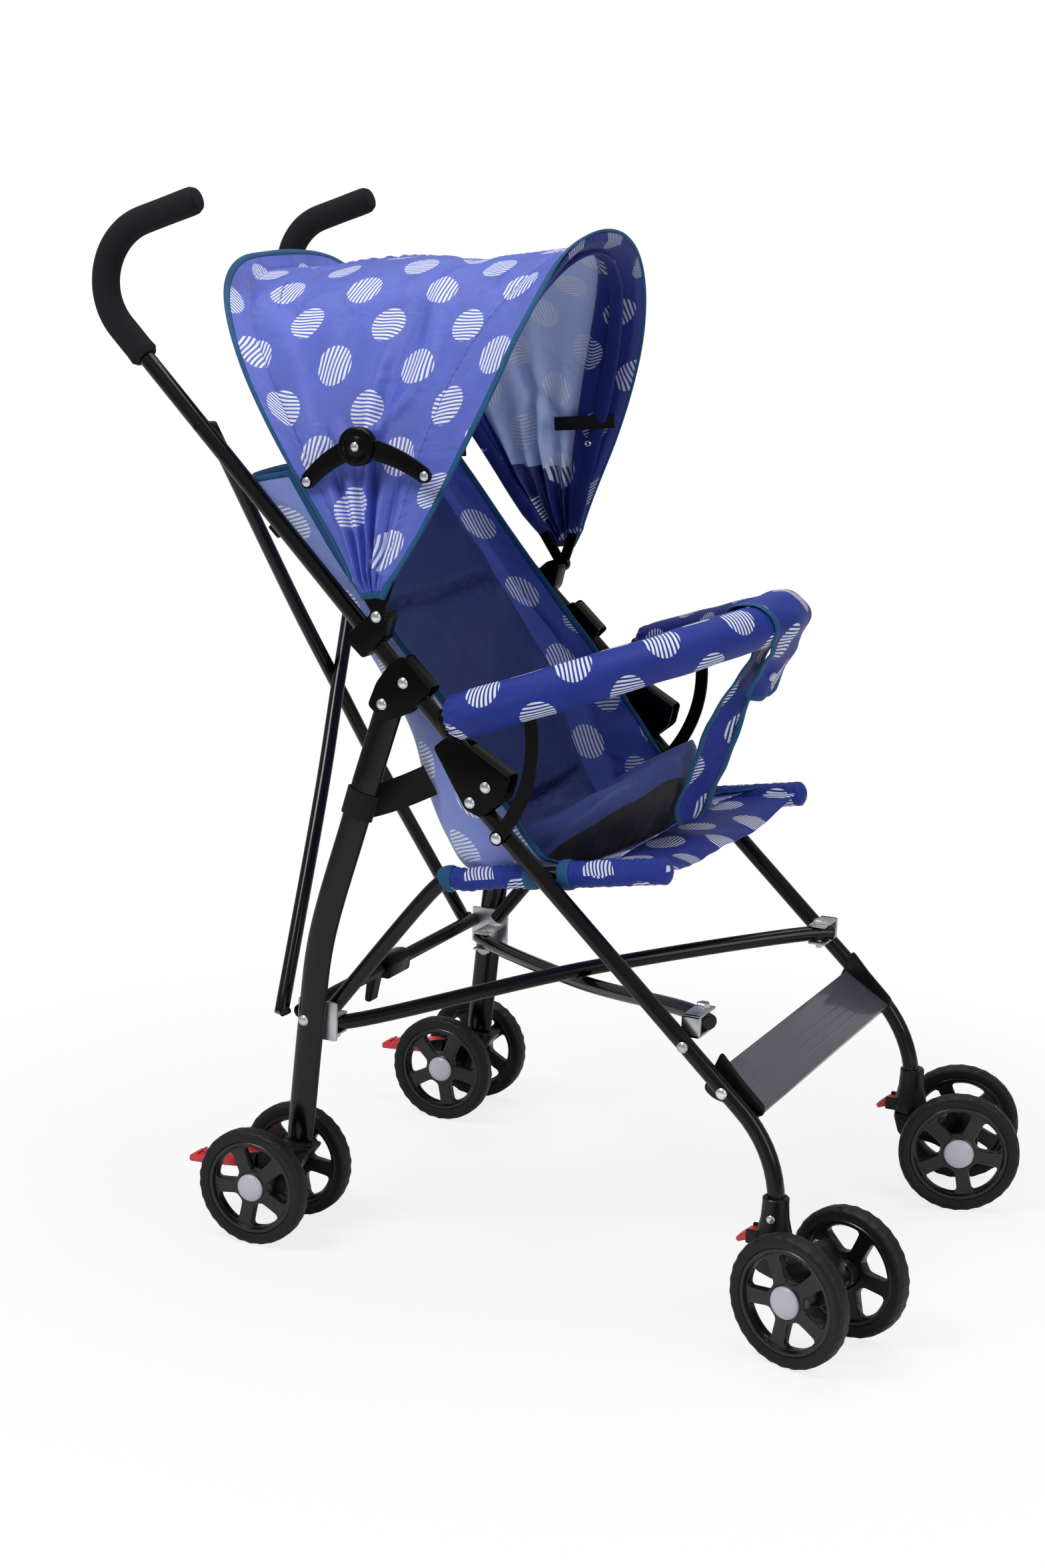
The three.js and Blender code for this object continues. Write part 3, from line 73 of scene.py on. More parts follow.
# ------------------------------------------------------------------ the studio
# A white floor that carries on without a horizon, one large soft lamp high on the left, a weaker one on
# the right and an even white sky. The camera stands in front, to the child's right, a little above.
CAMERA_PLACE = (1.0633, -2.4193, 1.0323)
CAMERA_TURN = math.radians(114.649)
CAMERA_DIP = math.radians(-12.799)
CAMERA_ROLL = math.radians(1.680)
ahead = Vector((
    math.cos(CAMERA_DIP) * math.cos(CAMERA_TURN),
    math.cos(CAMERA_DIP) * math.sin(CAMERA_TURN),
    math.sin(CAMERA_DIP),
))
level = ahead.cross(Vector((0, 0, 1))).normalized()
upright = level.cross(ahead)
right = math.cos(CAMERA_ROLL) * level + math.sin(CAMERA_ROLL) * upright
up = math.cos(CAMERA_ROLL) * upright - math.sin(CAMERA_ROLL) * level
camera = bpy.data.objects.new("camera", bpy.data.cameras.new("camera"))
camera.data.lens = 63.09
camera.data.sensor_width = 36
camera.data.sensor_fit = "AUTO"
camera.data.clip_start = 0.05
camera.matrix_world = Matrix.Translation(CAMERA_PLACE) @ Matrix((right, up, -ahead)).transposed().to_4x4()
bpy.context.scene.collection.objects.link(camera)
bpy.context.scene.camera = camera
bpy.context.scene.view_settings.view_transform = "Standard"


def lamp(name, place, target, size, watts):
    """A square soft lamp at place, facing target."""
    light = bpy.data.lights.new(name, "AREA")
    light.shape = "RECTANGLE"
    light.size, light.size_y = size
    light.energy = watts
    made_lamp = bpy.data.objects.new(name, light)
    made_lamp.location = place
    made_lamp.rotation_mode = "QUATERNION"
    made_lamp.rotation_quaternion = (Vector(target) - Vector(place)).to_track_quat("-Z", "Y")
    bpy.context.scene.collection.objects.link(made_lamp)


lamp("key_lamp", (-1.0, -1.7, 2.9), (0, 0, 0.5), (1.1, 1.1), 52)
lamp("fill_lamp", (2.3, -0.9, 1.5), (0, 0, 0.5), (1.0, 1.6), 15)
lamp("top_lamp", (0.1, 0.5, 2.9), (0, 0, 0.4), (1.6, 1.6), 26)

world = bpy.data.worlds.new("white_room")
bpy.context.scene.world = world
world.use_nodes = True
nodes, links = world.node_tree.nodes, world.node_tree.links
nodes.clear()
rays = nodes.new("ShaderNodeLightPath")
seen = nodes.new("ShaderNodeMath")
seen.operation = "MAXIMUM"
links.new(rays.outputs["Is Camera Ray"], seen.inputs[0])
links.new(rays.outputs["Is Transmission Ray"], seen.inputs[1])
glossy = nodes.new("ShaderNodeMath")
glossy.operation = "MULTIPLY"
glossy.inputs[1].default_value = 0.12
links.new(rays.outputs["Is Glossy Ray"], glossy.inputs[0])
white = nodes.new("ShaderNodeMath")
white.operation = "MAXIMUM"
links.new(seen.outputs[0], white.inputs[0])
links.new(glossy.outputs[0], white.inputs[1])
strength = nodes.new("ShaderNodeMapRange")
strength.inputs["To Min"].default_value = 0.26
strength.inputs["To Max"].default_value = 1.0
links.new(white.outputs[0], strength.inputs["Value"])
sky = nodes.new("ShaderNodeBackground")
sky.inputs["Color"].default_value = (1, 1, 1, 1)
links.new(strength.outputs["Result"], sky.inputs["Strength"])
links.new(sky.outputs[0], nodes.new("ShaderNodeOutputWorld").inputs[0])

floor_mesh = bpy.data.meshes.new("floor")
FLOOR = 30
floor_mesh.from_pydata(
    [(-FLOOR, -FLOOR, 0), (FLOOR, -FLOOR, 0), (FLOOR, FLOOR, 0), (-FLOOR, FLOOR, 0)], [], [(0, 1, 2, 3)]
)
floor = bpy.data.objects.new("floor", floor_mesh)
bpy.context.scene.collection.objects.link(floor)
paper = bpy.data.materials.new("white_paper")
paper.use_nodes = True
nodes, links = paper.node_tree.nodes, paper.node_tree.links
nodes.clear()
coords = nodes.new("ShaderNodeTexCoord")
distance = nodes.new("ShaderNodeVectorMath")
distance.operation = "LENGTH"
links.new(coords.outputs["Object"], distance.inputs[0])
far = nodes.new("ShaderNodeMapRange")
far.interpolation_type = "SMOOTHSTEP"
far.inputs["From Min"].default_value = 0.42
far.inputs["From Max"].default_value = 1.05
far.inputs["To Min"].default_value = 0.81
links.new(distance.outputs["Value"], far.inputs["Value"])
rays = nodes.new("ShaderNodeLightPath")
shown = nodes.new("ShaderNodeMath")
shown.operation = "MULTIPLY"
links.new(far.outputs["Result"], shown.inputs[0])
links.new(rays.outputs["Is Camera Ray"], shown.inputs[1])
matt = nodes.new("ShaderNodeBsdfDiffuse")
matt.inputs["Color"].default_value = (0.93, 0.93, 0.93, 1)
plain = nodes.new("ShaderNodeEmission")
blend = nodes.new("ShaderNodeMixShader")
links.new(shown.outputs[0], blend.inputs["Fac"])
links.new(matt.outputs[0], blend.inputs[1])
links.new(plain.outputs[0], blend.inputs[2])
links.new(blend.outputs[0], nodes.new("ShaderNodeOutputMaterial").inputs["Surface"])
floor_mesh.materials.append(paper)

# ------------------------------------------------------------------ handle tubes
# Each handle is a 16 mm steel tube, sprayed gloss black, that runs straight up and back from the latch
# bracket and turns over in one bend to the short grip. The side frames lean in above the latch.
# Sizes are millimetres from the middle of the rear axle, on the floor: +X forward, +Y to the child's left.
rear_low, rear_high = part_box("rear_tyre_outer_left")
AXLE_X = (rear_low[0] + rear_high[0]) / 2
HALF_TRACK = 200
LEAN_START, LEAN_SLOPE = 460, 0.0555
TUBE_RADIUS = 8
HANDLE_FOOT = (228, 465)
HANDLE_BEND_CENTRE, HANDLE_BEND_RADIUS = (-152, 910), 60
HANDLE_RISE, GRIP_RISE = 136.4, 20
GRIP_END = (-118, 986)
AXIS_Y = np.array((0.0, 1.0, 0.0))
SIDES = (("left", 1), ("right", -1))
body_of_node = {name: node["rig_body"] for name, node in frame["nodes"].items()}


def linear(red, green, blue):
    """A screen colour, 0 to 255, as the linear colour that a shader takes."""
    share = np.array((red, green, blue)) / 255
    value = np.where(share <= 0.04045, share / 12.92, ((share + 0.055) / 1.055) ** 2.4)
    return (*[float(v) for v in value], 1.0)


def node_group(name, inputs, outputs):
    """An empty shader node group with named sockets; inputs are (name, type, value)."""
    group = bpy.data.node_groups.new(name, "ShaderNodeTree")
    for label, kind, value in inputs:
        socket = group.interface.new_socket(label, in_out="INPUT", socket_type=kind)
        if value is not None:
            socket.default_value = value
    for label, kind in outputs:
        group.interface.new_socket(label, in_out="OUTPUT", socket_type=kind)
    return group, group.nodes.new("NodeGroupInput"), group.nodes.new("NodeGroupOutput")


def calculate(tree, operation, *values):
    """A Math node; each value is a number or a socket."""
    node = tree.nodes.new("ShaderNodeMath")
    node.operation = operation
    for socket, value in zip(node.inputs, values):
        if isinstance(value, (int, float)):
            socket.default_value = value
        else:
            tree.links.new(value, socket)
    return node.outputs[0]


def times(tree, one, other):
    """The product of two numbers or sockets."""
    return calculate(tree, "MULTIPLY", one, other)


# Sprayed, moulded and rubbed surfaces all have a grain: a fine one that the light catches and a broad
# one that changes the gloss from place to place.
grain_group, taken, given = node_group(
    "grain",
    [
        ("Vector", "NodeSocketVector", None), ("Scale", "NodeSocketFloat", 900.0),
        ("Broad", "NodeSocketFloat", 14.0)
    ],
    [("Height", "NodeSocketFloat"), ("Patch", "NodeSocketFloat")],
)
for scale, label in (("Scale", "Height"), ("Broad", "Patch")):
    noise = grain_group.nodes.new("ShaderNodeTexNoise")
    noise.inputs["Detail"].default_value = 2.0
    grain_group.links.new(taken.outputs["Vector"], noise.inputs["Vector"])
    grain_group.links.new(taken.outputs[scale], noise.inputs["Scale"])
    grain_group.links.new(noise.outputs["Fac"], given.inputs[label])


def finish(
    name, colour, roughness, metallic=0.0, grain=900.0, depth=0.0001, patches=0.25, worn=None, **sockets
):
    """A material for a hard piece: its colour, a gloss that varies in patches and a fine grain."""
    made_finish = bpy.data.materials.new(name)
    made_finish.use_nodes = True
    tree = made_finish.node_tree
    shader = tree.nodes["Principled BSDF"]
    shader.inputs["Metallic"].default_value = metallic
    for label, value in sockets.items():
        shader.inputs[label.replace("_", " ")].default_value = value
    place = tree.nodes.new("ShaderNodeTexCoord").outputs["Object"]
    group = tree.nodes.new("ShaderNodeGroup")
    group.node_tree = grain_group
    group.inputs["Scale"].default_value = grain
    tree.links.new(place, group.inputs["Vector"])
    tone = tree.nodes.new("ShaderNodeMix")
    tone.data_type = "RGBA"
    tone.inputs["A"].default_value = linear(*colour)
    tone.inputs["B"].default_value = linear(*(worn or [min(255, c * 1.25 + 3) for c in colour]))
    tree.links.new(group.outputs["Patch"], tone.inputs["Factor"])
    tree.links.new(tone.outputs["Result"], shader.inputs["Base Color"])
    gloss = tree.nodes.new("ShaderNodeMapRange")
    gloss.inputs["To Min"].default_value = roughness * (1 - patches)
    gloss.inputs["To Max"].default_value = roughness * (1 + patches)
    tree.links.new(group.outputs["Patch"], gloss.inputs["Value"])
    tree.links.new(gloss.outputs["Result"], shader.inputs["Roughness"])
    bump = tree.nodes.new("ShaderNodeBump")
    bump.inputs["Distance"].default_value = depth
    tree.links.new(group.outputs["Height"], bump.inputs["Height"])
    tree.links.new(bump.outputs["Normal"], shader.inputs["Normal"])
    return made_finish


black_paint = finish(
    "black_paint", (3, 3, 4), 0.2, grain=260.0, depth=0.00003, worn=(7, 7, 8), Specular_IOR_Level=0.24,
    Coat_Weight=0.15, Coat_Roughness=0.05
)
bright_zinc = finish("bright_zinc", (196, 200, 205), 0.22, 1.0, grain=500.0, depth=0.00003)


def metres(places):
    """Places in millimetres from the rear axle, in the model's frame and in metres."""
    return np.asarray(places, float) * 0.001 + (AXLE_X, 0, 0)


def on_side(x, z, out=0.0):
    """Side view places on the left side frame: y = track + out - lean, which grows above the latch."""
    x, z = np.broadcast_arrays(np.asarray(x, float), np.asarray(z, float))
    lean = np.maximum(0, z - LEAN_START) * LEAN_SLOPE
    return np.stack([x, HALF_TRACK + out - lean, z], -1)


def unit(vectors):
    """Each vector divided by its length."""
    return vectors / np.maximum(np.linalg.norm(vectors, axis=-1, keepdims=True), 1e-9)


def cubic(p, slope, chord, steps):
    """Cubic pieces through places p with a slope at each: (2t^3-3t^2+1) a + (t^3-2t^2+t) c m +
    (3t^2-2t^3) b + (t^3-t^2) c n, from a with slope m to b with slope n, over a chord c."""
    t = np.linspace(0, 1, steps, endpoint=False)[None, :, None]
    line = (2 * t**3 - 3 * t**2 + 1) * p[:-1, None] + (t**3 - 2 * t**2 + t) * chord * slope[:-1, None]
    line = line + (3 * t**2 - 2 * t**3) * p[1:, None] + (t**3 - t**2) * chord * slope[1:, None]
    return np.vstack([line.reshape(-1, p.shape[1]), p[-1:]])


def through(points, steps=12):
    """A smooth line through points: cubic pieces over the square root of the chord. Each point's slope is
    the mean of the slopes beside it, weighted by the other side's length."""
    p = np.asarray(points, float)
    chord = np.sqrt(np.linalg.norm(np.diff(p, axis=0), axis=1))[:, None]
    slope = np.diff(p, axis=0) / chord
    inner = (slope[:-1] * chord[1:] + slope[1:] * chord[:-1]) / (chord[1:] + chord[:-1])
    m = np.vstack([slope[:1], inner, slope[-1:]])
    return cubic(p, m, chord[:, None], steps)


def lengths(places, axis=0):
    """How far each place is from the first, measured along a line or along one axis of a grid."""
    steps = np.linalg.norm(np.diff(places, axis=axis), axis=-1)
    return np.concatenate([np.zeros_like(np.take(steps, [0], axis)), np.cumsum(steps, axis)], axis)


def curve(start, corner, end, t):
    """The curve (1-t)^2 start + 2t(1-t) corner + t^2 end."""
    return (1 - t) ** 2 * start + 2 * t * (1 - t) * corner + t**2 * end


def even(line, step):
    """The line again, with places a step apart."""
    run = lengths(line)
    at = np.linspace(0, run[-1], max(2, int(round(run[-1] / step)) + 1))
    return np.stack([np.interp(at, run, line[:, k]) for k in range(line.shape[1])], -1)


def oval(across, deep, count=24):
    """A closed oval outline: (across cos a, deep sin a)."""
    turn = np.linspace(0, 2 * np.pi, count + 1)
    return np.stack([across * np.cos(turn), deep * np.sin(turn)], -1)


def carried(line, outline, square_to=AXIS_Y, swell=1.0):
    """An outline carried along a line: place + a * across + b * up, where across is square_to made square
    to the line and up is square to both; swell widens the outline at each place."""
    along = unit(np.gradient(line, axis=0))
    across = unit(square_to - (along @ square_to)[:, None] * along)
    above = np.cross(along, across)
    outline = np.broadcast_to(outline, (len(line), *np.shape(outline)[-2:]))
    swell = np.broadcast_to(swell, len(line))[:, None, None]
    return line[:, None] + swell * (outline[..., :1] * across[:, None] + outline[..., 1:] * above[:, None])


def shell(grid, uv=None, ends=True):
    """The faces between neighbouring points of a grid of rows and columns, with a flat face on the first
    and last rows where ends is true."""
    rows, columns = grid.shape[:2]
    index = np.arange(rows * columns).reshape(rows, columns)
    faces = np.stack(
        [index[:-1, :-1], index[:-1, 1:], index[1:, 1:], index[1:, :-1]], -1
    ).reshape(-1, 4).tolist()
    if ends:
        faces += [index[0, :0:-1].tolist(), index[-1, :-1].tolist()]
    return grid.reshape(-1, 3), faces, None if uv is None else np.asarray(uv).reshape(-1, uv.shape[-1])


def sleeve_shell(outer, bore, values):
    """A closed sleeve between an outer and an inner grid, whose places share their values."""
    return shell(
        np.concatenate([outer, bore[::-1], outer[:1]], 0),
        np.concatenate([values, values[::-1], values[:1]], 0), ends=False
    )


def closed_tube(line, radius, square_to=AXIS_Y, count=24, edge=0.8):
    """A round bar along a line, its two ends rounded over by edge."""
    along = unit(np.gradient(line, axis=0))
    turn = np.linspace(0, np.pi / 2, 4)[:, None]
    head = line[0] + along[0] * (1 - np.sin(turn[::-1])) * edge
    tail = line[-1] - along[-1] * (1 - np.sin(turn)) * edge
    scale = 1 - (edge / radius) * (1 - np.cos(turn[:, 0]))
    whole = np.vstack([head, line[1:-1], tail])
    swell = np.r_[scale[::-1], np.ones(len(line) - 2), scale]
    return shell(carried(whole, oval(radius, radius, count), square_to, swell))


def flipped(shells):
    """The same shells on the other side of the stroller: y becomes -y."""
    return [(points * (1, -1, 1), faces, uv) for points, faces, uv in shells]


def made(name, shells, material, body, stands_for=(), crease=38):
    """One piece from its shells: points that meet are merged, faces are turned outwards, edges sharper than
    crease degrees stay sharp. It rides on a body and stands for the CAD nodes it replaces. The values of
    cloth are U, V, which side a point is on and its distances from a seam and from a second layer."""
    points, faces, layers, start = [], [], [], 0
    for shell_points, shell_faces, values in shells:
        points.append(metres(shell_points))
        faces += [[start + i for i in face] for face in shell_faces]
        carries = np.tile((0.0, 0.0, 0.0, 1.0, 1.0), (len(shell_points), 1))
        if values is not None:
            carries[:, :values.shape[1]] = values
        layers.append(carries)
        start += len(shell_points)
    mesh = bpy.data.meshes.new(name)
    mesh.from_pydata(np.vstack(points).tolist(), [], faces)
    if any(values is not None for *_, values in shells):
        carried_values = np.vstack(layers)
        corner = np.zeros(len(mesh.loops), np.int32)
        mesh.loops.foreach_get("vertex_index", corner)
        mesh.uv_layers.new(name="cloth").data.foreach_set(
            "uv", carried_values[corner, :2].astype(np.float32).ravel()
        )
        for k, label in enumerate(("inside", "seam", "band")):
            layer = mesh.attributes.new(label, "FLOAT", "POINT")
            layer.data.foreach_set("value", carried_values[:, 2 + k].astype(np.float32))
    form = bmesh.new()
    form.from_mesh(mesh)
    bmesh.ops.remove_doubles(form, verts=form.verts, dist=2e-6)
    bmesh.ops.recalc_face_normals(form, faces=form.faces)
    form.to_mesh(mesh)
    form.free()
    mesh.polygons.foreach_set("use_smooth", [True] * len(mesh.polygons))
    mesh.set_sharp_from_angle(angle=math.radians(crease))
    mesh.materials.append(material)
    piece = bpy.data.objects.new(name, mesh)
    bpy.context.scene.collection.objects.link(piece)
    if body is not None:
        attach(piece, body)
    if stands_for:
        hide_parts(*stands_for)
    return piece


def both_sides(name, shells, material, crease=38, extra=False, body=None):
    """A left piece and its mirror image on the right, each for the CAD node of its name. An extra piece
    stands for no node and rides on a body, whose name may end in the side."""
    for side, sign in SIDES:
        stands = () if extra else (f"{name}_{side}",)
        rides = body_of_node[stands[0]] if stands else (body or "frame").replace("SIDE", side)
        piece_name = f"{name}_piece_{side}" if not extra else f"{name}_{side}"
        made(piece_name, shells if sign > 0 else flipped(shells), material, rides, stands, crease)


def toward(degrees):
    """The direction that rises by so many degrees from straight ahead, in the side view."""
    return np.array((math.cos(math.radians(degrees)), math.sin(math.radians(degrees))))


def handle_line(start=HANDLE_FOOT, beyond=0.0):
    """The handle's middle line in the side view: straight, an arc about the bend's centre, straight."""
    turn = np.radians(np.linspace(HANDLE_RISE + 90, GRIP_RISE + 90, 28))
    arc = np.array(HANDLE_BEND_CENTRE) + HANDLE_BEND_RADIUS * np.stack([np.cos(turn), np.sin(turn)], -1)
    end = np.array(GRIP_END) + toward(GRIP_RISE) * beyond
    return np.vstack([[start], arc, [end]])


handle = handle_line()
handle = np.vstack([even(handle[:2], 12)[:-1], handle[1:-1], handle[-1:]])
both_sides("handle_tube", [closed_tube(on_side(*handle.T), TUBE_RADIUS)], black_paint)

# ------------------------------------------------------------------ grips
# A sleeve of black closed-cell foam pushed over the bend, finely pored and matt, thicker at its lower
# lip, with a moulded foam plug set into its end.
GRIP_RADIUS, GRIP_STRAIGHT, GRIP_CAP = 13.5, 40, 5
foam = finish(
    "grip_foam", (17, 18, 22), 0.92, grain=1500.0, depth=0.0007, patches=0.08, Specular_IOR_Level=0.3
)
bend_start = handle_line()[1]
grip = handle_line(bend_start - toward(HANDLE_RISE) * GRIP_STRAIGHT, GRIP_CAP)
grip = even(grip, 4)
run = lengths(grip)
lip = 1 + 0.05 * np.exp(-((run - 4) / 4) ** 2) + 0.012 * np.sin(run / 17.0) - 0.16 * np.exp(-run / 1.2)
tail = run[-1] - run
lip = lip - 0.20 * np.exp(-tail / 2.2)
sleeve = carried(on_side(*grip.T), oval(GRIP_RADIUS, GRIP_RADIUS, 36), swell=lip)
end_place = on_side(*grip[-1])
end_along = unit(on_side(*grip[-1]) - on_side(*grip[-3]))
plug_line = end_place + np.array((-6.0, -0.6, -0.6, 0.5, 1.1, 1.1))[:, None] * end_along
plug = carried(
    plug_line, oval(GRIP_RADIUS, GRIP_RADIUS, 36), swell=np.array((0.70, 0.70, 0.72, 0.72, 0.64, 0.2))
)
both_sides("handle_grip", [shell(sleeve), shell(plug)], foam, crease=50)

# ------------------------------------------------------------------ hinge brackets
# Two folded brackets of black steel sheet on each side straddle the handle tube: the upper one takes the
# top of the rear leg, the lower one the top of the front leg. Domed bright rivets go through them.
SHEET = 2.5
PLATE_REACH = TUBE_RADIUS + 0.3
UPPER_BRACKET = (
    (128, 584), (159, 555), (145, 541), (131, 528), (111, 521), (94, 535), (102, 557), (114, 574)
)
UPPER_BRACKET_RIVETS = ((130, 559), (109, 537))
LATCH_BRACKET = ((164, 503), (175, 513), (197, 509), (243, 483), (238, 462), (215, 443), (199, 449))
LATCH_BRACKET_RIVETS = ((219, 472), (204, 456))
RIVET_RADIUS, RIVET_HEIGHT = 5.2, 2.6
bracket_paint = finish(
    "bracket_paint", (3, 3, 4), 0.26, grain=420.0, depth=0.00005, worn=(6, 6, 7), Specular_IOR_Level=0.11
)


def rounded(outline, rounding, steps=6):
    """An outline with each corner replaced by a curve that starts and ends a rounding away from it."""
    p = np.asarray(outline, float)
    before, after = np.roll(p, 1, 0) - p, np.roll(p, -1, 0) - p
    start = p + before * np.minimum(rounding / np.linalg.norm(before, axis=1), 0.45)[:, None]
    end = p + after * np.minimum(rounding / np.linalg.norm(after, axis=1), 0.45)[:, None]
    t = np.linspace(0, 1, steps)[None, :, None]
    return curve(start[:, None], p[:, None], end[:, None], t).reshape(-1, 2)


def inset(outline, distance):
    """An outline moved inwards by a distance along the normal at each of its corners."""
    along = unit(np.roll(outline, -1, 0) - np.roll(outline, 1, 0))
    x, z = outline.T
    turns = 1 if np.sum(x * np.roll(z, -1) - z * np.roll(x, -1)) > 0 else -1
    return outline + turns * distance * np.stack([-along[:, 1], along[:, 0]], -1)


def slab(outline, low, high, rounding=4.0, bevel=0.5, lean=True, steps=6):
    """A flat plate cut to an outline in the side view, from low to high outwards, with softened edges."""
    shape = rounded(outline, rounding, steps) if rounding else np.asarray(outline, float)
    rows = [
        (inset(shape, bevel), low), (inset(shape, bevel * 0.3), low + bevel * 0.3), (shape, low + bevel),
        (shape, high - bevel), (inset(shape, bevel * 0.3), high - bevel * 0.3), (inset(shape, bevel), high),
    ]
    place = on_side if lean else lambda x, z, out: np.stack([x, np.full_like(x, out), z], -1)
    grid = np.array([place(row[:, 0], row[:, 1], out) for row, out in rows])
    return shell(np.concatenate([grid, grid[:, :1]], 1))


def turned(profile, centre, axis, count=32):
    """A profile of (radius, distance along the axis) turned about an axis through centre. A closed profile
    makes a ring; an open one starts and ends on the axis."""
    profile = np.asarray(profile, float)
    axis = unit(np.asarray(axis, float))
    side = unit(np.cross(axis, (0.3, 0.2, 0.9)))
    other = np.cross(axis, side)
    turn = np.linspace(0, 2 * np.pi, count + 1)
    round_it = np.cos(turn)[:, None] * side + np.sin(turn)[:, None] * other
    grid = np.asarray(centre, float) + profile[:, None, :1] * round_it[None] + profile[:, None, 1:] * axis
    return shell(grid, ends=False)


def rivet(at, out, radius=RIVET_RADIUS, height=RIVET_HEIGHT, lean=True):
    """A domed rivet head on a thin flange: radius r cos a, height h sin a."""
    turn = np.linspace(0, np.pi / 2, 7)
    dome = np.stack([radius * 0.86 * np.cos(turn), height * 0.35 + height * 0.65 * np.sin(turn)], -1)
    profile = np.vstack(
        [[(0, -1), (radius, -1), (radius, height * 0.25), (radius * 0.94, height * 0.35)], dome]
    )
    centre = on_side(at[0], at[1], out) if lean else np.array((at[0], out, at[1]))
    return turned(profile, centre, AXIS_Y, 28)


def channel(outline, edge):
    """Two plates a tube apart, with a wall along one edge of the outline."""
    start, end = np.array(outline[edge], float), np.array(outline[edge + 1], float)
    along = unit((end - start)[None])[0]
    inward = np.array((along[1], -along[0])) * SHEET
    wall = np.array(
        (start + 3 * along, end - 3 * along, end - 3 * along + inward, start + 3 * along + inward)
    )
    return [
        slab(outline, PLATE_REACH, PLATE_REACH + SHEET), slab(outline, -PLATE_REACH - SHEET, -PLATE_REACH),
        slab(wall, -PLATE_REACH - 1, PLATE_REACH + 1, 0, 0.2),
    ]


both_sides("upper_bracket", channel(UPPER_BRACKET, 0), bracket_paint)
both_sides("latch_bracket", channel(LATCH_BRACKET, 2), bracket_paint)
heads = [rivet(at, PLATE_REACH + SHEET) for at in UPPER_BRACKET_RIVETS + LATCH_BRACKET_RIVETS]
both_sides("bracket_rivets", heads, bright_zinc, extra=True)

# ------------------------------------------------------------------ legs
# The front leg is a round steel tube with one wide bend down to the castor. The rear leg is a flat oval
# tube in a gentle S. Both are gloss black; folded zinc brackets, bolted on inside, take the base cross.
FRONT_LEG_TOP = (196, 464)
FRONT_LEG_X, KNEE_Z, KNEE_RADIUS, FOOT_Z, SPLAY = 517, 168, 118, 105, 6
REAR_LEG = ((114, 541), (81, 426), (45, 300), (35.5, 222), (24, 92))
REAR_LEG_DEPTH, REAR_LEG_WIDTH = 28, 14
BASE_CROSS_REAR = np.array((43.0, HALF_TRACK - 33, 208))
BASE_CROSS_FRONT = np.array((423.0, HALF_TRACK - 37, 272))
BASE_CROSS_RADIUS, BOLT_RADIUS, BOLT_HEAD = 7.5, 3, 6.5
zinc = finish("zinc_plate", (176, 178, 180), 0.36, 1.0, grain=350.0, depth=0.00006, patches=0.4)


def bent(corners, radius, step=4.0):
    """A line through corners whose inner ones are rounded by arcs of a radius."""
    corners = [np.asarray(corner, float) for corner in corners]
    line = [corners[0]]
    for before, corner, after in zip(corners, corners[1:], corners[2:]):
        back, ahead_of = unit(before - corner), unit(after - corner)
        turn = math.pi - math.acos(float(back @ ahead_of))
        centre = corner + unit(back + ahead_of) * radius / math.cos(turn / 2)
        start = corner + back * radius * math.tan(turn / 2) - centre
        normal = unit(np.cross(-back, ahead_of))
        for angle in np.linspace(0, turn, max(3, int(math.degrees(turn) / step))):
            line.append(centre + start * math.cos(angle) + np.cross(normal, start) * math.sin(angle))
    return np.array(line + [corners[-1]])


def box_shell(low, high, bevel=0.6):
    """A rectangular block with softened edges, from a low corner to a high one."""
    (x0, y0, z0), (x1, y1, z1) = low, high
    return slab(((x0, z0), (x1, z0), (x1, z1), (x0, z1)), y0, y1, 1.2, bevel, lean=False, steps=3)


def bolt_head(centre, axis, radius=BOLT_HEAD, height=4.5):
    """A hexagonal head with a chamfered top."""
    profile = ((0, 0), (radius, 0), (radius, height * 0.8), (radius * 0.86, height), (0, height))
    return turned(profile, centre, axis, 6)


def straight(start, end, radius, count=20, edge=0.5):
    """A round bar between two places."""
    line = np.asarray(start, float) + np.linspace(0, 1, 4)[:, None] * (
        np.asarray(end, float) - np.asarray(start, float)
    )
    across = (0.0, 1.0, 0.0) if abs(unit(line[1] - line[0])[1]) < 0.8 else (1.0, 0.0, 0.0)
    return closed_tube(line, radius, np.array(across), count, edge)


leg_line = bent(
    (on_side(*FRONT_LEG_TOP), (FRONT_LEG_X, HALF_TRACK, KNEE_Z), (FRONT_LEG_X, HALF_TRACK + SPLAY, FOOT_Z)),
    KNEE_RADIUS
)
both_sides("front_leg", [closed_tube(leg_line, TUBE_RADIUS, count=32)], black_paint)
rear_leg_line = on_side(*through(REAR_LEG, 14).T)
rear_leg_outline = oval(REAR_LEG_WIDTH / 2, REAR_LEG_DEPTH / 2, 32)
rear_leg_cap = np.r_[0.93, np.ones(len(rear_leg_line) - 2), 0.93]
both_sides(
    "rear_leg", [shell(carried(rear_leg_line, rear_leg_outline, swell=rear_leg_cap))], black_paint,
)

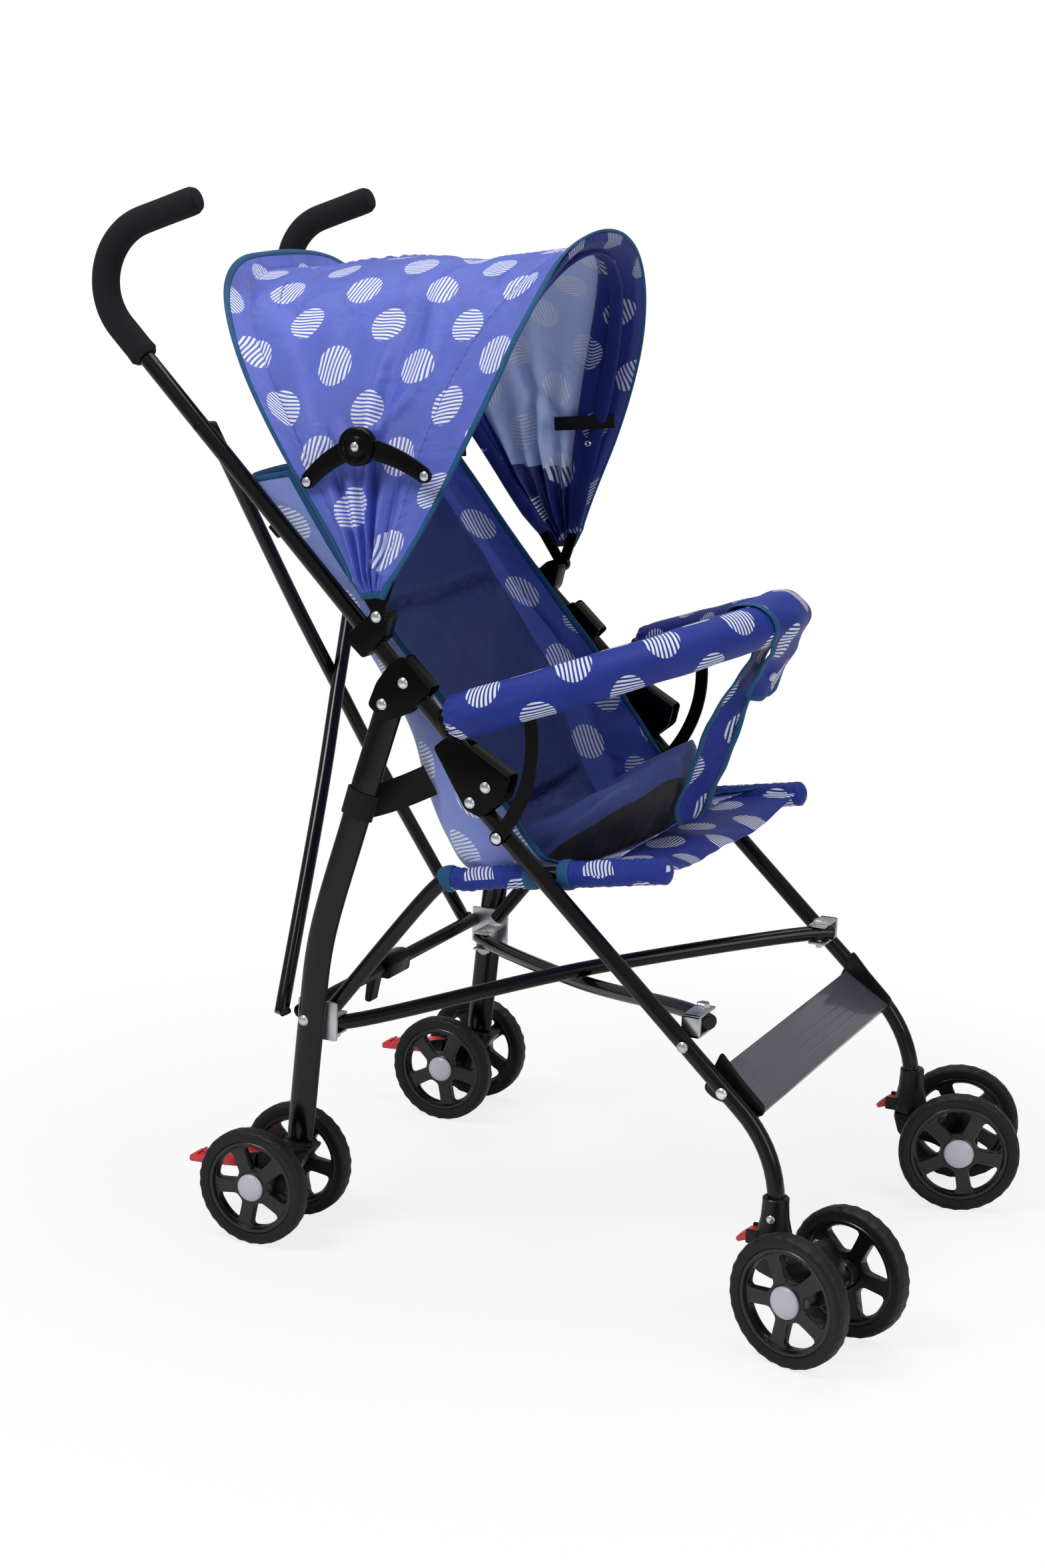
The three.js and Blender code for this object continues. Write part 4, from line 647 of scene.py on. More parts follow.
x, y, z = BASE_CROSS_FRONT
inner, half = HALF_TRACK - TUBE_RADIUS, BASE_CROSS_RADIUS + 0.3
front_lugs = [
    box_shell((x - 9, y - 9, z + half), (x + 9, inner + 2, z + half + SHEET)),
    box_shell((x - 9, y - 9, z - half - SHEET), (x + 9, inner + 2, z - half)),
    box_shell((x - 9, inner - SHEET, z - half - SHEET), (x + 9, inner + 2, z + half + SHEET)),
    straight((x, y, z - half - 7), (x, y, z + half + 4), BOLT_RADIUS),
    bolt_head((x, y, z + half + SHEET), (0, 0, 1)), rivet((x - 1.5, z - 16), TUBE_RADIUS),
]
both_sides("front_cross_bracket", front_lugs, zinc, extra=True)
x, y, z = BASE_CROSS_REAR
inner = HALF_TRACK - REAR_LEG_WIDTH / 2
low, high = z - half - SHEET, z + half + SHEET
rear_lugs = [
    box_shell((x - 26, inner - SHEET, low), (x + 16, inner + 1, high + 18)),
    box_shell((x - 9, y - 9, z + half), (x + 9, inner, high)),
    box_shell((x - 9, y - 9, low), (x + 9, inner, z - half)),
    straight((x, y, low - 6), (x, y, high + 1), BOLT_RADIUS), bolt_head((x, y, low), (0, 0, -1), height=4),
    rivet((30.4, 218.4), REAR_LEG_WIDTH / 2),
]
both_sides("rear_cross_bracket", rear_lugs, zinc, extra=True)

# ------------------------------------------------------------------ seat rails
# A thinner black tube on each side carries the edge of the seat: it rises steeply from the rear leg's
# bracket, bends forward under the seat and ends in a plug past the front edge.
RAIL_RADIUS, RAIL_INSET = 7.5, 18
RAIL_Y = HALF_TRACK - RAIL_INSET
RAIL = ((50, 229), (156, 362), (192, 376), (274, 391), (390, 411))
RAIL_PIVOT = (274, 391)


def tight(points, tension=0.4, steps=14):
    """A smooth line through points whose slope at each is tension times the chord beside it."""
    p = np.asarray(points, float)
    padded = np.vstack([2 * p[0] - p[1], p, 2 * p[-1] - p[-2]])
    m = tension * (padded[2:] - padded[:-2])
    return cubic(p, m, 1.0, steps)


rail = tight(RAIL)
rail_line = np.stack([rail[:, 0], np.full(len(rail), float(RAIL_Y)), rail[:, 1]], -1)
x, z = RAIL_PIVOT
rail_bush = straight((x, RAIL_Y + 5, z), (x, HALF_TRACK - TUBE_RADIUS - 0.3, z), 4.5)
both_sides("seat_rail", [closed_tube(rail_line, RAIL_RADIUS), rail_bush], black_paint)

# ------------------------------------------------------------------ crossed tubes
# Two black tubes cross behind the seat, each from the top of one handle to the other rear leg, flattened
# past each other in the middle; two more cross below the seat between the zinc brackets.
BACK_CROSS_TOP, BACK_CROSS_FOOT, BACK_CROSS_RADIUS = (-101, 778), (1.7, 219), 7
for order, side in ((1, "left"), (-1, "right")):
    gap = order * (BACK_CROSS_RADIUS + 0.25)
    handle_y = HALF_TRACK - (BACK_CROSS_TOP[1] - LEAN_START) * LEAN_SLOPE
    top_y = handle_y - TUBE_RADIUS - 0.3 - BACK_CROSS_RADIUS
    top = np.array((BACK_CROSS_TOP[0], -top_y, BACK_CROSS_TOP[1]))
    foot = np.array((BACK_CROSS_FOOT[0], HALF_TRACK, BACK_CROSS_FOOT[1]))
    across = unit(np.array((foot[0] - top[0], 0, foot[2] - top[2])))
    aside = np.array((across[2], 0, -across[0]))
    middle = (top + foot) / 2 + aside * gap
    near_top = top + 0.7 * (middle - top) + aside * gap * 0.3
    near_foot = foot + 0.7 * (middle - foot) + aside * gap * 0.3
    line = through((top, near_top, middle, near_foot, foot), 12)
    eye = straight(foot, (foot[0] + 8.5, foot[1], foot[2] + 5), 3.5)
    through_pin = straight(top, (top[0], -(handle_y + TUBE_RADIUS + 0.3), top[2]), 4)
    shells = [closed_tube(line, BACK_CROSS_RADIUS), eye, through_pin]
    shells = shells if order > 0 else flipped(shells)
    made(
        f"back_cross_piece_{side}", shells, black_paint, "frame", (f"back_cross_tube_{side}",),
    )
    rear, front = BASE_CROSS_REAR * (1, -1, 1), BASE_CROSS_FRONT
    run = unit((front - rear) * (1, 1, 0))
    middle = (rear + front) / 2 + (0, 0, order * (BASE_CROSS_RADIUS + 0.25))
    line = through((rear - 13 * run, rear + 16 * run, middle, front - 16 * run, front + 14 * run), 12)
    bar = [closed_tube(line, BASE_CROSS_RADIUS)]
    bar = bar if order > 0 else flipped(bar)
    made(f"base_cross_piece_{side}", bar, black_paint, "frame", (f"base_cross_tube_{side}",))

# ------------------------------------------------------------------ rear crossbar
# A black tube between the rear legs with a hinged lock in its middle: a moulded housing and a small
# pedal that hangs from two ears and is pushed up to unlock the frame.
CROSSBAR = (17, 221)
CROSSBAR_RADIUS = 7
LOCK_HALF, LOCK_SLOT, LOCK_EAR = 22, 8, 4
LOCK_HOUSING = ((-11, -10), (10, -11), (12, 6), (4, 13), (-9, 10))
LOCK_EARS = ((-8, -8), (-22, -7), (-22, 5), (-8, 8))
LOCK_PEDAL = ((4, 6), (5, -8), (1, -24), (-3, -44), (-10, -43), (-8, -22), (-5, 4))
black_plastic = finish(
    "black_plastic", (4, 4, 5), 0.26, grain=1100.0, depth=0.00005, worn=(7, 7, 8), Specular_IOR_Level=0.13
)
end = HALF_TRACK - REAR_LEG_WIDTH / 2 - SHEET - 0.3
x, z = CROSSBAR
bar = [
    straight((x, -end, z), (x, end, z), CROSSBAR_RADIUS, 28),
    slab(np.add(LOCK_HOUSING, CROSSBAR), -LOCK_HALF, LOCK_HALF, 4, 1.2, lean=False),
]
for low in (-LOCK_SLOT - LOCK_EAR, LOCK_SLOT + 0.3):
    bar.append(slab(np.add(LOCK_EARS, CROSSBAR), low, low + LOCK_EAR - 0.3, 2, 0.6, lean=False))
made("crossbar_piece", bar, black_plastic, "frame", ("rear_crossbar",))
pivot = (x - 16.5, z)
pedal = [
    slab(np.add(LOCK_PEDAL, pivot), -LOCK_SLOT, LOCK_SLOT, 3, 1.0, lean=False),
    straight((pivot[0], -LOCK_SLOT - 1.7, z), (pivot[0], LOCK_SLOT + 1.7, z), 2),
]
made(
    "crossbar_pedal_piece", pedal, black_plastic, "crossbar_pedal", ("crossbar_lock_pedal",),
)

# ------------------------------------------------------------------ rear housings and brakes
# A moulded black housing closes the foot of each rear leg: a collar round the tube, a body over the axle
# and a boss between the wheels. A red pedal with a ribbed tongue hinges behind it.
REAR_RADIUS, REAR_SPACING, REAR_Y = 57.6, 43.6, HALF_TRACK + 4
HOUSING_TOP, HOUSING_WIDTH, AXLE_BOSS = 93, 27, 11
HOUSING_CORE = (
    (-20, 52), (-17, 40), (17, 40), (22, 62), (43, HOUSING_TOP - 4), (43, HOUSING_TOP), (5, HOUSING_TOP),
    (5, HOUSING_TOP - 5), (-6, 82), (-17, 79),
)
HOUSING_CHEEK = ((-12, 80), (-34, 74), (-36, 58), (-20, 52), (-12, 44))
HOUSING_PANEL = ((-13, 45), (13, 45), (17, 62), (28, 80), (-2, 76), (-14, 62))
COLLAR_X, COLLAR_RADIUS, COLLAR_HEIGHT = 24.5, 18, 7
HUB_BOSS_LENGTH, AXLE_RADIUS, AXLE_SEAT = 26, 4, 6
PEDAL_WIDTH, PEDAL_PIVOT = 22, (-27, 66)
PEDAL = ((6, 5), (7, -4), (-6, -6), (-34, -9), (-66, -11), (-66, -4), (-34, 1), (-8, 7))
housing_plastic = finish(
    "housing_plastic", (10, 10, 12), 0.34, grain=1300.0, depth=0.00008, worn=(15, 15, 17),
    Specular_IOR_Level=0.3
)
red_plastic = finish(
    "red_plastic", (214, 30, 42), 0.33, grain=800.0, depth=0.00005, worn=(228, 52, 60), Coat_Weight=0.2
)


def barrel(radius, half, cut=1.0, drop=1.0):
    """The profile of a short bar from -half to half along its axis, its edges chamfered by cut and drop."""
    side = [(0, half), (radius - cut, half), (radius, half - drop)]
    return [(r, -along) for r, along in side] + side[::-1]


def capsule(centre, half_x, half_y, low, high, bevel=1.5, count=48):
    """A short upright block with a rounded plan, its edges rounded by bevel."""
    turn = np.linspace(0, 2 * np.pi, count + 1)
    wave_x, wave_y = np.cos(turn), np.sin(turn)
    plan_x, plan_y = (np.sign(wave) * np.abs(wave) ** (2 / 2.6) for wave in (wave_x, wave_y))
    rows = (
        (0, low), (1 - bevel / half_y, low), (1, low + bevel), (1, high - bevel),
        (1 - 0.3 * bevel / half_y, high - 0.3 * bevel), (1 - bevel / half_y, high), (0, high),
    )
    grid = np.array([
        np.stack([centre[0] + s * half_x * plan_x, centre[1] + s * half_y * plan_y, z + 0 * turn], -1)
        for s, z in rows
    ])
    return shell(grid, ends=False)


half = HOUSING_WIDTH / 2
body_low, body_high = REAR_Y - HALF_TRACK - half, REAR_Y - HALF_TRACK + half
reach = REAR_SPACING - HUB_BOSS_LENGTH / 2 - 0.3
axle_reach = REAR_SPACING + HUB_BOSS_LENGTH / 2 - AXLE_SEAT
pedal_half = PEDAL_WIDTH / 2
cheek_spans = ((body_low, -pedal_half + 3.7), (pedal_half + 4.3, body_high))
housing = [
    slab(HOUSING_CORE, body_low, body_high, 6, 1.6),
    *[slab(HOUSING_CHEEK, low, high, 6, 0.8) for low, high in cheek_spans],
    capsule(
        (COLLAR_X, HALF_TRACK), COLLAR_RADIUS - 1.5, COLLAR_RADIUS - 4, HOUSING_TOP + 1 - COLLAR_HEIGHT,
        HOUSING_TOP + 1
    ),
    turned(barrel(AXLE_BOSS, reach), (0, REAR_Y, REAR_RADIUS), AXIS_Y, 36),
    straight((0, REAR_Y - axle_reach, REAR_RADIUS), (0, REAR_Y + axle_reach, REAR_RADIUS), AXLE_RADIUS),
]
housing += [slab(HOUSING_PANEL, low, low + 1.4, 6, 0.5) for low in (body_low - 0.2, body_high - 1.2)]
both_sides("rear_housing", housing, housing_plastic)

x, z = PEDAL_PIVOT
out = REAR_Y - HALF_TRACK
tongue = [
    slab(np.add(PEDAL, PEDAL_PIVOT), out - pedal_half, out + pedal_half, 3, 1.1),
    straight((x, REAR_Y - pedal_half - 1.4, z), (x, REAR_Y + pedal_half + 1.4, z), 2),
]
for run in (40, 46, 52, 58):
    ridge = np.add(
        ((-run - 1.6, -2.6), (-run + 1.6, -1.9), (-run + 1.2, -0.6), (-run - 1.2, -1.2)), PEDAL_PIVOT
    )
    tongue.append(slab(ridge, out - pedal_half + 2, out + pedal_half - 2, 0.6, 0.3, steps=3))
both_sides("brake_pedal", tongue, red_plastic, crease=30)

# ------------------------------------------------------------------ wheels
# Each wheel has a moulded black hub with five wide spokes, a lip round the rim and a domed grey cap on the
# side away from its twin, and a black foam-rubber tyre whose shoulders carry a wave of shallow nicks.
FRONT_RADIUS, FRONT_SPACING = 61, 47
WHEEL_WIDTH, TYRE_DEPTH, RIM_DEPTH, WEB_DEPTH = 17.5, 11.5, 4, 8
SPOKES, SPOKE_WIDTH = 5, 13.5
REAR_CAP, FRONT_CAP, CAP_HEIGHT, HUB_BOSS = 14.5, 16, 5, 12
CASTOR_TRAIL, CASTOR_TOE = 52, math.radians(16)
CASTOR_Y = HALF_TRACK + SPLAY
rubber = finish(
    "tyre_rubber", (14, 14, 16), 0.5, grain=1700.0, depth=0.00015, patches=0.12, worn=(20, 20, 23),
    Specular_IOR_Level=0.3
)
hub_plastic = finish("hub_plastic", (10, 10, 12), 0.3, grain=1000.0, depth=0.00006, worn=(16, 16, 18))
cap_plastic = finish("cap_plastic", (192, 190, 204), 0.3, grain=700.0, depth=0.00004, worn=(200, 198, 210))


def tyre(radius):
    """A tyre section (r, y) turned round the axle; on the shoulders each place moves in by 0.7 d and to the
    middle by 0.8 d, where d = 0.5 + 0.5 tanh(3 sin(30 a + 1.5 sign(y))), which leaves a wave of nicks."""
    half, inner = WHEEL_WIDTH / 2, radius - TYRE_DEPTH
    turn = np.linspace(0, np.pi / 2, 8)
    shoulder = np.stack([radius - 4.6 + 4.6 * np.sin(turn), half - 4.6 + 4.6 * np.cos(turn)], -1)
    side = [(inner, half - 1.5), (inner + 1.2, half - 0.9), (inner + 4.5, half - 0.2), (radius - 5.4, half)]
    upper = np.vstack([side, shoulder, [(radius, 2.0)]])
    section = np.vstack([upper, upper[::-1] * (1, -1), upper[:1]])
    angle = np.linspace(0, 2 * np.pi, 241)[None]
    r, y = section[:, :1], section[:, 1:]
    on_shoulder = np.exp(-((np.abs(y) - 6.1) / 1.5) ** 2) * (r > radius - 4.2)
    wave = 0.5 + 0.5 * np.tanh(3 * np.sin(30 * angle + 1.5 * np.sign(y)))
    depth = on_shoulder * wave
    r, y = r - depth * 0.7, y - np.sign(y) * depth * 0.8
    return np.stack([r * np.cos(angle), np.broadcast_to(y, (len(section), 241)), r * np.sin(angle)], -1)


def window(inner, outer, count=40):
    """A rounded wedge between two spokes, as angles and radii about its own middle."""
    half = math.pi / SPOKES
    wide = half - math.asin(SPOKE_WIDTH / 2 / outer) - 0.02
    narrow = half - math.asin(SPOKE_WIDTH / 2 / inner)
    corners = [(inner, narrow), (inner - 1, 0), (inner, -narrow), (outer, -wide), (outer * 1.01, -wide / 2)]
    corners += [(outer * 1.02, 0), (outer * 1.01, wide / 2), (outer, wide)]
    shape = rounded([(r * math.cos(a), r * math.sin(a)) for r, a in corners], 4.5, 6)
    shape = even(np.vstack([shape, shape[:1]]), 0.4)
    angle = np.arctan2(shape[:, 1], shape[:, 0] - (inner + outer) / 2 * 0.98)
    order = np.argsort(angle[:-1])
    turn = np.linspace(-math.pi, math.pi, count + 1)
    wrapped = np.r_[angle[order] - 2 * np.pi, angle[order], angle[order] + 2 * np.pi]
    return np.stack([np.interp(turn, wrapped, np.tile(shape[:-1][order][:, k], 3)) for k in (0, 1)], -1)


def web(inner, outer, hub_edge, rim_edge):
    """The spoked plate: for each spoke's share of the circle, a ring of faces from the share's own border
    in to the window, over its rounded edge and back on the other side; thicker towards the hub."""
    hole = window(inner, outer)
    centre = np.array(((inner + outer) / 2 * 0.98, 0))
    ray = unit(hole - centre)
    half = math.pi / SPOKES
    far_away = []
    for direction in ray:
        reach = np.linspace(0, 60, 1200)[:, None] * direction + centre
        radius, angle = np.linalg.norm(reach, axis=1), np.abs(np.arctan2(reach[:, 1], reach[:, 0]))
        inside = (radius < rim_edge) & (radius > hub_edge) & (angle < half)
        far_away.append(reach[np.argmin(inside) - 1 if not inside.all() else -1])
    border = np.array(far_away)
    share = np.array((0, 0.35, 0.7, 0.93, 1.0, 1.0, 0.93, 0.7, 0.35, 0))[:, None, None]
    drop = np.array((0, 0, 0, 0.1, 0.9, 0.9, 0.1, 0, 0, 0))[:, None]
    side = np.array((1, 1, 1, 1, 1, -1, -1, -1, -1, -1))[:, None]
    flat = border + share * (hole - border)
    radius = np.linalg.norm(flat, axis=-1)
    height = side * (
        WEB_DEPTH / 2 + 1.6 * (1 - (radius - hub_edge) / (rim_edge - hub_edge)).clip(0, 1) ** 2 - drop
    )
    shells = []
    for k in range(SPOKES):
        a = 2 * math.pi * k / SPOKES + 0.12
        x = flat[..., 0] * math.cos(a) - flat[..., 1] * math.sin(a)
        z = flat[..., 0] * math.sin(a) + flat[..., 1] * math.cos(a)
        grid = np.stack([x, height, z], -1)
        shells.append(shell(np.concatenate([grid, grid[:1]], 0), ends=False))
    return shells


def wheel_parts(radius, cap):
    """The shells of one wheel round the origin, its outer side towards +Y: tyre, hub and cap."""
    rim_outer = radius - TYRE_DEPTH - 0.3
    rim_inner = rim_outer - RIM_DEPTH
    half = WHEEL_WIDTH / 2 - 1.5
    rim = [
        (rim_inner - 1.2, -4), (rim_inner + 0.4, -half), (rim_outer - 0.8, -half - 0.3),
        (rim_outer, -half + 0.4),
    ]
    rim = rim + [(r, -along) for r, along in rim[::-1]] + rim[:1]
    back = -HUB_BOSS_LENGTH / 2
    boss = (
        (0, back), (HUB_BOSS - 1, back), (HUB_BOSS, back + 1), (cap - 1.5, 0), (cap + 0.6, 4),
        (cap + 0.6, half - 1.6), (cap - 0.4, half - 0.9), (0, half - 0.9),
    )
    turn = np.linspace(0, np.pi / 2, 9)
    dome = np.stack([(cap - 1) * np.cos(turn), half - 0.2 + (CAP_HEIGHT - 0.1) * np.sin(turn) ** 1.1], -1)
    dome[-1, 0] = 0
    dome = np.vstack([[(0, half - 2), (cap - 1, half - 2)], dome])
    origin, axis = (0, 0, 0), AXIS_Y
    hub = [turned(rim, origin, axis, 96), turned(boss, origin, axis, 48)]
    hub += web(cap + 4, rim_inner - 2.2, cap - 2, rim_inner + 1.5)
    grid = tyre(radius)
    return [shell(grid, ends=False)], hub, [turned(dome, origin, axis, 40)]


def placed(shells, centre, angle):
    """Shells turned about Z by an angle and moved to a centre."""
    turn = np.array(
        ((math.cos(angle), -math.sin(angle), 0), (math.sin(angle), math.cos(angle), 0), (0, 0, 1))
    )
    return [(points @ turn.T + centre, faces, uv) for points, faces, uv in shells]


trail_x, trail_y = CASTOR_TRAIL * math.cos(CASTOR_TOE), CASTOR_TRAIL * math.sin(CASTOR_TOE)
for end, radius, cap, place, spacing, toe in (
    ("rear", REAR_RADIUS, REAR_CAP, (0.0, REAR_Y), REAR_SPACING, 0),
    (
        "front", FRONT_RADIUS, FRONT_CAP, (FRONT_LEG_X + trail_x, CASTOR_Y + trail_y), FRONT_SPACING,
        CASTOR_TOE
    ),
):
    parts = wheel_parts(radius, cap)
    axle = np.array((-math.sin(toe), math.cos(toe), 0))
    for which, sign in (("outer", 1), ("inner", -1)):
        centre = np.array((*place, radius)) + sign * spacing * axle
        turn = toe + (0 if sign > 0 else math.pi)
        for side, mirror in SIDES:
            body = body_of_node[f"{end}_hub_{which}_{side}"]
            for kind, shells, material, slot in zip(
                ("tyre", "hub", "cap"), parts, (rubber, hub_plastic, cap_plastic),
                ("tyre_black", "black_plastic", None)
            ):
                there = placed(shells, centre, turn)
                there = there if mirror > 0 else flipped(there)
                stands = (f"{end}_{kind}_{which}_{side}",) if kind != "cap" else ()
                made(f"{end}_{kind}_piece_{which}_{side}", there, material, body, stands, crease=32)

# ------------------------------------------------------------------ castors
# Each front leg stands in a flared black socket. A moulded fork turns below it on a steel stem, trails to
# the front axle and ends in a rounded hump; a small red latch at the back of the socket stops its turning.
SOCKET_BOTTOM, SOCKET_TOP, FLARE_RADIUS, NECK_RADIUS = 86, 131, 17.5, 12
STEM_RADIUS, STEM_TOP, FORK_WIDTH, FORK_BOSS = 6, 98, 30, 9.2
LOCK_PIVOT, LOCK_WIDTH = (FRONT_LEG_X - 18.5, 93), 15
LOCK = ((4.5, 3), (4.5, -4), (-4, -5), (-14, -9), (-16, -5), (-5, 4))
FORK = (
    (-17, 0), (17, 0), (21, -5.5), (37, -5.5), (40, 11), (47, 17.5), (58, 14), (69, -2), (72, -30),
    (60, -40), (44, -40), (26, -30), (-10, -24),
)
socket_profile = (
    (0, SOCKET_BOTTOM), (FLARE_RADIUS - 0.8, SOCKET_BOTTOM), (FLARE_RADIUS, SOCKET_BOTTOM + 0.8),
    (FLARE_RADIUS, SOCKET_BOTTOM + 6), (FLARE_RADIUS - 0.8, SOCKET_BOTTOM + 9),
    (NECK_RADIUS + 2.2, SOCKET_BOTTOM + 20), (NECK_RADIUS + 1, SOCKET_BOTTOM + 26),
    (NECK_RADIUS + 0.2, SOCKET_TOP - 6), (NECK_RADIUS + 0.2, SOCKET_TOP - 1),
    (NECK_RADIUS - 0.8, SOCKET_TOP), (0, SOCKET_TOP),
)
x, z = LOCK_PIVOT
ear = LOCK_WIDTH / 2 + 0.3
socket = [turned(socket_profile, (FRONT_LEG_X, CASTOR_Y, 0), (0, 0, 1), 48)]
for low in (CASTOR_Y - ear - 3, CASTOR_Y + ear):
    socket.append(
        box_shell(
            (x - 5, low, SOCKET_BOTTOM), (FRONT_LEG_X - NECK_RADIUS + 4, low + 3, SOCKET_BOTTOM + 13), 0.5
        )
    )
both_sides("castor_socket", socket, housing_plastic)
screw_at = (FRONT_LEG_X, CASTOR_Y + NECK_RADIUS, FOOT_Z + 8)
SCREW_HEAD = ((0, -3), (4, -3), (4, 0.6), (3.2, 1.5), (1.6, 1.95), (0, 2))
both_sides("socket_screw", [turned(SCREW_HEAD, screw_at, AXIS_Y, 24)], bright_zinc, extra=True)
out = CASTOR_Y - HALF_TRACK
latch = [
    slab(np.add(LOCK, LOCK_PIVOT), out - LOCK_WIDTH / 2, out + LOCK_WIDTH / 2, 2, 0.8),
    straight((x, CASTOR_Y - LOCK_WIDTH / 2 - 1.4, z), (x, CASTOR_Y + LOCK_WIDTH / 2 + 1.4, z), 2),
]
both_sides("swivel_lock", latch, red_plastic)
half = FORK_WIDTH / 2
top = SOCKET_BOTTOM - 0.3
reach = FRONT_SPACING - HUB_BOSS_LENGTH / 2 - 0.3
fork = [
    slab(np.add(FORK, (0, top)), -half, half, 6, 2.6, lean=False, steps=8),
    straight((0, 0, top - 10), (0, 0, STEM_TOP), STEM_RADIUS),
    turned(barrel(AXLE_BOSS, reach), (CASTOR_TRAIL, 0, FRONT_RADIUS), AXIS_Y, 36),
    turned(barrel(FORK_BOSS, half + 0.6, 0.8, 0.6), (50, 0, top + 2), AXIS_Y, 36),
]
axle_reach = FRONT_SPACING + HUB_BOSS_LENGTH / 2 - AXLE_SEAT
axle_rod = [
    straight(
        (CASTOR_TRAIL, -axle_reach, FRONT_RADIUS), (CASTOR_TRAIL, axle_reach, FRONT_RADIUS), AXLE_RADIUS
    )
]
swivel_at = np.array((FRONT_LEG_X, CASTOR_Y, 0))
both_sides("castor_fork", placed(fork, swivel_at, CASTOR_TOE), housing_plastic)
both_sides("castor_axle", placed(axle_rod, swivel_at, CASTOR_TOE), bright_zinc)

# ------------------------------------------------------------------ footrest
# A glossy smoke-coloured plastic board between the front legs, with three low ribs along it, its long edges
# turned down, and a black pointed cheek standing up at each end with a screw through it into the leg.
LEG_RUN = (FRONT_LEG_X - FRONT_LEG_TOP[0]) / (FRONT_LEG_TOP[1] - KNEE_Z)
# The board's rear edge, its front edge and the screw: each has a height and how far ahead of the leg it is.
FOOTREST_REAR, FOOTREST_FRONT, FOOTREST_SCREW = (
    (FRONT_LEG_TOP[0] + LEG_RUN * (FRONT_LEG_TOP[1] - z) + ahead_by, z)
    for z, ahead_by in ((228, -2.9), (201, 10.8), (219, -0.7))
)
CHEEK = ((-9, 33), (-25, -5), (-15, -13), (33, -23), (36, -13), (9, 13))
BOARD_THICKNESS, BOARD_LIP, RIB_PLACES, RIB_WIDTH, RIB_HEIGHT = 3, 8, (0.40, 0.57, 0.74), 1.8, 0.7
BOARD_HALF = HALF_TRACK - TUBE_RADIUS - 3
smoke = finish(
    "smoke_plastic", (84, 81, 93), 0.24, grain=200.0, depth=0.00001, patches=0.12, worn=(92, 89, 102),
    IOR=1.49, Coat_Weight=0.4
)
rear, front = np.array(FOOTREST_REAR), np.array(FOOTREST_FRONT)
board_length = np.linalg.norm(front - rear)
run = (front - rear) / board_length
rise = np.array((-run[1], run[0]))
step = np.linspace(0, 1, 7)
ribs = [
    np.stack([board_length * at + RIB_WIDTH * (step - 0.5), RIB_HEIGHT * np.sin(np.pi * step)], -1)
    for at in RIB_PLACES
]
profile = np.vstack([
    [(-3.4, -0.6), (-2.4, 0)], *ribs,
    [(board_length, 0), (board_length + 1, -0.8), (board_length + 1.2, -BOARD_LIP)],
    [
        (board_length - 1.2, -BOARD_LIP), (board_length - 2, -BOARD_THICKNESS), (0, -BOARD_THICKNESS),
        (-1.8, -BOARD_LIP), (-4, -BOARD_LIP)
    ],
])
section = rear + profile[:, :1] * run + profile[:, 1:] * rise
board = [slab(section, -BOARD_HALF, BOARD_HALF, 0, 0.3, lean=False)]
screw_reach = HALF_TRACK - TUBE_RADIUS - 0.3
for sign in (-1, 1):
    low = BOARD_HALF - SHEET if sign > 0 else -BOARD_HALF
    board.append(slab(np.add(CHEEK, FOOTREST_SCREW), low, low + SHEET, 5, 0.7, lean=False))
    near, far_end = sorted((sign * (BOARD_HALF - 1), sign * screw_reach))
    board.append(
        straight(
            (FOOTREST_SCREW[0], near, FOOTREST_SCREW[1]), (FOOTREST_SCREW[0], far_end, FOOTREST_SCREW[1]), 5
        )
    )
made("footrest_piece", board[:1], smoke, "frame", ("footrest",))
made("footrest_cheeks", board[1:], housing_plastic, "frame")
both_sides("footrest_rivet", [rivet(FOOTREST_SCREW, TUBE_RADIUS)], bright_zinc, extra=True)

# ------------------------------------------------------------------ bumper bar
# A black plastic bar bent round the child's front, flatter than a circle, and held by a springy strap on
# each side that is riveted to the front leg. Its padded cover is sewn from printed satin.
BUMPER_END = (182, 533)
BUMPER_REACH, BUMPER_RISE, BUMPER_HALF, BUMPER_POWER = 234, 84, HALF_TRACK + 27, 1.9
BUMPER_TUBE, BUMPER_COVER, COVER_FROM = 11, 21.5, 0.012
STAY_RIVET, STAY_WIDTH, STAY_TOP_X, STAY_BOW, STAY_THICKNESS = (232, 426), 13, 257, 24, 3.2


def bumper_line(turn):
    """The bar's middle line: x = end + reach |sin t|^(2/p), y = -half sign(cos t) |cos t|^(2/p)."""
    reach = np.abs(np.sin(turn)) ** (2 / BUMPER_POWER)
    side = -np.sign(np.cos(turn)) * np.abs(np.cos(turn)) ** (2 / BUMPER_POWER)
    return np.stack(
        [BUMPER_END[0] + BUMPER_REACH * reach, BUMPER_HALF * side, BUMPER_END[1] + BUMPER_RISE * reach], -1
    )


UP = np.array((0.0, 0.0, 1.0))
bar = even(bumper_line(np.linspace(0, np.pi, 400)), 6)
parts = [closed_tube(bar, BUMPER_TUBE, UP, 32, 2.0)]
top_z = BUMPER_END[1] + BUMPER_RISE * (STAY_TOP_X - BUMPER_END[0]) / BUMPER_REACH
stay_y = HALF_TRACK + TUBE_RADIUS + 0.3 + STAY_THICKNESS / 2
top, foot = np.array((STAY_TOP_X, stay_y, top_z)), np.array((STAY_RIVET[0], stay_y, STAY_RIVET[1]))
bow = np.array((STAY_TOP_X + STAY_BOW, stay_y, (top_z + STAY_RIVET[1]) / 2 - 6))
t = np.linspace(0, 1, 25)[:, None]
stay = curve(top, bow, foot, t)


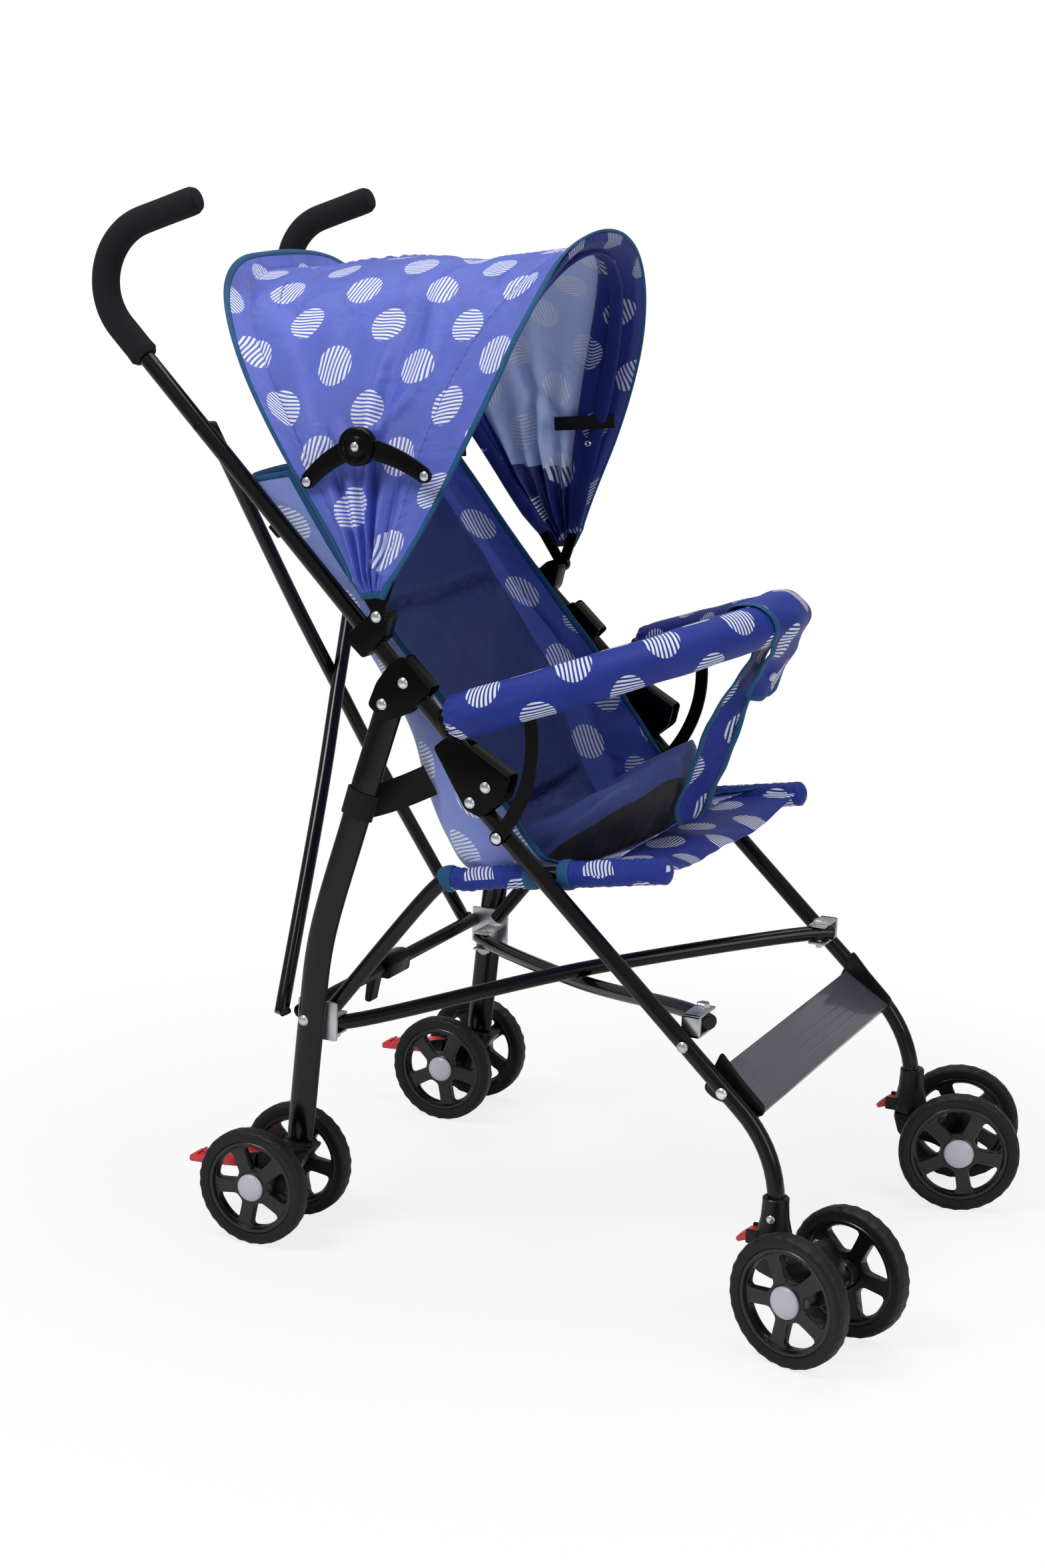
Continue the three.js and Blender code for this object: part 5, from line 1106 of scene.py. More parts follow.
def strip(width, thickness, bevel=0.5):
    """The closed section of a flat strip, (through, across), with softened corners."""
    a, b = thickness / 2, width / 2
    below = [(-a, -b + bevel), (-a + bevel, -b), (a - bevel, -b), (a, -b + bevel)]
    return np.array([*below, *[(x, -y) for x, y in below[::-1]], below[0]])


eye = [(0, 0), (STAY_WIDTH / 2 + 0.1, 0), (STAY_WIDTH / 2 + 0.5, 0.4)]
eye += [(r, STAY_THICKNESS - along) for r, along in eye[::-1]]
side_parts = [
    shell(carried(stay, strip(STAY_WIDTH, STAY_THICKNESS))),
    turned(eye, (STAY_RIVET[0], HALF_TRACK + TUBE_RADIUS + 0.3, STAY_RIVET[1]), AXIS_Y, 32),
]
made(
    "bumper_bar_piece", parts + side_parts + flipped(side_parts), black_plastic, "frame", ("bumper_bar",),
)
stay_head = [rivet(STAY_RIVET, TUBE_RADIUS + 0.3 + STAY_THICKNESS)]
both_sides("stay_rivet", stay_head, bright_zinc, extra=True)

# ------------------------------------------------------------------ bumper cover
# A sleeve of printed blue satin over foam, closed underneath and drawn in by elastic at both ends, where
# it ruffles. The print, shared by all the blue cloth, is staggered round dots filled with white stripes.
DOT_ACROSS, DOT_ROWS, DOT_RADIUS, STRIPE, DOT_WHITE = 0.0815, 0.0440, 0.0190, 0.0038, (236, 239, 250)
dots, taken, given = node_group(
    "striped_dots", [("Vector", "NodeSocketVector", None)], [("Mask", "NodeSocketFloat")]
)
wobble = dots.nodes.new("ShaderNodeTexNoise")
wobble.inputs["Scale"].default_value = 17.0
wobble.inputs["Detail"].default_value = 0.0
dots.links.new(taken.outputs["Vector"], wobble.inputs["Vector"])
split = dots.nodes.new("ShaderNodeSeparateXYZ")
dots.links.new(taken.outputs["Vector"], split.inputs[0])
shift = dots.nodes.new("ShaderNodeSeparateColor")
dots.links.new(wobble.outputs["Color"], shift.inputs[0])
across, along = (
    calculate(
        dots, "ADD", split.outputs[k],
        times(dots, calculate(dots, "SUBTRACT", shift.outputs[k], 0.5), 0.008)
    )
    for k in (0, 1)
)
row = calculate(dots, "DIVIDE", along, DOT_ROWS)
odd = calculate(dots, "MODULO", calculate(dots, "ADD", calculate(dots, "FLOOR", row), 1000), 2)
column = calculate(dots, "ADD", calculate(dots, "DIVIDE", across, DOT_ACROSS), times(dots, odd, 0.5))
in_row, in_column = (
    times(dots, calculate(dots, "SUBTRACT", calculate(dots, "FRACT", place), 0.5), pitch)
    for place, pitch in ((row, DOT_ROWS), (column, DOT_ACROSS))
)
narrow = times(dots, in_column, 1.18)
square = calculate(dots, "ADD", times(dots, in_row, in_row), times(dots, narrow, narrow))
radius = calculate(dots, "SQRT", square)
disc = dots.nodes.new("ShaderNodeMapRange")
disc.inputs["From Min"].default_value = DOT_RADIUS + 0.0003
disc.inputs["From Max"].default_value = DOT_RADIUS - 0.0003
dots.links.new(radius, disc.inputs["Value"])
upright_run = calculate(dots, "ADD", in_column, times(dots, in_row, 0.10))
level_run = calculate(dots, "ADD", in_row, times(dots, in_column, -0.08))
difference = calculate(dots, "SUBTRACT", level_run, upright_run)
either = calculate(dots, "ADD", upright_run, times(dots, odd, difference))
diagonal = times(dots, calculate(dots, "ADD", in_row, in_column), 150)
bend = times(dots, calculate(dots, "SINE", diagonal), 0.0004)
wave = calculate(dots, "SINE", times(dots, calculate(dots, "ADD", either, bend), 2 * math.pi / STRIPE))
stripe = dots.nodes.new("ShaderNodeMapRange")
stripe.inputs["From Min"].default_value = -0.28
stripe.inputs["From Max"].default_value = 0.12
dots.links.new(wave, stripe.inputs["Value"])
dots.links.new(times(dots, disc.outputs["Result"], stripe.outputs["Result"]), given.inputs["Mask"])

# Woven cloth: threads over and under each other, sin(x) sin(y), fine creases, and a line of stitches that
# shows as dark dashes where the seam attribute is near zero.
STITCH_LENGTH = 0.0045
weave, taken, given = node_group(
    "weave",
    [
        ("Vector", "NodeSocketVector", None), ("Seam", "NodeSocketFloat", 1.0),
        ("Thread", "NodeSocketFloat", 0.0007)
    ],
    [("Height", "NodeSocketFloat"), ("Stitch", "NodeSocketFloat"), ("Crease", "NodeSocketFloat")],
)
split = weave.nodes.new("ShaderNodeSeparateXYZ")
weave.links.new(taken.outputs["Vector"], split.inputs[0])
counts = [calculate(weave, "DIVIDE", split.outputs[k], taken.outputs["Thread"]) for k in (0, 1)]
threads = [calculate(weave, "SINE", times(weave, count, 2 * math.pi)) for count in counts]
crease = weave.nodes.new("ShaderNodeTexNoise")
crease.inputs["Scale"].default_value = 26.0
crease.inputs["Detail"].default_value = 3.0
crease.inputs["Distortion"].default_value = 0.6
weave.links.new(taken.outputs["Vector"], crease.inputs["Vector"])
weave.links.new(times(weave, *threads), given.inputs["Height"])
weave.links.new(crease.outputs["Fac"], given.inputs["Crease"])
thread = weave.nodes.new("ShaderNodeMapRange")
thread.inputs["From Min"].default_value = 0.0007
thread.inputs["From Max"].default_value = 0.0003
weave.links.new(calculate(weave, "ABSOLUTE", taken.outputs["Seam"]), thread.inputs["Value"])
diagonal = calculate(weave, "ADD", split.outputs["X"], split.outputs["Y"])
dash_wave = calculate(weave, "SINE", times(weave, diagonal, 2 * math.pi / STITCH_LENGTH))
dash = calculate(weave, "GREATER_THAN", dash_wave, -0.55)
weave.links.new(times(weave, thread.outputs["Result"], dash), given.inputs["Stitch"])


def fabric(
    name, colour, inner=None, printed=0.0, roughness=0.5, thread=0.0007, sheen=0.25, stitch=(22, 26, 60),
    double=None, crease=0.0011, gloss=0.4
):
    """A woven cloth: its colour, another inside where inner is given, the print mixed in by printed, the
    double-layer colour where the band attribute is negative, dark stitches, weave and creases in relief."""
    made_cloth = bpy.data.materials.new(name)
    made_cloth.use_nodes = True
    tree = made_cloth.node_tree
    shader = tree.nodes["Principled BSDF"]
    shader.inputs["Roughness"].default_value = roughness
    shader.inputs["Specular IOR Level"].default_value = gloss
    shader.inputs["Sheen Weight"].default_value = sheen
    shader.inputs["Sheen Roughness"].default_value = 0.4
    on_cloth = tree.nodes.new("ShaderNodeUVMap")
    on_cloth.uv_map = "cloth"
    woven = tree.nodes.new("ShaderNodeGroup")
    woven.node_tree = weave
    woven.inputs["Thread"].default_value = thread
    tree.links.new(on_cloth.outputs[0], woven.inputs["Vector"])

    def attribute(label):
        node = tree.nodes.new("ShaderNodeAttribute")
        node.attribute_name = label
        return node.outputs["Fac"]

    def mixed(factor, below, above):
        node = tree.nodes.new("ShaderNodeMix")
        node.data_type = "RGBA"
        for label, value in (("A", below), ("B", above)):
            if isinstance(value, tuple):
                node.inputs[label].default_value = linear(*value)
            else:
                tree.links.new(value, node.inputs[label])
        tree.links.new(factor, node.inputs["Factor"])
        return node.outputs["Result"]

    tree.links.new(attribute("seam"), woven.inputs["Seam"])
    # Painted shade and highlight: the crease noise that raises the relief also makes the colour 10% darker
    # in its hollows and 10% lighter on its crests.
    shade = mixed(
        woven.outputs["Crease"], tuple(c * 0.9 for c in colour), tuple(min(255, c * 1.1) for c in colour)
    )
    if inner:
        shade = mixed(attribute("inside"), shade, inner)
    if double:
        edge = tree.nodes.new("ShaderNodeMapRange")
        edge.inputs["From Min"].default_value = 0.0004
        edge.inputs["From Max"].default_value = -0.0004
        tree.links.new(attribute("band"), edge.inputs["Value"])
        shade = mixed(edge.outputs["Result"], shade, double)
    if printed:
        mask = tree.nodes.new("ShaderNodeGroup")
        mask.node_tree = dots
        tree.links.new(on_cloth.outputs[0], mask.inputs["Vector"])
        shade = mixed(times(tree, mask.outputs["Mask"], printed), shade, DOT_WHITE)
    shade = mixed(times(tree, woven.outputs["Stitch"], 0.85), shade, stitch)
    tree.links.new(shade, shader.inputs["Base Color"])
    relief = tree.nodes.new("ShaderNodeBump")
    relief.inputs["Distance"].default_value = crease
    tree.links.new(woven.outputs["Crease"], relief.inputs["Height"])
    fine = tree.nodes.new("ShaderNodeBump")
    fine.inputs["Distance"].default_value = 0.00006
    tree.links.new(woven.outputs["Height"], fine.inputs["Height"])
    tree.links.new(relief.outputs["Normal"], fine.inputs["Normal"])
    tree.links.new(fine.outputs["Normal"], shader.inputs["Normal"])
    return made_cloth


# Painted shade: this copy of the printed blue satin, for the bumper cover, flap, sleeves and strap, is
# painted darker than the hood's.
satin = fabric("blue_satin_painted_shade", (30, 50, 142), printed=0.93, roughness=0.38, sheen=0.03, gloss=0.22)
teal = fabric("teal_binding", (10, 78, 124), sheen=0.08, gloss=0.3)
span = bumper_line(np.pi * np.linspace(COVER_FROM, 1 - COVER_FROM, 900))
span = even(span, 2.2)
run = lengths(span)
turn = np.linspace(0, 2 * np.pi, 65)
at_end = np.minimum(run, run[-1] - run)[:, None]
drawn_in = 1 - 0.34 * np.exp(-(at_end / 4.5) ** 2) - 0.05 * np.exp(-((at_end - 11) / 6) ** 2)
ruffle = 0.075 * np.sin(13 * turn + 0.7 * np.sin(3 * turn)) * np.exp(-(at_end / 13) ** 2)
run = run[:, None]
slack = 0.012 * np.sin(run / 17 + 2.2 * np.sin(turn)) + 0.010 * np.sin(run / 9.5 - 3 * np.cos(turn))
underneath = 0.035 * np.exp(-((turn - 1.5 * np.pi) / 0.13) ** 2) * (1 + 0.4 * np.sin(run / 3.5))
swell = drawn_in + ruffle + slack - underneath - 0.015
circle = np.stack([np.cos(turn), np.sin(turn)], -1)
outline = BUMPER_COVER * swell[..., None] * circle
grid = carried(span, outline, UP)
uv = np.stack([run * 0.001 + 0 * turn, turn * BUMPER_COVER * 0.001 + 0.012 + 0 * run], -1)
inside = carried(span, (BUMPER_TUBE + 0.5) * circle, UP)
cover = sleeve_shell(grid, inside, uv)
bumper_cover = made(
    "bumper_cover_piece", [cover], satin, "frame", ("bumper_cover",), crease=60
)

# ------------------------------------------------------------------ hood bows and clamps
# Two flat black plastic bows carry the hood. The rear one is fixed to the handles by moulded clamps, the
# front one swings on the same posts; domed rivets hold their eyes.
HOOD_PIVOT = np.array((104.0, 619.0))
CLAMP_REACH, CLAMP = 11, ((99, 625), (73, 602), (69, 592), (87, 577), (106, 596), (112, 620))
BOW_GAP, POST_RADIUS, BOW_THICKNESS, BOW_WIDTH, EYE_RADIUS = 1.2, 3.2, 3, 11, 8
HOOD_CLOTH, CLOTH_GAP = 2.4, 0.5
# Each arch has its angle from straight ahead, its reach and half width, the power of its curve and how far
# its angle changes on the way up.
REAR_BOW = dict(angle=124.3, reach=362, half=HALF_TRACK - 7, power=2.85, bend=0)
FRONT_BOW = dict(angle=71.7, reach=353.1, half=HALF_TRACK - 7.9, power=2.15, bend=0)
BASE_HEIGHT, BASE_FADE = 40, 38
BOW_PITCH = BOW_THICKNESS + BOW_GAP
BOW_INSET = HOOD_CLOTH + CLOTH_GAP + BOW_THICKNESS / 2
pivot_y = HALF_TRACK - (HOOD_PIVOT[1] - LEAN_START) * LEAN_SLOPE
layer_y = [pivot_y + CLAMP_REACH + 0.3 + BOW_THICKNESS / 2 + layer * BOW_PITCH for layer in (0, 1)]


def arch(shape, turn, base, inset=0.0):
    """A flattened arch: height = reach |sin t|^(2/p) along its angle, y = half |cos t|^(2/p), spread near
    its feet to the base width by exp(-(height - 40) / 38)."""
    rise = np.abs(np.sin(turn)) ** (2 / shape["power"])
    side = np.sign(np.cos(turn)) * np.abs(np.cos(turn)) ** (2 / shape["power"])
    height = (shape["reach"] - inset) * rise
    spread = (base - shape["half"]) * np.exp(-np.maximum(0, height - BASE_HEIGHT) / BASE_FADE)
    angle = np.radians(shape["angle"] + shape["bend"] * rise**2)
    y = (shape["half"] - inset + spread) * side
    return np.stack([HOOD_PIVOT[0] + height * np.cos(angle), y, HOOD_PIVOT[1] + height * np.sin(angle)], -1)


def arch_turn(shape, share, start_height):
    """The turn at each share of an arch, eased towards its feet."""
    start = np.arcsin((start_height / shape["reach"]) ** (shape["power"] / 2))
    return start + (np.pi - 2 * start) * (share - 0.88 * np.sin(2 * np.pi * share) / (2 * np.pi))


def across_bow(shape):
    """The direction across a bow's width: square to the way it points, in the side view."""
    outwards = toward(shape["angle"])
    return np.cross((outwards[0], 0, outwards[1]), AXIS_Y)


share = np.linspace(0, 1, 161)
post_reach = CLAMP_REACH + 2 * BOW_PITCH + 0.6
for name, shape, layer, body in (
    ("hood_rear_bow", REAR_BOW, 0, "frame"), ("hood_front_bow", FRONT_BOW, 1, "hood_front")
):
    line = arch(shape, arch_turn(shape, share, EYE_RADIUS - 2), layer_y[layer] + BOW_INSET, BOW_INSET)
    parts = [shell(carried(line, strip(BOW_THICKNESS, BOW_WIDTH), across_bow(shape)))]
    disc = barrel(EYE_RADIUS, BOW_THICKNESS / 2, 0.4, 0.4)
    eye = [turned(disc, (HOOD_PIVOT[0], layer_y[layer], HOOD_PIVOT[1]), AXIS_Y, 36)]
    parts += eye + flipped(eye)
    if name == "hood_rear_bow":
        clamp = [
            slab(CLAMP, -CLAMP_REACH, CLAMP_REACH, 4, 1.4),
            straight(on_side(*HOOD_PIVOT, CLAMP_REACH - 2), on_side(*HOOD_PIVOT, post_reach), POST_RADIUS),
        ]
        parts += clamp + flipped(clamp)
    made(name + "_piece", parts, black_plastic, body, (name,))
both_sides("hood_rivet", [rivet(HOOD_PIVOT, post_reach)], bright_zinc, extra=True)

# ------------------------------------------------------------------ hood stays
# On each side two curved black arms meet under a round knob that snaps over centre and keeps the hood
# open; their far ends are riveted through the cloth to the bows.
STAY_REAR_REACH, STAY_FRONT_REACH, KNOB, KNOB_RADIUS = 142, 139, (78, 773), 18
ARM_THICKNESS, ARM_BULGE, ARM_INSET, TIP_RADIUS = 3.6, 9, 1.7, 6.5


def bow_place(shape, reach):
    """The side view of a place on a bow, so far from the rivet."""
    return HOOD_PIVOT + reach * toward(shape["angle"])


def arm_outline(start, end, knob_first):
    """A banana-shaped arm: a parabola from start to end bulging upwards, wider towards its middle."""
    start, end = np.asarray(start, float), np.asarray(end, float)
    chord = unit(end - start)
    middle = (start + end) / 2 + ARM_BULGE * np.array((-chord[1], chord[0])) * np.sign(chord[0])
    t = np.linspace(0, 1, 25)[:, None]
    line = curve(start, middle, end, t)
    along = unit(np.gradient(line, axis=0))
    share = (1 - t if knob_first else t)
    half = 9.4 - 2.0 * np.abs(share - 0.7) / 0.7
    side = np.stack([-along[:, 1], along[:, 0]], -1)
    return np.vstack([line + half * side, (line - half * side)[::-1]])


def disc_at(place, radius, low, high, bevel=0.8):
    """A flat round eye beside the side frame, from low to high outwards."""
    rim = [(0, low), (radius - bevel, low), (radius, low + bevel)]
    rim += [(radius, high - bevel), (radius - bevel, high), (0, high)]
    return turned(rim, (place[0], HALF_TRACK, place[1]), AXIS_Y, 48)


for name, tip, knob_first, layer in (
    ("hood_stay_rear_arm", bow_place(REAR_BOW, STAY_REAR_REACH), False, 0),
    ("hood_stay_front_arm", bow_place(FRONT_BOW, STAY_FRONT_REACH), True, 1),
):
    low = layer * (ARM_THICKNESS + 0.3) - ARM_INSET
    high = low + ARM_THICKNESS
    ends = (KNOB, tip) if knob_first else (tip, KNOB)
    arm = [slab(arm_outline(*ends, knob_first), HALF_TRACK + low, HALF_TRACK + high, 0, 0.7, lean=False)]
    arm.append(disc_at(tip, TIP_RADIUS, low, high))
    if layer == 0:
        arm.append(disc_at(KNOB, KNOB_RADIUS, low, high))
    else:
        top = high + ARM_THICKNESS
        knob = [
            (0, low), (KNOB_RADIUS - 0.8, low), (KNOB_RADIUS, low + 0.8), (KNOB_RADIUS, top - 2.0),
            (KNOB_RADIUS - 0.6, top - 0.8), (KNOB_RADIUS - 2, top), (KNOB_RADIUS - 5, top),
            (KNOB_RADIUS - 6, top - 1.1), (KNOB_RADIUS - 8.5, top - 1.3), (KNOB_RADIUS - 9.5, top - 0.6),
            (5, top - 0.2), (4.4, top + 0.2), (0, top + 0.2),
        ]
        arm.append(turned(knob, (KNOB[0], HALF_TRACK, KNOB[1]), AXIS_Y, 64))
    both_sides(name, arm, black_plastic, crease=32)
    heads = [rivet(tip, HALF_TRACK + high, 4.4, 2, lean=False)]
    if layer == 1:
        heads.append(rivet(KNOB, HALF_TRACK + high + ARM_THICKNESS + 0.2, 4.2, 2, lean=False))
    both_sides(
        name + "_rivet", heads, bright_zinc, extra=True,
        body="hood_stay_rear_SIDE" if layer == 0 else "hood_stay_front_SIDE"
    )

# ------------------------------------------------------------------ hood
# One piece of thin printed satin in three panels, stitched over both bows, its rims bound in teal tape.
# It is pulled together at the clamps, so folds run up from there; the pale inside is partly painted light.
HOOD_EDGES = (
    (0, dict(angle=128.5, reach=REAR_BOW["reach"] + 27, half=REAR_BOW["half"] + 7, power=3.4, bend=-3.5)),
    (0.12, dict(angle=121.5, reach=REAR_BOW["reach"] + 7, half=REAR_BOW["half"] + 4, power=2.9, bend=3.3)),
    (
        0.88,
        dict(angle=82, reach=FRONT_BOW["reach"] - 1.1, half=FRONT_BOW["half"] + 3.9, power=2.15, bend=-9)
    ),
    (
        1,
        dict(angle=63.9, reach=FRONT_BOW["reach"] + 20, half=FRONT_BOW["half"] + 3.9, power=2.45, bend=6.6)
    ),
)
HOOD_TIP = 20
hood_base = layer_y[1] + BOW_INSET + 3


def hood_surface(u, v):
    """The hood as it is cut: on each u a straight line between the two neighbouring seams' arches at v."""
    stops = [at for at, _ in HOOD_EDGES]
    lines = np.array([arch(shape, arch_turn(shape, v, HOOD_TIP), hood_base) for _, shape in HOOD_EDGES])
    place = np.interp(u, stops, range(len(stops)))
    below = np.minimum(place.astype(int), len(stops) - 2)
    blend = (place - below)[:, None, None]
    return lines[below] * (1 - blend) + lines[below + 1] * blend


def normals(grid):
    """The unit normal of a grid at each place, from the slopes of its rows and columns."""
    return unit(np.cross(np.gradient(grid, axis=0), np.gradient(grid, axis=1)))


def ringed(one, other):
    """Rows that run across one grid and back across the other to where they began."""
    return np.concatenate([one, other[:, ::-1], one[:, :1]], 1)


def sheet_shell(front, back, values):
    """A closed thin cloth between a front and a back grid, its rims closed along a middle line; the values
    are U and V, and may go on with the distances from a seam and from a second layer on its back."""
    columns = front.shape[1]
    middle = (front + back) / 2
    rows = [ringed(middle[:1], middle[:1]), ringed(front, back), ringed(middle[-1:], middle[-1:])]
    carries = np.concatenate([values[:1], values, values[-1:]], 0)
    carries = ringed(carries, carries)
    on_back = np.zeros((*carries.shape[:2], 1))
    on_back[:, columns:2 * columns] = 1
    if carries.shape[2] > 3:
        carries[..., 3:] = np.where(on_back > 0, carries[..., 3:], 1.0)
    carries = np.concatenate([carries[..., :2], on_back, carries[..., 2:]], -1)
    return shell(np.concatenate(rows, 0), carries, ends=False)


u = np.unique(np.r_[np.linspace(0, 1, 113), 0.12, 0.88])
v = np.linspace(0, 1, 301)
flat = hood_surface(u, v)
arc = lengths(flat[..., 1:], 1)
arc = arc - arc[:, [150]]
from_pivot = np.hypot(flat[..., 0] - HOOD_PIVOT[0], flat[..., 2] - HOOD_PIVOT[1])
uu, side = u[:, None], np.sign(flat[..., 1])
# Each fold has its place across the hood, its width, its height and how far it runs up from the clamps.
FOLDS = (
    (0.05, 0.022, -2.0, 100), (0.20, 0.032, 4.0, 130), (0.29, 0.026, -5.2, 150), (0.39, 0.034, 4.6, 150),
    (0.48, 0.024, -4.6, 120), (0.57, 0.020, 6.0, 230), (0.625, 0.020, -7.0, 205), (0.70, 0.030, 4.4, 150),
    (0.79, 0.022, -5.0, 140), (0.94, 0.022, -2.0, 110),
)
fold = np.zeros(flat.shape[:2])
for centre, width, lift, reach in FOLDS:
    drift = centre + 0.018 * np.sin(from_pivot / 55 + 9 * centre) * side
    across_fold = np.exp(-((uu - drift) / (width * (1 + from_pivot / 260))) ** 2)
    fold += 1.5 * lift * across_fold * np.exp(-(np.maximum(from_pivot - 26, 0) / reach) ** 1.6)
between = np.clip((uu - 0.12) * (0.88 - uu) / 0.1444, 0, 1)
between = between * between * (3 - 2 * between)
top = np.exp(-((v[None] - 0.5) / 0.27) ** 4)
sag = -(2.0 + 4.5 * uu**2) * between * top - 6.0 * between * (1 - top) * (1 - np.exp(-from_pivot / 90))
billow = 2.4 * np.sin(flat[..., 0] / 34 + arc / 83) + 2.0 * np.sin(arc / 37 - flat[..., 0] / 59 + 1.3)
ridges = np.exp(-((np.sin(flat[..., 0] / 58 + arc / 122 + 0.6 * np.sin(arc / 47)) / 0.16) ** 2))
hollows = np.exp(-((np.sin(flat[..., 0] / 74 - arc / 96 + 2) / 0.2) ** 2))
billow = (between + 0.12) * (billow + 4.5 * ridges - 3.2 * hollows)
to_seam = np.minimum(np.abs(uu - 0.12), np.abs(uu - 0.88)) * 330
pucker = 0.5 * np.sin(arc / 2.3 + 1.7 * np.sin(arc / 11)) * np.exp(-(to_seam / 9) ** 2)
pucker = pucker - 0.6 * np.exp(-(to_seam / 2.2) ** 2)
rim = np.minimum(uu, 1 - uu) * 330
rim_wave = 0.7 * np.sin(arc / 16 + 2) * np.exp(-rim / 14)
gather = 1 - np.exp(-np.maximum(from_pivot - HOOD_TIP, 0) / 26)
outward = normals(flat)
outward = outward * np.sign((outward * (flat - (60, 0, 700))).sum(-1).mean())
lift = fold * gather + (sag + billow) * np.minimum(1, from_pivot / 120) + pucker + rim_wave - 1.0
hood_front_face = flat + outward * lift[..., None]
hood_back_face = hood_front_face - outward * 1.1
seam = to_seam * 0.001 * np.ones_like(arc)
band = np.minimum(np.minimum(0.872 - uu, uu - 0.115) * 0.33, (flat[..., 2] - 724) * 0.001)
uv = np.stack([flat[..., 0] * 0.001 + 0.013, arc * 0.001, seam, band], -1)
# Painted light: this copy of the blue satin is lighter than the others, and its inside paler, for light
# through it.
hood_satin_painted_light = fabric(
    "hood_satin_painted_light", (76, 94, 192), inner=(188, 208, 255), printed=0.94, roughness=0.36, double=(20, 38, 122),
    crease=0.0034, sheen=0.1, gloss=0.6
)


def swing(piece):
    """Bakes a cloth's placement into its mesh and reads its points in millimetres from the rear axle; it
    moves nothing.
    """
    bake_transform(piece)
    place = np.zeros(len(piece.data.vertices) * 3, np.float32)
    piece.data.vertices.foreach_get("co", place)
    place = place.reshape(-1, 3) * 1000 - (AXLE_X * 1000, 0, 0)


hood = made(
    "hood_canopy", [sheet_shell(hood_front_face, hood_back_face, uv)], hood_satin_painted_light, None, ("hood_cloth",),
    crease=70
)
swing(hood)

# ------------------------------------------------------------------ hood bindings and linings
# Teal tape is folded over both rims of the hood. Inside, a navy second layer forms a sleeve round each bow,
# and carries two small eyelets and a short hook-and-loop tab on each side.
TAPE_WIDTH, TAPE_THICKNESS = 7.4, 2.6


def tape_along(edge, inner):
    """A folded tape along an edge line; inner is a line on the same cloth a little further in."""
    run_in = unit(inner - edge)
    along = unit(np.gradient(edge, axis=0))
    across = unit(np.cross(along, run_in))
    turn = np.linspace(0, 2 * np.pi, 15)
    section = np.stack([TAPE_THICKNESS / 2 * np.cos(turn), TAPE_WIDTH / 2 * np.sin(turn)], -1)
    centre = edge + run_in * (TAPE_WIDTH / 2 - 1.6)
    grid = centre[:, None] + section[None, :, :1] * across[:, None] + section[None, :, 1:] * run_in[:, None]
    distance = lengths(edge)
    across_tape = turn * TAPE_WIDTH / 3
    seam = np.abs(np.sin(turn - 0.9)) * 0.003
    values = np.broadcast_arrays(distance[:, None] * 0.001, across_tape * 0.001, 0.0, seam)
    return shell(grid, np.stack(values, -1))


middle_face = (hood_front_face + hood_back_face) / 2
for name, edge, inner in (
    ("hood_rear_binding", middle_face[0], middle_face[2]),
    ("hood_front_binding", middle_face[-1], middle_face[-3]),
    ("hood_tip_binding_left", middle_face[:, 0], middle_face[:, 3]),
    ("hood_tip_binding_right", middle_face[:, -1], middle_face[:, -4]),
):
    swing(made(name, [tape_along(edge, inner)], teal, None, crease=60))

lining = fabric("hood_lining", (20, 38, 122), printed=0.5, sheen=0.05, crease=0.0012, gloss=0.3)
plain_lining = fabric("plain_lining", (20, 38, 118), sheen=0.05, crease=0.0012, gloss=0.3)
turn = np.linspace(0, 2 * np.pi, 41)
for name, shape, layer, half, body in (
    ("rear", REAR_BOW, 0, 8, "frame"), ("front", FRONT_BOW, 1, 8, "hood_front")
):
    line = arch(shape, arch_turn(shape, np.linspace(0, 1, 241), 38), layer_y[layer] + BOW_INSET, BOW_INSET)
    run = lengths(line)[:, None]
    height = np.hypot(line[:, 0] - HOOD_PIVOT[0], line[:, 2] - HOOD_PIVOT[1])[:, None]
    wide = np.minimum(half, 6.0 + 0.08 * np.maximum(0, height - 40)) + 0.3 * np.sin(run / 21)
    thick = 2.7 + 0.25 * np.sin(run / 6 + 3 * np.cos(turn))
    outline = np.stack([wide * np.cos(turn), thick * np.sin(turn)], -1)
    outer = carried(line, outline, across_bow(shape))
    bore = carried(line, oval(6.2, 2.0, 40), across_bow(shape))
    values = np.zeros((*outer.shape[:2], 4)) + (0, 0, 1, 1)
    values[..., :2] = np.stack([wide * np.cos(turn), run + 0 * turn], -1) * 0.001
    wrap = sleeve_shell(outer, bore, values)
    made(f"hood_{name}_bow_wrap", [wrap], plain_lining, body, crease=60)

for name, low, high, cut, cut_area in (
    ("hood_front_sleeve", 0.868, 0.996, (0.87, 0.061), 0.038),
    ("hood_rear_sleeve", 0.012, 0.205, (0.90, 0.069), 0.041),
):
    u_part = np.linspace(low, high, 27)
    v_part = np.linspace(0.075, 0.925, 241)
    share = np.abs(np.sin(np.pi * (u_part - low) / (high - low)))[:, None]
    surface = hood_surface(u_part, v_part)
    facing = normals(surface)
    facing = facing * np.sign((facing * (surface - (60, 0, 700))).sum(-1).mean())
    arc_part = lengths(surface[..., 1:], 1)
    wave = 0.5 * np.sin(arc_part / 19 + 5 * u_part[:, None]) * share
    depth = 3.2 + 6.0 * np.minimum(1, 2.2 * share) ** 0.8 + wave
    face = surface - facing * depth[..., None]
    values = np.stack([surface[..., 0] * 0.001 + 0.013, (arc_part - arc_part[:, [120]]) * 0.001], -1)
    sleeve_piece = made(
        name, [sheet_shell(face, face - facing * 0.8, values)], lining, None, crease=70
    )
    swing(sleeve_piece)


def on_lining(x, z, inwards):
    """The place inside the hood's left wall at a side view place, so far in from the cloth."""
    wall = hood_back_face[:, flat[56, :, 1] > 0].reshape(-1, 3)
    near = wall[np.argmin((wall[:, 0] - x) ** 2 + (wall[:, 2] - z) ** 2)]
    return np.array((x, near[1] - inwards, z))


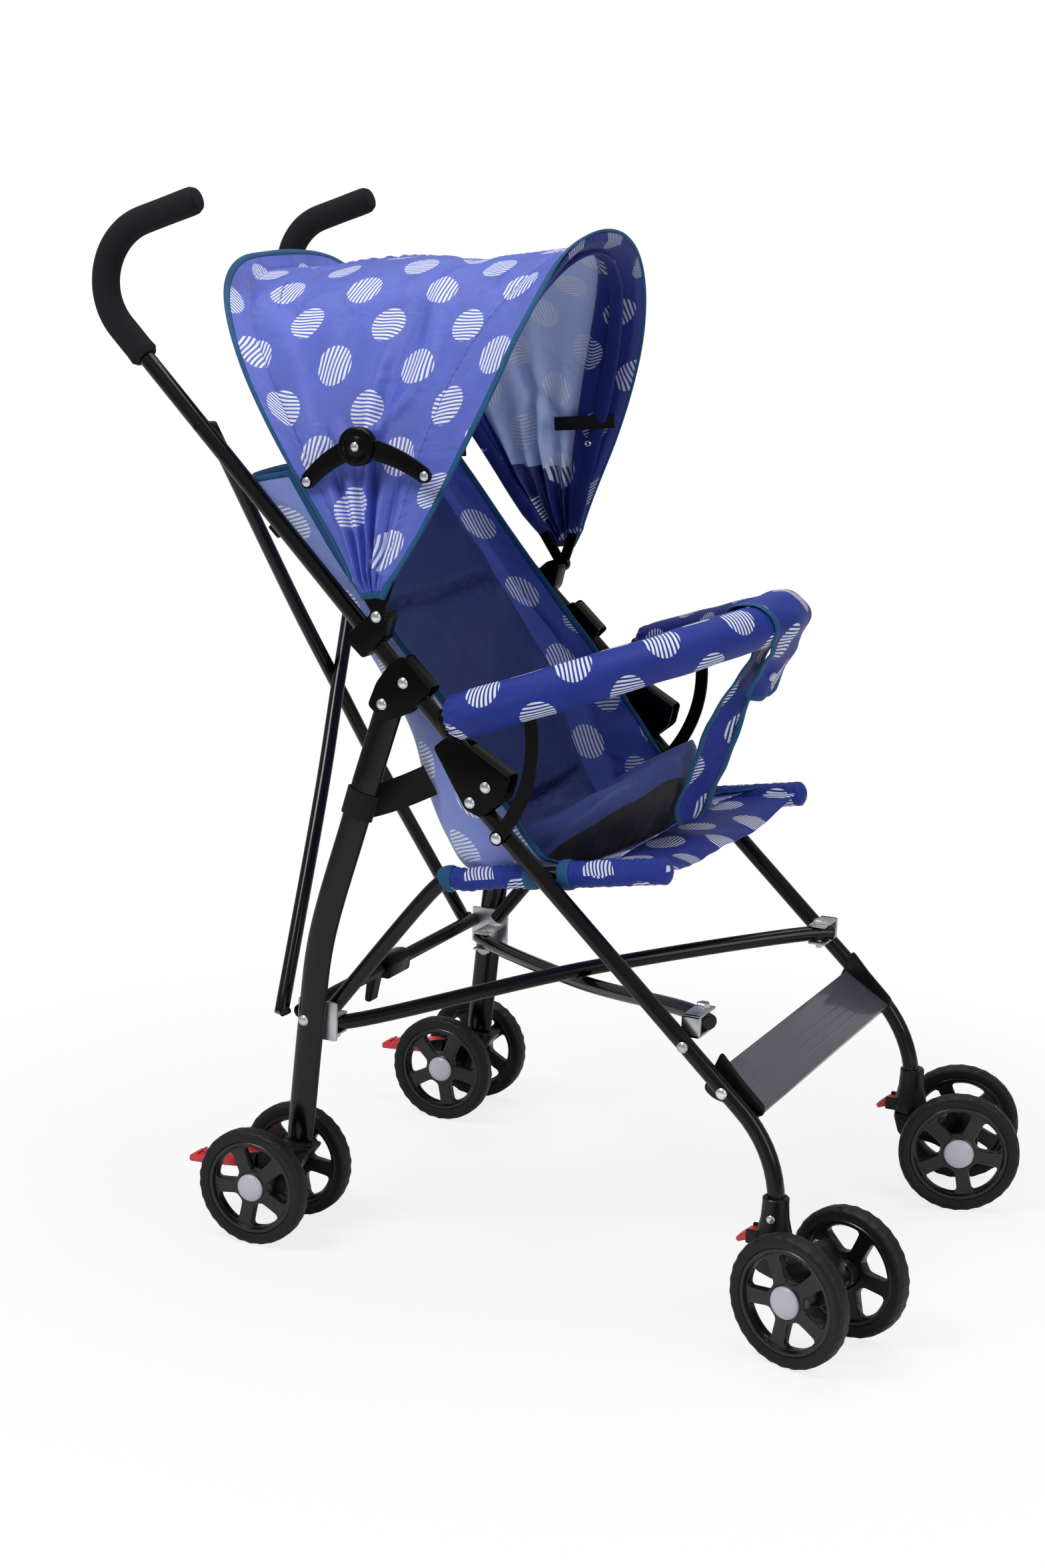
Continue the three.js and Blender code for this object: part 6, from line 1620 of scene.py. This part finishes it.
ring = [(1.5, 0), (3.4, 0), (3.4, 0.6), (2.9, 1.1), (2.0, 1.1), (1.5, 0.6), (1.5, 0)]
for name, x, z, body in (("rear", 20.5, 736, "frame"), ("front", 142.5, 750, "hood_front")):
    eyelet = [turned(ring, on_lining(x, z, 10.6), -AXIS_Y, 32)]
    both_sides(f"hood_eyelet_{name}", eyelet, bright_zinc, extra=True, body=body)
t = np.linspace(0, 1, 21)[:, None]
tab_line = on_lining(172, 775, 10.5) * (1 - t) + on_lining(110, 769, 12) * t
tab_line = tab_line - 2.0 * np.sin(np.pi * t) * AXIS_Y
tab = carried(tab_line, strip(1.6, 14), UP)
tab_uv = np.zeros((*tab.shape[:2], 4)) + (0, 0, 0, 1)
tab_uv[..., :2] = tab[..., ::2] * 0.001
webbing = fabric(
    "black_webbing", (10, 10, 12), roughness=0.7, thread=0.0022, sheen=0.05, crease=0.0003, gloss=0.25
)
both_sides(
    "hood_tab", [shell(tab, tab_uv)], webbing, crease=60, extra=True, body="hood_front"
)

# ------------------------------------------------------------------ seat sling
# A single panel of printed cloth forms the back, the seat and both side walls. It hangs from the handles
# and the seat rails, sags between them, and its front rims are bound in teal tape.
SLING_BACK = (
    (-64, 736), (2, 655), (66, 562), (104, 480), (127, 420), (150, 379), (182, 364), (228, 371), (272, 384),
    (312, 398),
)
SLING_CORNER = (
    (-59, 730), (6, 652), (66, 583), (122, 522), (136, 476), (156, 430), (174, 388), (218, 376), (270, 390),
    (330, 404),
)
SLING_RIM = (
    (-12, 741), (46, 666), (104, 600), (153, 545), (207, 472), (242, 431), (262, 409), (285, 402),
    (318, 406), (346, 412),
)
SLING_HALF = 176
ROWS = 36
back_line, corner_line, rim_line = (
    through(points, ROWS) for points in (SLING_BACK, SLING_CORNER, SLING_RIM)
)


def sling_surface(side):
    """The sling, side being -1 to 1: the back line in the middle goes over to the corner line by
    (|side| / 0.72)^2.4, and past |side| = 0.56 to the rim by ((|side| - 0.56) / 0.44)^1.45; across, y is
    half (0.55 sin(pi s / 2) + 0.45 s^0.9), s = |side| / 0.72 up to 1."""
    reach = np.abs(side)[None, :, None]
    share = np.clip(reach / 0.72, 0, 1) ** 2.4
    wall = np.clip((reach - 0.56) / 0.44, 0, 1) ** 1.45
    flat = back_line[:, None] + (corner_line - back_line)[:, None] * share
    flat = flat + (rim_line - corner_line)[:, None] * wall
    frame_y = HALF_TRACK - np.maximum(0, flat[..., 1] - LEAN_START) * LEAN_SLOPE - TUBE_RADIUS - 5.5
    half = np.minimum(SLING_HALF, frame_y)
    straight_out = np.clip(reach[..., 0] / 0.72, 0, 1)
    y = half * (0.55 * np.sin(np.pi / 2 * straight_out) + 0.45 * straight_out ** 0.9) * np.sign(side)
    return np.stack([flat[..., 0], y, flat[..., 1]], -1)


side = np.linspace(-1, 1, 121)
sling = sling_surface(side)
facing = normals(sling)
facing = facing * np.sign(facing[..., 2].mean())
down = lengths(sling)
over = lengths(sling, 1)
over = over - over[:, [60]]
wall = np.clip((np.abs(side) - 0.62) / 0.2, 0, 1)[None]
drag = 3.2 * np.sin(down / 46 + over / 60) + 1.5 * np.sin(over / 17 - down / 75 + 0.8)
drag = drag + 0.8 * np.sin(down / 19 - over / 43)
near_top = np.exp(-down / 50)
tug = 2.4 * np.sin(over / 11 + 2 * np.sin(down / 50)) * near_top * wall
near_rim = np.exp(-((1 - np.abs(side[None])) / 0.05) ** 2)
pinch = 1.6 * np.sin(down / 6.5 + 1.5 * np.sin(down / 23)) * near_rim * (down > 330)
lift = np.where(drag < 0, 0.35, 1) * drag * (0.35 + 1.1 * wall) + tug + pinch + 1.2
sling_front = sling + facing * lift[..., None]
sling_rear = sling_front - facing * 1.1
uv = np.stack([over * 0.001 + 0.02, down * 0.001 + 0.012], -1)
# Painted light and shade: the seat's copy of the printed satin is painted between the lit hood's and the
# shaded bumper's.
seat_satin = fabric(
    "seat_satin", (66, 85, 180), inner=(128, 146, 216), printed=0.92, roughness=0.4, crease=0.0028,
    sheen=0.1, gloss=0.45
)
seat = made(
    "seat_sling_cloth", [sheet_shell(sling_front, sling_rear, uv)], seat_satin, "frame",
    crease=70
)
middle_face = (sling_front + sling_rear) / 2
for name, edge, inner in (
    ("seat_binding_left", middle_face[:, -1], middle_face[:, -4]),
    ("seat_binding_right", middle_face[:, 0], middle_face[:, 3]),
    ("seat_top_binding", middle_face[0], middle_face[2]),
):
    made(name, [tape_along(edge, inner)], teal, "frame", crease=60)

# ------------------------------------------------------------------ seat pad
# A navy padded insert is sewn on to the sling, quilted by seams across the back and at the bend, and rises
# at the front into a soft bolster under the child's knees, whose front face is dark mesh over foam and
# painted near-black as painted shade too.
PAD_HALF, PAD_THICKNESS = 117, 17
PAD_SEAMS, FRONT_ROWS = (118, 344), 14
# The bolster's middle section beside the sling's: where the pad's surface stands for each control point.
BOLSTER = (
    (-64, 736), (2, 655), (66, 562), (104, 480), (127, 420), (152, 383), (188, 381), (226, 403), (282, 442),
    (338, 471),
)
pad_side = np.linspace(-1, 1, 97)
y_share = np.abs(pad_side)[None]
# The pad's rows stop short of the sling's front edge, by a share that grows as |side|^1.6.
pad_rows = 18 + np.linspace(0, 1, 300)[:, None] * (len(back_line) - 19) * (1 - 0.20 * y_share**1.6)
row_below = np.minimum(pad_rows.astype(int), len(back_line) - 2)
row_part = (pad_rows - row_below)[..., None]
columns = np.arange(len(pad_side))[None]


def along_rows(field):
    """A field on the sling's rows, read at the pad's own rows."""
    return field[row_below, columns] * (1 - row_part) + field[row_below + 1, columns] * row_part


pad_full = sling_surface(pad_side * 0.60)
pad_base = along_rows(pad_full)
pad_facing = normals(pad_base)
pad_facing = pad_facing * np.sign(pad_facing[..., 2].mean())
pad_down = lengths(pad_base)
crown = (1 - y_share**5) ** 0.5
rise_line = through(BOLSTER, ROWS) - back_line
rise = np.zeros((len(back_line), len(pad_side), 3))
rise[..., 0], rise[..., 2] = rise_line[:, :1], rise_line[:, 1:]
front_rise = along_rows(rise)
# The strap draws the bolster in at the middle, and it swells into a lobe on each side.
fade = ((1 - y_share**2.1) ** 1.15 - 0.14 * np.exp(-((pad_side[None] / 0.13) ** 2)))[..., None]
top_round = np.clip(pad_down / 16, 0, 1) ** 0.5
seams = sum(np.exp(-(((pad_down - at + 3 * np.sin(3 * pad_side + at)) / 5.5) ** 2)) for at in PAD_SEAMS)
upright_seam = np.exp(-((pad_side + 0.02 + 0.03 * np.sin(pad_down / 60)) / 0.035) ** 2)
upright_seam = upright_seam * ((pad_down > 128) & (pad_down < 215))
creases = 2.6 * np.sin(pad_down / 27 + 4.5 * pad_side) + 1.9 * np.sin(9 * pad_side - pad_down / 39)
creases = creases + 1.1 * np.sin(pad_down / 11 + 13 * pad_side)
beside_seams = sum(np.exp(-(((pad_down - at) / 15) ** 2)) for at in PAD_SEAMS)
gathers = 1.3 * np.sin(52 * pad_side + 3 * np.sin(pad_down / 9)) * beside_seams
thickness = (PAD_THICKNESS * top_round - 13 * seams - 3 * upright_seam + creases + gathers) * crown
thickness = thickness.clip(4.4)
pad_top = pad_base + pad_facing * thickness[..., None] + front_rise * fade
# The front face turns over the ridge and runs back down to the sling.
ridge, foot_row = pad_top[-1], pad_base[-1] + pad_facing[-1] * 2
drop = np.linspace(0, 1, FRONT_ROWS + 1)[1:, None, None]
bulge = np.sin(np.pi * drop**0.75) * 13 * fade
front_face = ridge[None] * (1 - drop) + foot_row[None] * drop + np.array((1.0, 0, 0)) * bulge
pad_upper = np.concatenate([pad_top, front_face], 0)
pad_lower = np.concatenate(
    [pad_base + pad_facing * 3.3, np.repeat(foot_row[None] - pad_facing[-1] * 0.4, FRONT_ROWS, 0)], 0
)
along = lengths(pad_upper)
to_pad_seam = np.min([np.abs(along - at + 3 * np.sin(3 * pad_side + at)) for at in PAD_SEAMS], 0)
# The bolster's front face, but for its first three rows, counts as second layer: black mesh, painted
# near-black also as painted shade.
band = np.where(np.arange(len(pad_upper)) < len(pad_top) + 3, 0.05, -0.05)[:, None]
values = np.broadcast_arrays(pad_side * PAD_HALF * 0.001, along * 0.001, 0.0, to_pad_seam * 0.001, band)
values = np.stack(values, -1)
carries = ringed(values, values)
middle = (pad_upper + pad_lower) / 2
rings = [ringed(middle[:1], middle[:1]), ringed(pad_upper, pad_lower), ringed(middle[-1:], middle[-1:])]
pad_shell = shell(
    np.concatenate(rings, 0), np.concatenate([carries[:1], carries, carries[-1:]], 0), ends=False
)
# The double colour is the bolster front's near-black: black mesh, and painted shade as well.
navy = fabric(
    "navy_pad", (42, 57, 118), thread=0.0011, sheen=0.08, stitch=(16, 20, 44), double=(5, 6, 12),
    crease=0.0036, gloss=0.35
)
pad = made("seat_pad", [pad_shell], navy, "frame", ("seat_sling",), crease=70)

# ------------------------------------------------------------------ front flap and rail sleeves
# In front of the bolster the printed cloth runs on to a hem between the ends of the rails; along each
# rail it is sewn into gathered sleeves with teal ends, one behind the front leg and one ahead of it.
FLAP_HALF, FLAP_FRONT = 176, 390
across = np.linspace(-1, 1, 101)[None]
reach = np.linspace(0, 1, 31)[:, None]
rear_x = 296 + 30 * np.abs(across) ** 2.2
rear_z = 391 + 12 * np.abs(across) ** 2.4
front_x = FLAP_FRONT - 16 * (1 - across**2) + 2 * np.sin(5 * across)
front_z = 415 - 15 * (1 - across**2) ** 0.7 + 1.2 * np.sin(8 * across + 1)
flap_x = rear_x + (front_x - rear_x) * reach
flap_z = rear_z + (front_z - rear_z) * reach
flap_z = flap_z + 4 * np.exp(-(across / 0.16) ** 2) * np.sin(np.pi * reach)
flap_z = flap_z + 0.9 * np.sin(11 * across + 4 * reach) * np.sin(np.pi * reach)
flap_z = flap_z + 0.6 * np.sin(26 * across - 6 * reach) * (1 - np.abs(across))
flap_z = flap_z - 9 * reach**5 * (1 - np.abs(across) ** 4)
flap = np.stack([flap_x, FLAP_HALF * across + 0 * flap_x, flap_z], -1)
flap_facing = normals(flap)
flap_facing = flap_facing * np.sign(flap_facing[..., 2].mean())
uv = np.stack([flap[..., 1] * 0.001 + 0.03, flap[..., 0] * 0.001 + 0.004], -1)
to_hem = np.abs(reach - 0.88) * 70 + 0 * across
values = np.concatenate([uv, (to_hem * 0.001)[..., None], np.ones((*uv.shape[:2], 1))], -1)
flap_piece = made(
    "seat_front_flap", [sheet_shell(flap, flap - flap_facing * 1.2, values)], satin, "frame",
    crease=70
)

SLEEVE_STEP = 1.6
for name, low, high, radius, folds in (("rear", 166, 262, 10.2, 1.0), ("front", 286, 389, 11.6, 0.45)):
    x = np.linspace(low, high, 60)
    line = np.stack([x, np.full_like(x, RAIL_Y), np.interp(x, rail[:, 0], rail[:, 1])], -1)
    line = even(line, SLEEVE_STEP)
    if name == "front":
        beyond = np.outer(np.arange(1, 5) * SLEEVE_STEP, unit(line[-1] - line[-3]))
        line = np.vstack([line, line[-1] + beyond])
    run = lengths(line)[:, None]
    turn = np.linspace(0, 2 * np.pi, 41)[None]
    gathered = 0.9 * np.sin(run / 1.45 + 1.1 * np.sin(2 * turn + run / 9)) + 0.7 * np.sin(run / 3.1 + turn)
    gathered = folds * gathered
    hang = 0.13 * np.clip(-np.sin(turn), 0, 1) ** 2 + 0.10 * np.exp(-((turn - np.pi) / 0.5) ** 2)
    swell = 1 + hang + gathered * 0.05 - 0.22 * np.exp(-(np.minimum(run, run[-1] - run) / 1.6) ** 2)
    if name == "front":
        swell = swell * np.clip((run[-1] - run) / 6 + 0.002, 0, 1) ** 0.5
    circle = np.stack([np.cos(turn), np.sin(turn)], -1)
    section = radius * swell[..., None] * circle
    uv = np.stack([run + 0 * turn, radius * turn + 0 * run], -1) * 0.001 + (0.0, 0.02)
    outer = carried(line, section)
    bore_radius = np.minimum(RAIL_RADIUS + 0.4, 0.8 * np.linalg.norm(section, axis=2).min(1))
    bore = carried(line, bore_radius[:, None, None] * circle)
    tube_cloth = sleeve_shell(outer, bore, uv)
    both_sides(f"rail_sleeve_{name}", [tube_cloth], satin, crease=60, extra=True)
    ends = (0,) if name == "front" else (0, -1)
    cuffs = []
    for end in ends:
        piece_of = line[:8] if end == 0 else line[-8:]
        turned_up = np.linspace(0, np.pi, len(piece_of))[:, None]
        cuff_radius = radius * (1.10 + hang) + 0.9 * np.sin(turned_up) ** 0.4
        face = carried(piece_of, cuff_radius[..., None] * circle)
        inner_ring = carried(piece_of, (RAIL_RADIUS + 0.5) * circle[0])
        cuff_uv = np.zeros((*face.shape[:2], 4)) + (0, 0, 0, 1)
        cuff_uv[..., :2] = face[..., ::2] * 0.001
        cuffs.append(sleeve_shell(face, inner_ring, cuff_uv))
    both_sides(f"rail_cuff_{name}", cuffs, teal, crease=60, extra=True)

# ------------------------------------------------------------------ seat webbing and clips
# Ribbed black webbing ties the back of the seat to each rear leg: a band round the leg and a strap forward
# to the side wall. Two small black hooks hold the seat's top on each handle.
leg = rear_leg_line[(rear_leg_line[:, 2] > 418) & (rear_leg_line[:, 2] < 453)]
leg = even(leg, 2.5)
wrap_outer = carried(leg, oval(REAR_LEG_WIDTH / 2 + 2.4, REAR_LEG_DEPTH / 2 + 2.4, 40))
wrap_inner = carried(leg, oval(REAR_LEG_WIDTH / 2 + 0.3, REAR_LEG_DEPTH / 2 + 0.3, 40))
height = np.arange(len(leg))[:, None] * 2.5
turn = np.linspace(0, 0.075, 41)[None]
uv = np.stack([turn + 0 * height, height * 0.001 + 0 * turn], -1)
band = sleeve_shell(wrap_outer, wrap_inner, uv)
t = np.linspace(0, 1, 25)[:, None]
strap_line = curve(
    *(np.array(place) for place in ((80.0, 193.0, 436), (104.0, 186.0, 441), (146.0, 176.5, 464))), t
)
level_across = unit(np.cross(unit(strap_line[-1] - strap_line[0]), UP))
tie = carried(strap_line, strip(30, 1.8), level_across)
tie_uv = np.stack(np.meshgrid(np.arange(9) * 0.004, t[:, 0] * 0.07), -1)
both_sides("seat_tie", [band, shell(tie, tie_uv)], webbing, crease=60, extra=True)
HOOK = ((-9, 4), (2, -6), (7, -1), (-4, 9))
hooks = [
    slab(np.add(HOOK, at), -TUBE_RADIUS - 5.5, -TUBE_RADIUS + 3, 2, 0.8) for at in ((-50, 715), (-19, 684))
]
both_sides("seat_hook", hooks, black_plastic, extra=True)

# ------------------------------------------------------------------ crotch strap
# A broad strap of the printed satin, edged in teal, loops round the middle of the bumper bar, closes with
# a snap and runs down in front of the bolster to the seat's flap.
STRAP_THICKNESS, STRAP_SLACK = 3, 1.7
STRAP = ((-9, -23.2), (-26, -58), (-44, -97), (-59, -147), (-73, -179), (-79, -205))
bar_middle = np.array((BUMPER_END[0] + BUMPER_REACH, BUMPER_END[1] + BUMPER_RISE))
loop_radius = BUMPER_COVER + STRAP_SLACK + STRAP_THICKNESS / 2
turn = np.linspace(1.36 * np.pi, -0.22 * np.pi, 90)
ease = 1 + 0.05 * np.sin(3 * turn) + 0.03 * np.sin(5 * turn + 1)
loop = bar_middle + loop_radius * ease[:, None] * np.stack([np.cos(turn), np.sin(turn)], -1)
tail = through(np.add(STRAP, bar_middle), 12)
tab = through(np.add([(14, -25), (3, -43), (-6, -62), (-11, -76)], bar_middle), 12)
path = even(np.vstack([tail[::-1], loop[6:], tab]), 2.5)
path = np.stack([path[:, 0], np.zeros(len(path)), path[:, 1]], -1)
run = lengths(path)[:, None]
from_end = run[-1] - run
width = np.interp(run[:, 0], (0, 60, 150, 182, 205, 235, 900), (38, 38, 40, 44, 76, 100, 100))
width = np.minimum(width, np.interp(from_end[:, 0], (0, 4, 30, 70, 110), (26, 36, 44, 84, 100)))[:, None]
spot = np.linspace(-0.5, 0.5, 41)[None]
along = unit(np.gradient(path, axis=0))
# The tail twists so that its face turns from straight ahead to the child's right.
twist = np.radians(40) * np.clip((178 - run) / 70, 0, 1) ** 1.2 * np.clip(run / 22 + 0.3, 0, 1)
twist = twist + np.radians(26) * np.clip((58 - from_end) / 50, 0, 1)
across_way = AXIS_Y * np.cos(twist) + np.array((1.0, 0, 0.12)) * np.sin(twist)
face_way = unit(np.cross(along, across_way))
belly = 2.6 * np.cos(np.pi * spot) + 0.9 * np.sin(run / 14 + 7 * spot) + 0.6 * np.sin(run / 6 - 9 * spot)
front = path[:, None] + (width * spot)[..., None] * across_way[:, None]
front = front + belly[..., None] * face_way[:, None]
# Round the bar the strap follows the bar's own bend: x falls by reach (1 - (1 - |y / half|^p)^(1/p)).
on_bar = np.clip((run - 175) / 30, 0, 1) * np.clip((from_end - 30) / 30, 0, 1)
bar_shape = (1 - np.abs(front[..., 1] / BUMPER_HALF) ** BUMPER_POWER) ** (1 / BUMPER_POWER)
back_by = BUMPER_REACH * (1 - bar_shape) * on_bar
front[..., 0] -= back_by
front[..., 2] -= back_by * BUMPER_RISE / BUMPER_REACH
rear = front - face_way[:, None] * 1.6
uv = np.stack([width * spot * 0.001 + 0.02, run * 0.001 + 0.01 + 0 * spot], -1)
edge_distance = (0.5 - np.abs(spot)) * width - 6
values = np.concatenate([uv, (np.abs(edge_distance) * 0.001)[..., None], np.ones((*uv.shape[:2], 1))], -1)
strap = made(
    "crotch_strap_piece", [sheet_shell(front, rear, values)], satin, "frame", ("crotch_strap",),
    crease=70
)
middle_face = (front + rear) / 2
tapes = [
    tape_along(middle_face[:, 0], middle_face[:, 2]), tape_along(middle_face[:, -1], middle_face[:, -3]),
    tape_along(middle_face[-1], middle_face[-3]),
]
made("crotch_strap_binding", tapes, teal, "frame", crease=60)
snap = [(0, -1), (4.6, -1), (4.6, 0.8), (3.8, 1.6), (1.6, 2.0), (0, 2.1)]
snap_way = face_way[-11] * np.sign(face_way[-11, 0])
made("strap_snap", [turned(snap, path[-11] + snap_way * 3.4, snap_way, 28)], cap_plastic, "frame")
